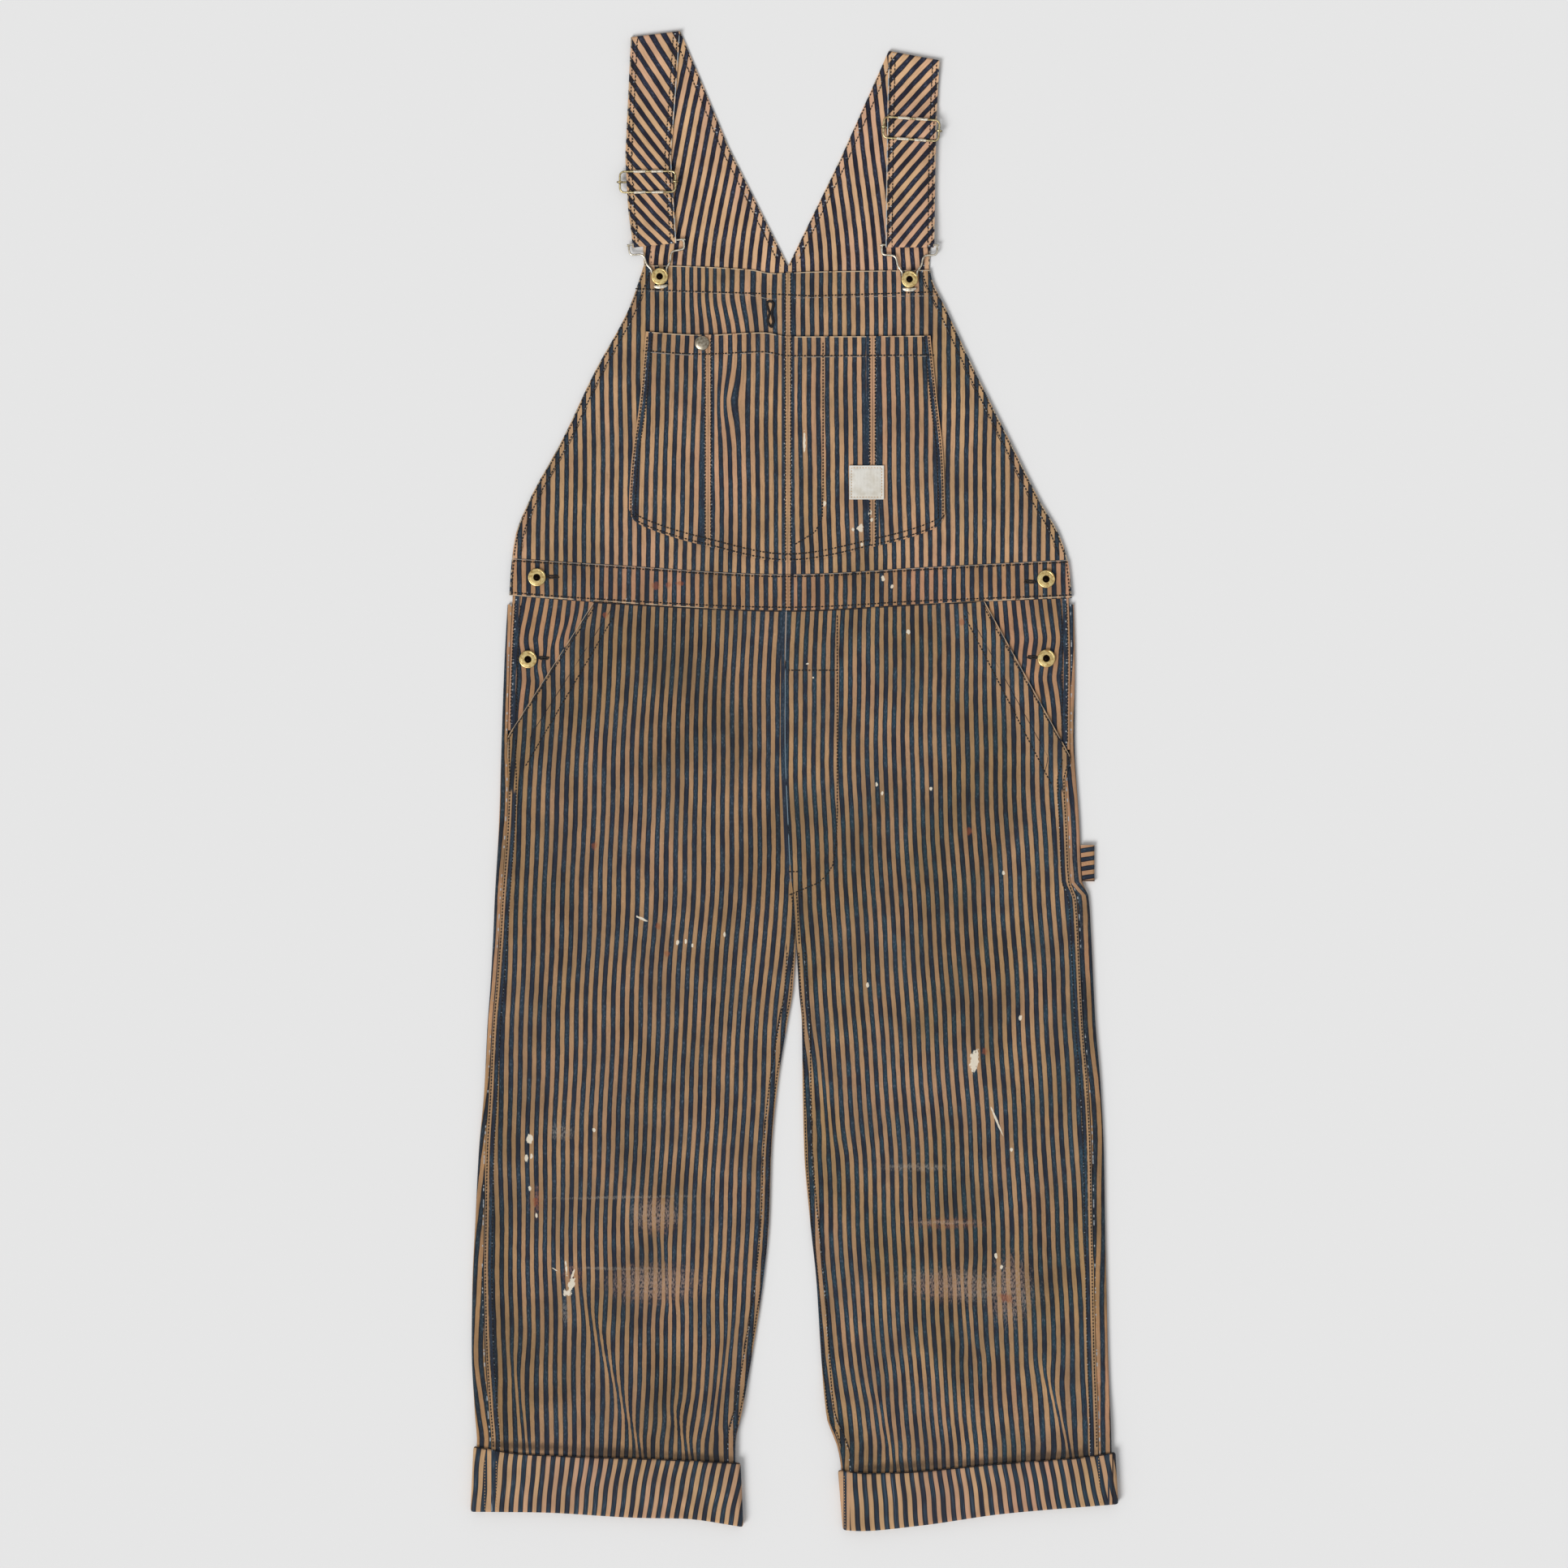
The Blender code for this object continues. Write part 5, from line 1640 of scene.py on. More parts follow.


# On the front legs the dark lines are painted shade: in the stitched grooves by the inseam and the pocket
# mouth, and below the waistband's edge
FRONT_LEG = felled(Edge.FIRST, high=-10.0) + (
    Wear(Edge.SECOND, 6.8, 0.35, CHALK, 0.3, 3.0, high=-150.0),
    Wear(Edge.SECOND, 8.2, 0.5, PAINTED_SHADE_LINE, 0.5, 30.0, high=-150.0),
    Wear(Edge.FIRST, 0.5, 0.2, "#a9967f", 0.75, 9.0, low=18.0),
    Wear(Edge.FIRST, 1.7, 0.35, PAINTED_SHADE_LINE, 0.6, 12.0, low=18.0),
    Wear(Edge.FIRST, 20.5, 0.3, PAINTED_SHADE_LINE, 0.7, 12.0, low=5.0),
    Wear(Edge.UPPER, 0.6, 0.5, PAINTED_SHADE_LINE, 0.85, 20.0),
)
# In this table every dark line beside a seam or edge is painted shade of grooves, stitch puckers and gaps
# under edges; the pale edge lines are partly wear and partly painted highlight
DENIMS = {
    "front_leg_right": StripedDenim(
        "washed_denim_right_leg", tan="#a98561", pink="#a98365", phase=-231.3, dirt=0.6,
        wear=FRONT_LEG + (
            Wear(Edge.SECOND, 3.0, 1.7, Yarn.INDIGO, 1.0, low=-92.0),
            Wear(Edge.SECOND, 0.5, 0.22, "#7f93a0", 0.8, 18.0, low=-92.0),
        ),
        paint=stains(
            (835, 1161, 1.2, 2.2), (845, 1160, 1.0, 1.8), (853, 1165, 1.0, 1.6), (893, 1151, 1.0, 2.0),
            (791, 1132, 5.5, 1.0, -25, 0.7), (653, 1403, 3.0, 4.0), (649, 1427, 1.4, 3.4),
            (655, 1424, 1.2, 2.2),
            (653, 1464, 1.2, 2.2), (661, 1497, 1.3, 2.0), (732, 1392, 1.3, 1.9),
            (704, 1583, 2.6, 6.0, -14, 1.3), (698, 1592, 3.4, 2.6, 0, 1.4), (698, 1563, 0.9, 7.0, 6, 1.5),
            (706, 1570, 1.0, 4.0, -20, 1.4), (684, 1564, 3.2, 0.5, -30, 1.2),
        ),
        rust=stains(
            (746, 758, 2.2, 2.6), (733, 1042, 2.4, 3.4), (811, 1141, 2.2, 2.8), (822, 1175, 2.4, 3.2),
            (660, 1480, 2.4, 4.2),
        ),
        scuffs=stains(
            (770, 1475, 54, 1.2, 1), (806, 1496, 20, 11), (780, 1563, 48, 1.4, -1), (806, 1580, 32, 13),
            (697, 1616, 3.4, 9), (691, 1395, 10, 6),
        ),
        rosy=stains((810, 1499, 15, 13), (806, 1581, 34, 14), (706, 1572, 7, 9), (661, 1480, 5, 12)),
        # Painted shadow on the leg just above the cuff
        painted_shadow=stains(
            (648, 1781, 48, 3.4, -2.5, 0.5), (760, 1789, 44, 4.6, -3, 0.5), (862, 1795, 36, 3.4, -4, 0.5)
        ),
    ),
    "front_leg_left": StripedDenim(
        "washed_denim_left_leg", tan="#ae8a64", pink="#ab8567", teal="#223b49", phase=5.0, dirt=0.6,
        wear=FRONT_LEG,
        paint=stains(
            (1119, 779, 1.6, 2.0), (1080, 966, 1.2, 2.0), (1087, 977, 1.1, 1.6), (1147, 972, 1.2, 1.8),
            (1236, 1075, 1.2, 2.0), (1069, 1213, 1.2, 2.2), (1257, 1254, 1.3, 2.0),
            (1200, 1307, 3.6, 10.0, -8),
            (1228, 1381, 0.9, 13.5, 23, 0.6), (1246, 1416, 1.2, 1.8), (1227, 1547, 1.3, 2.4),
            (1234, 1561, 1.2, 2.0), (995, 818, 1.5, 0.9), (1002, 835, 0.9, 0.9),
        ),
        rust=stains(
            (1185, 767, 2.4, 3.0), (1194, 1024, 2.2, 3.0), (1213, 1295, 2.2, 3.0), (1239, 1599, 5.5, 3.6, -20)
        ),
        scuffs=stains(
            (1129, 1438, 26, 3), (1165, 1506, 27, 1.6), (1193, 1584, 50, 12, -5), (1246, 1590, 16, 24)
        ),
        rosy=stains((1166, 1507, 26, 4), (1168, 1584, 26, 11), (1244, 1588, 15, 24)),
        # Painted shadow on the leg just above the cuff
        painted_shadow=stains(
            (1108, 1806, 46, 4.4, 4, 0.5), (1218, 1800, 42, 3.2, 4, 0.5), (1296, 1793, 38, 4.2, 4, 0.5)
        ),
    ),
    "back_leg": StripedDenim(
        "washed_denim_back_leg", phase=3.0, dirt=0.6,
        wear=(
            Wear(Edge.FIRST, 0.8, 0.8, Yarn.TAN, 1.0), Wear(Edge.FIRST, 3.8, 2.0, Yarn.INDIGO, 1.0),
            Wear(Edge.FIRST, 2.8, 0.5, CHALK, 0.24, 2.4), Wear(Edge.SECOND, 0.8, 0.4, CHALK, 0.3, 4.0),
        ),
        scuffs=stains((740, 1100, 60, 70), (1220, 1110, 60, 70), (760, 1500, 40, 60)),
    ),
    "hip_facing": StripedDenim(
        "washed_denim_facing", phase=0.6, dirt=0.4,
        wear=(
            Wear(Edge.FIRST, 1.0, 1.0, Yarn.TAN, 1.0), Wear(Edge.FIRST, 4.0, 1.9, Yarn.INDIGO, 1.0),
            Wear(Edge.FIRST, 3.0, 0.6, CHALK, 0.3, 2.4), Wear(Edge.FIRST, 6.6, 0.35, PAINTED_SHADE_LINE, 0.7, 20.0),
        ),
    ),
    "waistband": StripedDenim(
        "washed_denim_waistband", phase=-3.6, dirt=0.4,
        wear=(
            Wear(Edge.UPPER, 0.4, 0.3, "#8a847d", 0.7, 5.0),
            Wear(Edge.UPPER, 33.4, 0.3, EDGE_WEAR_AND_HIGHLIGHT, 0.8, 9.0),
            Wear(Edge.UPPER, 30.4, 0.8, CHALK, 0.14, 2.6), Wear(Edge.SECOND, 1.0, 1.0, Yarn.TAN, 1.0),
            Wear(Edge.SECOND, 3.7, 1.5, Yarn.INDIGO, 1.0), Wear(Edge.FIRST, 0.8, 0.4, EDGE_WEAR_AND_HIGHLIGHT, 0.4, 4.0),
        ),
        paint=stains((1088, 713, 1.5, 2.2), (1099, 723, 1.4, 2.0)),
        rust=stains((808, 722, 3.0, 3.4), (824, 721, 2.2, 2.6), (838, 719, 3.4, 1.8)),
    ),
    "bib": StripedDenim(
        "washed_denim_bib", tan="#c29c74", pink="#c29778", phase=-0.5, dirt=0.4, share=0.52,
        wear=(
            Wear(Edge.UPPER, 0.5, 0.35, EDGE_WEAR_AND_HIGHLIGHT, 0.7, 8.0),
            Wear(Edge.FIRST, 0.6, 0.4, EDGE_WEAR_AND_HIGHLIGHT, 0.4, 4.0),
            Wear(Edge.UPPER, 23.6, 0.3, "#8a847d", 0.5, 4.0),
            Wear(Edge.FIRST, 7.4, 0.35, CHALK, 0.22, 2.4), Wear(Edge.FIRST, 8.4, 0.4, PAINTED_SHADE_LINE, 0.5, 14.0),
            Wear(Edge.SECOND, 1.0, 1.0, Yarn.TAN, 1.0), Wear(Edge.SECOND, 3.8, 1.6, Yarn.INDIGO, 1.0),
            Wear(Edge.SECOND, 2.8, 0.3, CHALK, 0.25, 2.0),
        ),
    ),
    "bib_pocket": StripedDenim(
        "washed_denim_bib_pocket", tan="#bf9871", pink="#be9374", phase=1.0, dirt=0.4, share=0.52,
        wear=(
            Wear(Edge.UPPER, 0.5, 0.35, EDGE_WEAR_AND_HIGHLIGHT, 0.7, 8.0),
            Wear(Edge.UPPER, 18.6, 0.3, "#8a847d", 0.6, 4.0), *(
                line for edge in (Edge.FIRST, Edge.SECOND) for line in (
                    Wear(edge, 1.3, 1.2, Yarn.TAN, 1.0), Wear(edge, 4.2, 1.5, Yarn.INDIGO, 1.0),
                    Wear(edge, 3.2, 0.3, CHALK, 0.26, 2.2),
                )
            ),
        ),
        paint=stains(
            (991, 545, 1.1, 9.0, 0, 0.8), (1016, 621, 1.5, 2.2), (1072, 632, 1.4, 2.4), (1074, 641, 1.3, 1.8),
            (1060, 651, 2.8, 3.4), (1051, 653, 1.2, 1.6), (1062, 671, 1.2, 2.0),
        ),
    ),
    "back_strap": StripedDenim(
        "washed_denim_straps", tan="#d5ad84", pink="#d2a588", shade="#b7916d", dark="#211f2e", teal="#24293b",
        fleck="#4c5266",
        dirt=0.2, share=0.51,
        wear=(
            Wear(Edge.FIRST, 0.5, 0.4, EDGE_WEAR_AND_HIGHLIGHT, 0.45, 7.0),
            Wear(Edge.UPPER, 0.4, 0.3, "#b3bdc2", 0.66, 9.0),
            Wear(Edge.UPPER, 1.7, 0.4, PAINTED_SHADE_LINE, 0.6, 16.0),
            Wear(Edge.SECOND, 0.4, 0.3, EDGE_WEAR_AND_HIGHLIGHT, 0.3, 4.0),
            Wear(Edge.FIRST, 4.6, 0.7, CHALK, 0.16, 2.0), Wear(Edge.FIRST, 6.2, 0.5, PAINTED_SHADE_LINE, 0.4, 2.6),
            Wear(Edge.SECOND, 4.4, 0.7, CHALK, 0.16, 2.0), Wear(Edge.SECOND, 6.0, 0.5, PAINTED_SHADE_LINE, 0.4, 2.6),
        ),
    ),
    "cuff_right": StripedDenim(
        "washed_denim_right_cuff", tan="#be9a73", pink="#bb9277", shade="#a48262", dark="#2a2e3a",
        phase=-246.2,
        dirt=0.25, wear=(
            Wear(Edge.UPPER, 0.4, 0.4, PAINTED_SHADE_LINE, 0.7, 20.0), Wear(Edge.FIRST, 14.5, 1.7, Yarn.TAN, 1.0),
            Wear(Edge.FIRST, 18.2, 1.7, Yarn.INDIGO, 1.0), Wear(Edge.FIRST, 17.0, 0.3, CHALK, 0.35, 2.4),
        ),
    ),
    "cuff_left": StripedDenim(
        "washed_denim_left_cuff", tan="#bd9972", pink="#ba9076", shade="#a48262", dark="#2a2e3a", phase=69.7,
        dirt=0.25, wear=(
            Wear(Edge.UPPER, 0.4, 0.4, PAINTED_SHADE_LINE, 0.7, 20.0), Wear(Edge.SECOND, 3.4, 1.5, Yarn.TAN, 1.0),
            Wear(Edge.SECOND, 6.2, 1.0, Yarn.INDIGO, 1.0), Wear(Edge.SECOND, 9.4, 1.4, Yarn.TAN, 1.0),
            Wear(Edge.FIRST, 6.4, 0.8, Yarn.INDIGO, 1.0), Wear(Edge.FIRST, 2.6, 0.6, PAINTED_SHADE_LINE, 0.8, 40.0),
        ),
    ),
    "hammer_loop": StripedDenim(
        "washed_denim_loop", phase=-64.0, dirt=0.2,
        wear=(Wear(Edge.FIRST, 0.8, 0.5, PAINTED_SHADE_LINE, 1.0), Wear(Edge.UPPER, 0.6, 0.4, EDGE_WEAR_AND_HIGHLIGHT, 0.5, 5.0)),
    ),
}


def denim_for(node: str) -> StripedDenim:
    """Finish of a cloth node: its own, or that of its kind."""
    return DENIMS[max((name for name in DENIMS if node.startswith(name)), key=len)]


@dataclass(frozen=True)
class LabelCotton:
    """Plain woven label cotton: off-white and matt, a little soiled, with a fine rib."""

    name: str = "woven_label_cotton"
    ground: str = "#dad7cf"
    soiled: str = "#c2bbad"

    def material(self) -> bpy.types.Material:
        """Make the material.

        Returns:
            The material.
        """
        made = bpy.data.materials.new(self.name)
        made.use_nodes = True
        tree = made.node_tree
        shader = tree.nodes["Principled BSDF"]
        shader.inputs["Roughness"].default_value = 0.9
        shader.inputs["Sheen Weight"].default_value = 0.1
        where = add_node(tree, "ShaderNodeTexCoord").outputs["Object"]
        place = add_node(
            tree, "ShaderNodeVectorMath", {0: where, "Scale": MILLIMETRES}, operation="SCALE"
        ).outputs[0]
        soil = add_node(tree, "ShaderNodeTexNoise", {"Vector": place, "Scale": 0.12, "Detail": 4.0})
        spread = add_node(tree, "ShaderNodeMapRange", {
            "Value": soil.outputs[0], "From Min": 0.42, "From Max": 0.72, "To Max": 0.8
        })
        ground = add_node(tree, "ShaderNodeMix", {
            0: spread.outputs[0], 6: linear(self.ground), 7: linear(self.soiled)
        }, data_type="RGBA")
        tree.links.new(ground.outputs[2], shader.inputs["Base Color"])
        rib = add_node(tree, "ShaderNodeTexWave", {"Vector": place, "Scale": 0.32, "Distortion": 0.6})
        bump = add_node(
            tree, "ShaderNodeBump", {"Height": rib.outputs[1], "Strength": 0.5, "Distance": 0.0002}
        )
        tree.links.new(bump.outputs[0], shader.inputs["Normal"])
        return made


@dataclass(frozen=True)
class Metal:
    """Small metal parts: bright where they are rubbed, dull and browner where tarnished, finely scratched,
    with painted shade on the sides of wires and in the recesses of buttons.
    """

    name: str
    bright: str
    dull: str
    roughness: float = 0.34
    # Colour of the painted shade on the sides of wires and in the recesses of ring buttons
    hollow: str = "#1c1511"

    def material(self) -> bpy.types.Material:
        """Make the material.

        Returns:
            The material.
        """
        made = bpy.data.materials.new(self.name)
        made.use_nodes = True
        tree = made.node_tree
        shader = tree.nodes["Principled BSDF"]
        shader.inputs["Metallic"].default_value = 1.0
        where = add_node(tree, "ShaderNodeTexCoord").outputs["Object"]
        tarnish = add_node(tree, "ShaderNodeTexNoise", {"Vector": where, "Scale": 420.0, "Detail": 5.0})
        spread = add_node(
            tree, "ShaderNodeMapRange", {"Value": tarnish.outputs[0], "From Min": 0.4, "From Max": 0.68}
        )
        mix = add_node(tree, "ShaderNodeMix", {
            0: spread.outputs[0], 6: linear(self.bright), 7: linear(self.dull)
        }, data_type="RGBA")
        # Painted shade: the hollow attribute darkens the sides of wires and the recesses of buttons towards
        # the hollow colour
        painted_shade_mask = add_node(tree, "ShaderNodeAttribute", attribute_name="hollow")
        dark = add_node(tree, "ShaderNodeMix", {
            0: painted_shade_mask.outputs["Fac"], 6: mix.outputs[2], 7: linear(self.hollow)
        }, data_type="RGBA")
        tree.links.new(dark.outputs[2], shader.inputs["Base Color"])
        rough = add_node(tree, "ShaderNodeMapRange", {
            "Value": tarnish.outputs[0], "To Min": self.roughness - 0.1, "To Max": self.roughness + 0.22
        })
        tree.links.new(rough.outputs[0], shader.inputs["Roughness"])
        fine = add_node(tree, "ShaderNodeTexNoise", {"Vector": where, "Scale": 1800.0, "Detail": 2.0})
        bump = add_node(
            tree, "ShaderNodeBump", {"Height": fine.outputs[0], "Strength": 0.25, "Distance": 0.0001}
        )
        tree.links.new(bump.outputs[0], shader.inputs["Normal"])
        return made


@dataclass(frozen=True)
class Thread:
    """Spun cotton sewing thread: matt, a little darker between its twists."""

    name: str
    colour: str

    def material(self) -> bpy.types.Material:
        """Make the material.

        Returns:
            The material.
        """
        made = bpy.data.materials.new(self.name)
        made.use_nodes = True
        tree = made.node_tree
        shader = tree.nodes["Principled BSDF"]
        shader.inputs["Roughness"].default_value = 0.8
        where = add_node(tree, "ShaderNodeTexCoord").outputs["Object"]
        fade = add_node(tree, "ShaderNodeTexNoise", {"Vector": where, "Scale": 160.0, "Detail": 3.0})
        level = add_node(
            tree, "ShaderNodeMapRange", {"Value": fade.outputs[0], "To Min": 0.7, "To Max": 1.35}
        )
        shade = add_node(tree, "ShaderNodeCombineColor", {at: level.outputs[0] for at in range(3)})
        mix = add_node(tree, "ShaderNodeMix", {
            0: 1.0, 6: linear(self.colour), 7: shade.outputs[0]
        }, data_type="RGBA", blend_type="MULTIPLY")
        tree.links.new(mix.outputs[2], shader.inputs["Base Color"])
        return made


class Surface:
    """The laid cloth, to find the height at which something on it lies."""

    def __init__(self, pieces: Sequence[bpy.types.Object]) -> None:
        """Gather the faces of all cloth pieces."""
        points, faces = [], []
        for piece in pieces:
            start = len(points)
            points += [vertex.co.copy() for vertex in piece.data.vertices]
            faces += [[start + corner for corner in face.vertices] for face in piece.data.polygons]
        self.tree = BVHTree.FromPolygons(points, faces)

    def height(self, x: float, y: float, below: bool) -> float:
        """Height of the cloth at a place.

        Args:
            x: Place along X in millimetres.
            y: Place along Y in millimetres.
            below: Whether the underside is meant.

        Returns:
            The height in millimetres.
        """
        start, way = ((x * METRES, y * METRES, -0.1 if below else 0.1), (0, 0, 1 if below else -1))
        found = self.tree.ray_cast(start, way)[0]
        return found.z / METRES if found else 0.0


class SeamLine(NamedTuple):
    """Row of stitches through points of x and y, on the front or on the underside."""

    points: Sequence[tuple[float, float]]
    below: bool = False


@dataclass
class Sewing:
    """Rows of stitches of one thread, set along paths by Geometry Nodes."""

    name: str
    thread: Thread
    lines: list[SeamLine]
    pitch: float = 3.0
    length: float = 2.9
    width: float = 0.95
    seed: int = 7

    @staticmethod
    def tree() -> bpy.types.NodeTree:
        """Node tree that sets stitches along edges; made once.

        Returns:
            The tree.
        """
        found = bpy.data.node_groups.get("stitches")
        if found:
            return found
        tree = bpy.data.node_groups.new("stitches", "GeometryNodeTree")
        face = tree.interface
        face.new_socket("Geometry", in_out="INPUT", socket_type="NodeSocketGeometry")
        for name in ("Stitch Pitch", "Stitch Length", "Stitch Width"):
            face.new_socket(name, in_out="INPUT", socket_type="NodeSocketFloat")
        face.new_socket("Seed", in_out="INPUT", socket_type="NodeSocketInt")
        face.new_socket("Thread", in_out="INPUT", socket_type="NodeSocketMaterial")
        face.new_socket("Geometry", in_out="OUTPUT", socket_type="NodeSocketGeometry")
        given = add_node(tree, "NodeGroupInput").outputs
        path = add_node(tree, "GeometryNodeMeshToCurve", {"Mesh": given["Geometry"]})
        spots = add_node(tree, "GeometryNodeCurveToPoints", {
            "Curve": path.outputs[0], "Length": given["Stitch Pitch"]
        }, mode="LENGTH")
        turn = add_node(
            tree, "FunctionNodeAlignRotationToVector", {"Vector": spots.outputs["Tangent"]}, axis="X"
        )
        stitch = add_node(tree, "GeometryNodeMeshIcoSphere", {"Radius": 0.5, "Subdivisions": 1})
        uneven = add_node(
            tree, "FunctionNodeRandomValue", {2: 0.8, 3: 1.12, "Seed": given["Seed"]}, data_type="FLOAT"
        )
        length = add_node(tree, "ShaderNodeMath", {
            0: given["Stitch Length"], 1: uneven.outputs[1]
        }, operation="MULTIPLY")
        depth = add_node(tree, "ShaderNodeMath", {0: given["Stitch Width"], 1: 0.7}, operation="MULTIPLY")
        size = add_node(tree, "ShaderNodeCombineXYZ", {
            0: length.outputs[0], 1: given["Stitch Width"], 2: depth.outputs[0]
        })
        row = add_node(tree, "GeometryNodeInstanceOnPoints", {
            "Points": spots.outputs["Points"], "Instance": stitch.outputs[0], "Rotation": turn.outputs[0],
            "Scale": size.outputs[0],
        })
        real = add_node(tree, "GeometryNodeRealizeInstances", {0: row.outputs[0]})
        dyed = add_node(
            tree, "GeometryNodeSetMaterial", {"Geometry": real.outputs[0], "Material": given["Thread"]}
        )
        add_node(tree, "NodeGroupOutput", {0: dyed.outputs[0]})
        return tree

    def sew(self, surface: Surface) -> bpy.types.Object:
        """Lay the rows on the cloth.

        Args:
            surface: The laid cloth.

        Returns:
            One plain mesh of all its stitches.
        """
        points, edges = [], []
        for line in self.lines:
            way = np.array(line.points, dtype=float)
            lengths = np.concatenate(([0], np.cumsum(np.linalg.norm(np.diff(way, axis=0), axis=1))))
            stops = np.linspace(0, lengths[-1], max(2, round(lengths[-1] / 2.4)))
            xs, ys = (np.interp(stops, lengths, way[:, at]) for at in (0, 1))
            start = len(points)
            lift = -0.1 if line.below else 0.1
            points += [
                (x * METRES, y * METRES, (surface.height(x, y, line.below) + lift) * METRES) for x,
                y in zip(xs, ys)
            ]
            edges += [(start + step, start + step + 1) for step in range(len(xs) - 1)]
        paths = bpy.data.meshes.new(self.name + "_paths")
        paths.from_pydata(points, edges, [])
        carrier = bpy.data.objects.new(self.name + "_paths", paths)
        bpy.context.scene.collection.objects.link(carrier)
        modifier = carrier.modifiers.new("stitches", "NODES")
        modifier.node_group = self.tree()
        material = self.thread.material()
        given = {
            "Stitch Pitch": self.pitch * METRES, "Stitch Length": self.length * METRES,
            "Stitch Width": self.width * METRES, "Seed": self.seed, "Thread": material,
        }
        for socket in modifier.node_group.interface.items_tree:
            if socket.in_out == "INPUT" and socket.name in given:
                modifier[socket.identifier] = given[socket.name]
        shaped = carrier.evaluated_get(bpy.context.evaluated_depsgraph_get())
        mesh = bpy.data.meshes.new_from_object(shaped)
        carrier.modifiers.clear()
        bpy.data.objects.remove(carrier)
        mesh.name = self.name
        mesh.shade_smooth()
        piece = bpy.data.objects.new(self.name, mesh)
        bpy.context.scene.collection.objects.link(piece)
        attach(piece, "root")
        LOG.info("%s: %d stitches' faces", self.name, len(mesh.polygons))
        return piece


def inset(side: Side, edge: Callable, distance: float, low: float, high: float) -> SeamLine:
    """Row along a side edge x(y), a distance in from it, from one y to another."""
    ys = np.linspace(low, high, 40)
    return SeamLine([(float(edge(y)) - side.turn * distance, float(y)) for y in ys])


def level_row(edge: Callable, rise: float, left: float, right: float) -> SeamLine:
    """Row along an end edge y(x), a rise above it, from one x to another."""
    xs = np.linspace(left, right, 60)
    return SeamLine([(float(x), float(edge(x)) + rise) for x in xs])


def from_photo(*pixels: tuple[float, float]) -> SeamLine:
    """Row through places given in the photograph's pixels."""
    return SeamLine([((column - 978.5) * 0.74, (961.5 - row) * 0.74) for column, row in pixels])


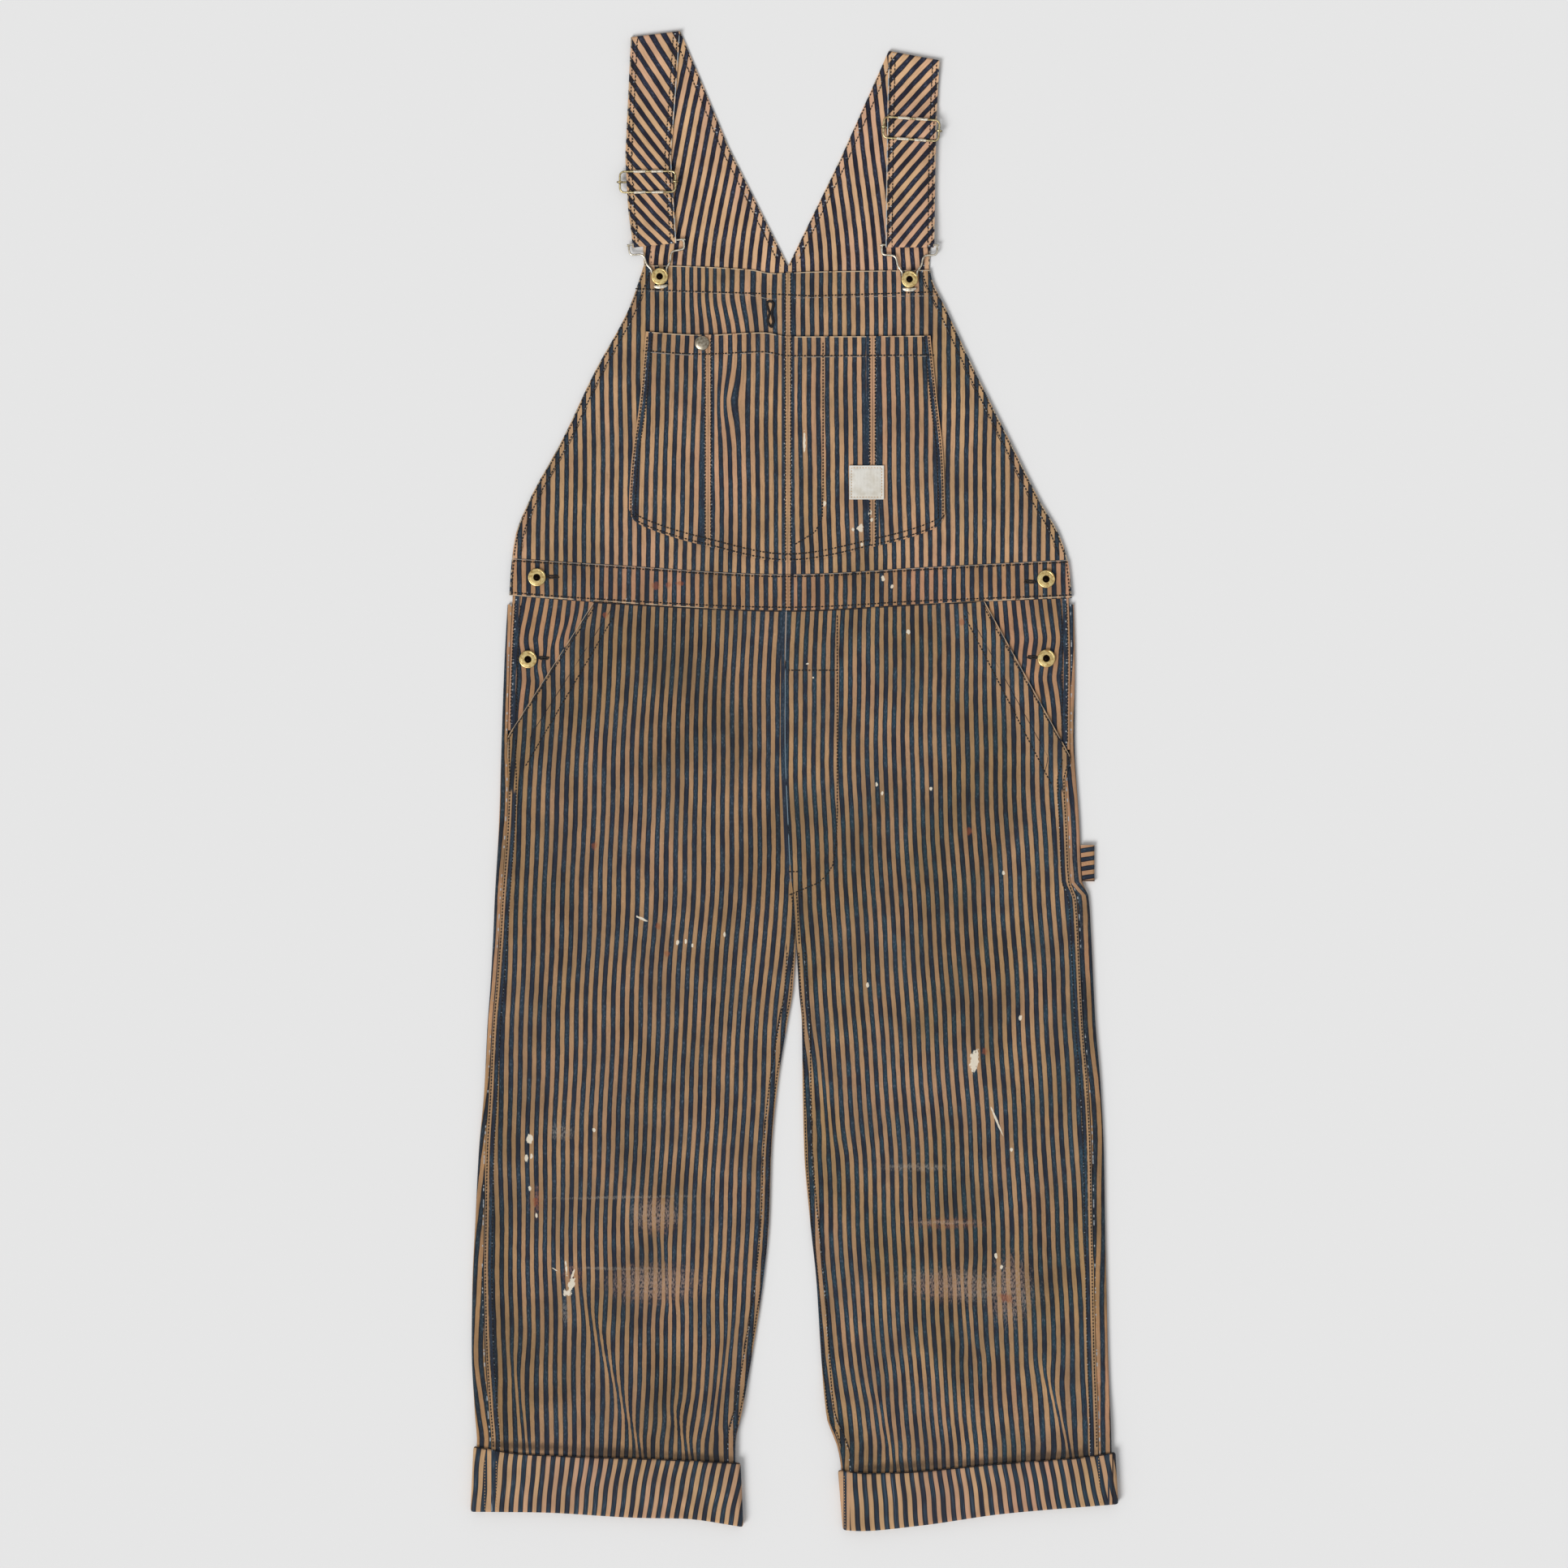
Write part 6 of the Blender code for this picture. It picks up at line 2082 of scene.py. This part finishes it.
@dataclass
class SeamPlan:
    """Which rows of stitches the garment has, and of which thread."""

    dark: Thread = Thread("dark_brown_cotton_thread", "#1f1916")
    pale: Thread = Thread("tan_cotton_thread", "#c39a6c")

    def bib_rows(self) -> list[SeamLine]:
        """Rows of the bib, its pocket and the waistband."""
        first, centre, last = POCKET_SEAMS
        rows = []
        for side in Side:
            for distance in (1.6, 7.0):
                rows.append(inset(side, BIB_SIDE[side], distance, 206, 462))
                rows.append(inset(side, POCKET_SIDE[side], distance * 0.8 + 0.4, 240, 403))
            rows.append(inset(side, BIB_SIDE[side], 2.0, 170, 199))
        rows.append(from_photo((784.5, 356), (841, 359), (939, 362), (1000, 365), (1152, 360)))
        rows.append(level_row(POCKET_TOP, -17.6, -137, 127))
        rows.append(level_row(POCKET_BOTTOM, 1.8, -149, 136))
        rows.append(level_row(POCKET_BOTTOM, 7.0, -143, 131))
        rows.append(level_row(BIB_SEAM, -2.4, -255, 248))
        rows.append(level_row(WAIST_SEAM, 2.6, -257, 251))
        for seam, shift in (
            (first, -2.6), (first, 2.6), (centre, -2.4), (centre, 2.4), (last, -2.5), (last, 2.5)
        ):
            low, label = float(POCKET_BOTTOM(seam)) + 2, BibPocket().label
            gap = (label[1] - 2, label[1] + label[3] + 2) if seam == last else (low + 1, low + 1)
            rows.append(SeamLine([(seam + shift, low), (seam + shift, gap[0])]))
            rows.append(SeamLine([(seam + shift, gap[1]), (seam + shift, 402.0)]))
        for shift in (-2.4, 2.4):
            rows.append(SeamLine([(centre + shift, 408.0), (centre + shift, 461.0)]))
            rows.append(SeamLine([(centre + shift, 157.0), (centre + shift, 186.0)]))
        rows.append(from_photo((1014, 424), (1014, 600), (1013, 638), (1004, 656), (981, 670)))
        return rows

    def leg_rows(self) -> list[SeamLine]:
        """Rows of the legs, the hand pockets and the fly."""
        rows = []
        for side in Side:
            leg, mouth = Leg(side), MOUTHS[side]
            for distance in ROWS_FRONT:
                rows.append(inset(side, leg.outer, distance, ROWS_LOW, mouth.end_y - 4))
                rows.append(inset(side, INNER[side], -distance, ROWS_LOW, -158))
            run = np.array([mouth.top_x - mouth.end_x, mouth.top_y - mouth.end_y])
            inward = np.array([-side.turn * run[1], side.turn * run[0]]) / np.linalg.norm(run)
            start, end = np.array([mouth.end_x, mouth.end_y]), np.array([mouth.top_x, mouth.top_y])
            for distance in (1.2, 20.5):
                shift = inward * distance
                rows.append(
                    SeamLine([tuple(start + shift + (0, -distance * 0.7)), tuple(end + shift - (0, 4))])
                )
            rows.append(inset(side, leg.facing_edge, 2.0, mouth.end_y + 14, 160))
            rows.append(inset(side, leg.facing_edge, 7.0, mouth.end_y + 24, 158))
            rows.append(inset(side, INNER[side], -1.4 if side is Side.RIGHT else -2.6, -148, -104))
        rows.append(from_photo((972, 826), (1031, 826)))
        rows.append(from_photo(
            (1031.6, 760), (1031.6, 1000), (1030, 1040), (1026, 1066), (1018, 1079), (1008, 1088), (974, 1102)
        ))
        rows.append(from_photo((973, 1074), (982, 1074)))
        rows.append(from_photo((987, 1088), (987, 1105)))
        rows.append(from_photo((1313, 878), (1313, 890)))
        return rows

    def strap_rows(self) -> list[SeamLine]:
        """Rows near the edges of the straps and of the high back."""
        rows = []
        for side in Side:
            strap = BackStrap(side)
            for share in (0.055, 0.13, 0.87, 0.945):
                points = []
                for down in np.linspace(6, strap.down_at(HOOKS[side].y + 34), 40):
                    out_x, out_y, in_x, in_y = strap.ends(True, np.array(down))
                    points.append(
                        (float(out_x + (in_x - out_x) * share), float(out_y + (in_y - out_y) * share))
                    )
                rows.append(SeamLine(points))
            for distance in (1.2, 7.2):
                points = []
                for down in np.linspace(14, BACKS[side][1].down - distance, 40):
                    _, _, in_x, in_y = strap.ends(False, np.array(down))
                    points.append((float(in_x) + side.turn * distance, float(in_y)))
                rows.append(SeamLine(points))
        return rows

    def back_rows(self) -> list[SeamLine]:
        """Rows on the underside: the centre back, the seat, the outseams and the inseams."""
        rows = []
        for side in Side:
            rows.append(
                SeamLine(
                    [(CENTRE_SEAM + side.turn * 2.4, 172.0), (CENTRE_SEAM + side.turn * 2.4, 466.0)], True
                )
            )
            low = [float(y) for y in np.linspace(-598, 156, 60)]
            for distance in ROWS_BACK:
                rows.append(SeamLine([(float(INNER[side](y)) + side.turn * distance, y) for y in low], True))
            edge = BIB_SIDE[side]
            rows.append(SeamLine(
                [
                    (
                        float(edge(y)) - side.turn * (BACK_INSET + 2.2), float(y)
                    ) for y in np.linspace(165, 462, 40)
                ], True
            ))
        rows.append(SeamLine([(-250.0, 156.0), (244.0, 156.0)], True))
        rows.append(SeamLine([(-250.0, 164.0), (244.0, 164.0)], True))
        return rows

    def trim_rows(self) -> list[SeamLine]:
        """Rows of the cuffs' side seams, the label's border and the hammer loop."""
        left, low, width, length = BibPocket().label
        right, high = left + width, low + length
        rows = [SeamLine([
            (left + 2, low + 2), (right - 2, low + 2), (right - 2, high - 2), (left + 2, high - 2),
            (left + 2, low + 2)
        ])]
        rows += [from_photo((598, 1799), (598, 1858)), from_photo((612, 1800), (612, 1859))]
        rows += [from_photo((1353, 1796), (1355, 1850)), from_photo((1040, 1818), (1041, 1880))]
        rows.append(from_photo((1333, 1065), (1344, 1063)))
        return rows

    def buttonholes(self) -> list[SeamLine]:
        """Close rows round the buttonholes."""
        rows = []
        for x0, x1, y in ((675, 688, 711), (665, 676, 811), (1263, 1276, 717), (1267, 1278, 810)):
            rows.append(
                from_photo(
                    (x0, y - 1.5), (x1, y - 1.1), (x1 + 1, y), (x1, y + 1.1), (x0, y + 1.5), (x0 - 1, y)
                )
            )
        return rows

    def chain_slot(self) -> list[SeamLine]:
        """Bold rows round the slot for a watch chain."""
        return [
            from_photo(
                (945, 373), (949, 370.5), (953.4, 374), (950.6, 386), (953, 397), (950.4, 404), (948, 401),
                (945.8, 396), (948.2, 386), (945, 376), (945, 373)
            ),
        ]

    def make(self, surface: Surface) -> list[bpy.types.Object]:
        """Sew every row.

        Args:
            surface: The laid cloth.

        Returns:
            The pieces of thread.
        """
        plan = (
            Sewing("stitches_bib", self.dark, self.bib_rows(), width=1.5),
            Sewing("stitches_legs", self.dark, self.leg_rows(), width=1.4),
            Sewing("stitches_straps", self.dark, self.strap_rows(), pitch=3.1, width=1.25),
            Sewing("stitches_underside", self.dark, self.back_rows()),
            Sewing("stitches_trim", self.pale, self.trim_rows(), pitch=2.6, length=1.9, width=0.7),
            Sewing("stitches_buttonholes", self.dark, self.buttonholes(), pitch=0.9, length=1.3, width=2.2),
            Sewing(
                "stitches_chain_slot", Thread("brown_black_buttonhole_twist", "#160d0b"), self.chain_slot(),
                pitch=0.9, length=1.8, width=2.9
            ),
        )
        return [rows.sew(surface) for rows in plan]


def tube_mesh(
    path: Sequence[Sequence[float]], up: Sequence[float], radius: float, closed: bool, sides: int = 14
) -> tuple[list, list]:
    """Round wire along a path that lies square to a direction.

    Args:
        path: Points of its middle line.
        up: The direction that it is square to.
        radius: Radius of the wire.
        closed: Whether its ends meet.
        sides: Sides of its section.

    Returns:
        Its points and faces.
    """
    middle = np.array(path, dtype=float)
    if closed:
        ahead, behind = np.roll(middle, -1, axis=0), np.roll(middle, 1, axis=0)
    else:
        ahead, behind = np.vstack((middle[1:], middle[-1:])), np.vstack((middle[:1], middle[:-1]))
    tangent = ahead - behind
    tangent /= np.linalg.norm(tangent, axis=1)[:, None]
    across = np.cross(tangent, np.array(up, dtype=float))
    across /= np.linalg.norm(across, axis=1)[:, None]
    above = np.cross(across, tangent)
    angle = 2 * math.pi * np.arange(sides) / sides
    rings = middle[:, None] + radius * (
        np.cos(angle)[None, :, None] * across[:, None] + np.sin(angle)[None, :, None] * above[:, None]
    )
    count = len(middle)
    faces = []
    for step in range(count if closed else count - 1):
        for turn in range(sides):
            start, end, after = step * sides, (step + 1) % count * sides, (turn + 1) % sides
            faces.append([start + turn, start + after, end + after, end + turn])
    if not closed:
        faces += [list(range(sides)), list(range((count - 1) * sides, count * sides))]
    return rings.reshape(-1, 3).tolist(), faces


def rounded(points: Sequence[tuple[float, float]], closed: bool, steps: int = 7) -> list[tuple[float, float]]:
    """Smooth curve through points, as bent wire runs.

    Args:
        points: Points of the plan.
        closed: Whether the curve closes.
        steps: Steps between two points.

    Returns:
        Points of the curve.
    """
    way = np.array(points, dtype=float)
    count = len(way)
    made = []
    for at in range(count if closed else count - 1):
        if closed:
            p0, p1, p2, p3 = (way[(at + shift) % count] for shift in (-1, 0, 1, 2))
        else:
            p0, p1, p2, p3 = (way[min(max(at + shift, 0), count - 1)] for shift in (-1, 0, 1, 2))
        for step in range(steps):
            t = step / steps
            made.append(0.5 * (
                2 * p1 + (p2 - p0) * t + (2 * p0 - 5 * p1 + 4 * p2 - p3) * t * t
                + (3 * p1 - p0 - 3 * p2 + p3) * t ** 3
            ))
    if not closed:
        made.append(way[-1])
    return [tuple(point) for point in made]


@dataclass
class Fittings:
    """Wire sliders and hooks, brass ring buttons and the pocket's snap."""

    brass: bpy.types.Material
    plated: bpy.types.Material
    bright: bpy.types.Material
    nickel: bpy.types.Material
    frame_width: float = 50.6
    frame_height: float = 19.0
    corner: float = 4.0
    curl: float = 2.1
    bib_button: float = 7.6
    snap_radius: float = 6.7

    def keep(self, piece: bpy.types.Object, slot: str, *nodes: str) -> None:
        """Let a piece ride and replace its solids."""
        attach(piece, "root")
        if nodes:
            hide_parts(*nodes)
        LOG.info("%s: %d faces", piece.name, len(piece.data.polygons))

    def wire(
        self, name: str, path: list, up: tuple, material: bpy.types.Material, closed: bool,
        radius: float = WIRE
    ) -> bpy.types.Object:
        """One bent wire, bright on its top and darkened on its sides by painted shade."""
        piece = add_mesh(name, *tube_mesh(path, up, radius, closed), material, sharp=60.0)
        # Painted shade: where the wire's normal turns away from straight up, on its sides and underside, it
        # is darkened
        layer = piece.data.attributes.new("hollow", "FLOAT", "POINT")
        for at, vertex in enumerate(piece.data.vertices):
            layer.data[at].value = 0.8 * float(eased((0.82 - vertex.normal.z) / 0.35))
        return piece

    def slider(self, side: Side) -> None:
        """Bend the slider's frame, its bar and the rollers on its long wires.

        Args:
            side: Which strap.
        """
        place = SLIDERS[side]
        metal = self.plated
        half_width, half_height = self.frame_width / 2, self.frame_height / 2
        outline = []
        for quarter, (across, along) in enumerate(((1, 1), (-1, 1), (-1, -1), (1, -1))):
            for step in range(6):
                angle = math.pi / 2 * (quarter + step / 5)
                outline.append((
                    across * (half_width - self.corner) + self.corner * math.cos(angle),
                    along * (half_height - self.corner) + self.corner * math.sin(angle),
                ))
        path = [(*placed(place, x, y), FRAME_Z) for x, y in outline]
        frame_wire = self.wire("wire_slider_frame_" + side.value, path, (0, 0, 1), metal, True)
        self.keep(frame_wire, "plated_wire", "slider_frame_" + side.value)
        tilt = math.radians(place.tilt)
        curl = [
            (half_width + self.curl * math.cos(angle), FRAME_Z + self.curl * math.sin(angle))
            for angle in np.radians(np.linspace(-90, 150, 17))
        ]
        bar = [(-x, z) for x, z in reversed(curl)] + curl
        path = [(*placed(place, x, 0.0), z) for x, z in bar]
        bar_wire = self.wire(
            "wire_slider_bar_" + side.value, path, (-math.sin(tilt), math.cos(tilt), 0), metal, False
        )
        self.keep(bar_wire, "plated_wire", "slider_bar_" + side.value)
        points, faces = [], []
        for y in (half_height, -half_height):
            for low, high in ((-13.0, -1.8), (3.2, 14.4)):
                profile = ((low, 1.0), (low + 0.5, 1.45), (high - 0.5, 1.45), (high, 1.0))
                rings = []
                for x, radius in profile:
                    base = placed(place, x, y)
                    for angle in np.linspace(0, 2 * math.pi, 15)[:-1]:
                        reach = radius * math.cos(angle)
                        rings.append((
                            base[0] - reach * math.sin(tilt), base[1] + reach * math.cos(tilt),
                            FRAME_Z + radius * math.sin(angle),
                        ))
                start = len(points)
                points += rings
                for ring in range(3):
                    for turn in range(14):
                        first, after = start + ring * 14, (turn + 1) % 14
                        faces.append([first + turn, first + after, first + 14 + after, first + 14 + turn])
                faces += [list(range(start, start + 14)), list(range(start + 42, start + 56))]
        rollers = add_mesh("slider_rollers_" + side.value, points, faces, self.bright, sharp=35.0)
        self.keep(rollers, "bright_wire")

    def hook(self, side: Side) -> None:
        """Bend the hook and cut its clip plate.

        Args:
            side: Which strap.
        """
        place = HOOKS[side]
        half = (
            (22.6, 31.5), (24.6, 30.6), (25.2, 28.4), (24.8, 24.2), (22.6, 22.4), (15.6, 21.8), (12.4, 19.4),
            (10.6, 12.4), (7.0, 6.8), (6.4, 1.0), (4.6, -4.4),
        )
        outline = rounded([*half, (0.0, HOOK_LOW), *((-x, y) for x, y in reversed(half))], True)
        path = [(*placed(place, x, y), BAR_Z) for x, y in outline]
        self.keep(
            self.wire("wire_hook_" + side.value, path, (0, 0, 1), self.bright, True), "bright_wire",
            "hook_" + side.value,
        )
        top = HOOK_LOW - WIRE - GAP
        shoulder, bottom, width = top - 0.9, -11.0, 6.4
        outline = [(-width + 0.5, top), (-width, top - 0.5)]
        for angle in np.linspace(math.pi, 2 * math.pi, 19):
            outline.append((width * math.cos(angle), shoulder + (shoulder - bottom) * math.sin(angle)))
        outline += [(width, top - 0.5), (width - 0.5, top)]
        middle_y = 0.5 * (top + bottom)
        points = []
        for shrink, z in ((0.95, -0.4), (1.0, -0.2), (1.0, 0.2), (0.93, 0.4)):
            points += [
                (*placed(place, x * shrink, middle_y + (y - middle_y) * shrink), BAR_Z + z) for x,
                y in outline
            ]
        count = len(outline)
        faces = [list(range(count)), list(range(3 * count, 4 * count))]
        for ring in range(3):
            for step in range(count):
                first, after = ring * count, (step + 1) % count
                faces.append([first + step, first + after, first + count + after, first + count + step])
        plate = add_mesh("plate_hook_clip_" + side.value, points, faces, self.bright, sharp=70.0)
        self.keep(plate, "bright_wire", "hook_clip_" + side.value)

    def turned(
        self, name: str, profile: Sequence[tuple[float, float]], centre: tuple[float, float, float],
        material: bpy.types.Material, dark: float = 0.0, segments: int = 48,
    ) -> bpy.types.Object:
        """Turn a closed solid from a profile that starts and ends on the axis.

        Args:
            name: Name of the piece.
            profile: Radius and height of each step.
            centre: Middle of its underside.
            material: Its finish.
            dark: Radius inside which its top is darkened with painted shade, as a dark hollow.
            segments: Steps round it.

        Returns:
            The piece.
        """
        x, y, z = centre
        angle = 2 * math.pi * np.arange(segments) / segments
        points = [(x, y, z + profile[0][1])]
        for radius, rise in profile[1:-1]:
            points += [(x + radius * math.cos(turn), y + radius * math.sin(turn), z + rise) for turn in angle]
        points.append((x, y, z + profile[-1][1]))
        last, faces = len(points) - 1, []
        for step in range(segments):
            after = (step + 1) % segments
            faces.append([0, 1 + after, 1 + step])
            for ring in range(len(profile) - 3):
                start = 1 + ring * segments
                faces.append([start + step, start + after, start + segments + after, start + segments + step])
            faces.append([last - segments + step, last - segments + after, last])
        piece = add_mesh(name, points, faces, material, sharp=40.0)
        # Painted shade: the top faces inside the dark radius, in the button's recess, are darkened
        layer = piece.data.attributes.new("hollow", "FLOAT", "POINT")
        painted_shade_mask = [
            float(math.hypot(px - x, py - y) < dark and pz > z + 0.3) for px, py, pz in points
        ]
        layer.data.foreach_set("value", painted_shade_mask)
        return piece

    def button(self, place: ButtonPlace, seat: float) -> None:
        """Turn a ring button: a flat rim between two fine rings, round a hollow with its rivet, darkened with
        painted shade.

        Args:
            place: Which button.
            seat: Height of what it is on.
        """
        edge, base = place.radius, place.shank
        profile = (
            (0, 0), (2.2, 0), (2.2, base), (edge - 0.7, base), (edge - 0.2, base + 0.2), (edge, base + 0.6),
            (edge, base + 1.2), (edge - 0.3, base + 1.6), (edge - 0.9, base + 1.9), (edge - 1.3, base + 1.85),
            (edge - 1.5, base + 1.7), (edge - 1.8, base + 1.78), (0.62 * edge, base + 1.8),
            (0.5 * edge, base + 1.86), (0.42 * edge, base + 1.8), (0.36 * edge, base + 1.3),
            (0.33 * edge, base + 0.5), (0.2 * edge, base + 0.5), (0.17 * edge, base + 0.8),
            (0.1 * edge, base + 1.0),
            (0, base + 1.05),
        )
        centre = (place.x, place.y, seat + GAP)
        piece = self.turned("ring_" + place.name, profile, centre, self.brass, dark=0.37 * edge)
        self.keep(piece, "brass", place.name)

    def make(self) -> None:
        """Make every fitting."""
        for side in Side:
            self.slider(side)
            self.hook(side)
            hook = HOOKS[side]
            bib_shank = 2 * WIRE + GAP
            name = "bib_button_" + side.value
            self.button(
                ButtonPlace(name, side, hook.x, hook.y, self.bib_button, bib_shank, True), BIB_Z + CLOTH
            )
        for place in WAIST_BUTTONS:
            box = frame_box(place.name)
            self.button(place, box[0][2] - GAP)
        dome = (
            (0, 0), (self.snap_radius - 0.5, 0), (self.snap_radius, 0.5), (self.snap_radius - 0.15, 0.95),
            (self.snap_radius - 0.6, 1.3), (0.82 * self.snap_radius, 1.72), (0.62 * self.snap_radius, 2.1),
            (0.46 * self.snap_radius, 2.34), (0.3 * self.snap_radius, 2.5), (0.14 * self.snap_radius, 2.58),
            (0, 2.6),
        )
        snap = self.turned("dome_pocket_snap", dome, (-84.0, 398.3, POCKET_Z + CLOTH + GAP), self.nickel)
        self.keep(snap, "nickel", "pocket_snap")


def frame_box(node: str) -> tuple[list[float], list[float]]:
    """Lowest and highest corner of a solid in millimetres."""
    low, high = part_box(node)
    return [value / METRES for value in low], [value / METRES for value in high]


@dataclass
class Studio:
    """Plain pale floor, soft light and the camera straight above."""

    frame_pixels: float = 1932.0
    pixel: float = 0.74
    centre: tuple[float, float] = (-9.25, -3.33)
    lens: float = 135.0
    sensor: float = 36.0
    floor_side: float = 9.0
    floor_colour: str = "#e4e4e4"

    def camera(self) -> None:
        """Put the camera straight above, so that the photograph's frame is the picture."""
        data = bpy.data.cameras.new("camera")
        data.lens, data.sensor_width, data.sensor_fit = self.lens, self.sensor, "HORIZONTAL"
        data.clip_start, data.clip_end = 0.1, 50.0
        camera = bpy.data.objects.new("camera", data)
        distance = self.frame_pixels * self.pixel * METRES * self.lens / self.sensor
        camera.location = (self.centre[0] * METRES, self.centre[1] * METRES, distance)
        bpy.context.scene.collection.objects.link(camera)
        bpy.context.scene.camera = camera

    def floor(self) -> None:
        """Lay the floor just below the garment."""
        half = self.floor_side / 2
        mesh = bpy.data.meshes.new("floor")
        mesh.from_pydata(
            [(-half, -half, 0), (half, -half, 0), (half, half, 0), (-half, half, 0)], [], [(0, 1, 2, 3)]
        )
        finish = bpy.data.materials.new("painted_board")
        finish.use_nodes = True
        shader = finish.node_tree.nodes["Principled BSDF"]
        shader.inputs["Base Color"].default_value = linear(self.floor_colour)
        shader.inputs["Roughness"].default_value = 0.9
        shader.inputs["Specular IOR Level"].default_value = 0.1
        mesh.materials.append(finish)
        floor = bpy.data.objects.new("floor", mesh)
        floor.location.z = -0.0004
        bpy.context.scene.collection.objects.link(floor)

    def light(self) -> None:
        """Light it softly and evenly from the lower left, with a pale surround."""
        world = bpy.data.worlds.new("surround")
        world.use_nodes = True
        back = world.node_tree.nodes["Background"]
        back.inputs["Color"].default_value = linear("#ffffff")
        back.inputs["Strength"].default_value = 0.5
        bpy.context.scene.world = world
        data = bpy.data.lights.new("key", "SUN")
        data.energy, data.angle = 2.44, 0.5
        lamp = bpy.data.objects.new("key", data)
        lamp.rotation_euler = Vector((1.7, 1.9, -2.3)).to_track_quat("-Z", "Y").to_euler()
        bpy.context.scene.collection.objects.link(lamp)
        bpy.context.scene.view_settings.view_transform = "Standard"


def main() -> None:
    """Build the garment piece by piece, then its surroundings."""
    logging.basicConfig(level=logging.INFO, format="%(name)s %(message)s")
    pieces = []
    for side in Side:
        leg = Leg(side)
        pieces += [leg.back(), leg.front(), leg.facing()]
        pieces += [BackStrap(side).lay(), Cuff(side).lay(), Bib().half(side), Bib().band(side)]
    pieces += [*BibPocket().panels(), HammerLoop().lay()]
    finishes, laid = {}, []
    for piece in pieces:
        finish = denim_for(piece.node)
        if finish.name not in finishes:
            finishes[finish.name] = finish.material()
        laid.append(piece.make(finishes[finish.name]))
    laid.append(BibPocket().plain_label().make(LabelCotton().material()))
    SeamPlan().make(Surface(laid))
    Fittings(
        brass=Metal("aged_brass", "#f0da9c", "#b3925a", 0.4).material(),
        plated=Metal("brass_plated_wire", "#ecdcac", "#8d754a", 0.38).material(),
        bright=Metal("bright_steel_wire", "#f6efdf", "#aa9f88", 0.36).material(),
        nickel=Metal("worn_nickel_plate", "#bab19f", "#7d715f", 0.32).material(),
    ).make()
    studio = Studio()
    studio.floor()
    studio.light()
    studio.camera()


if __name__ == "__main__":
    main()
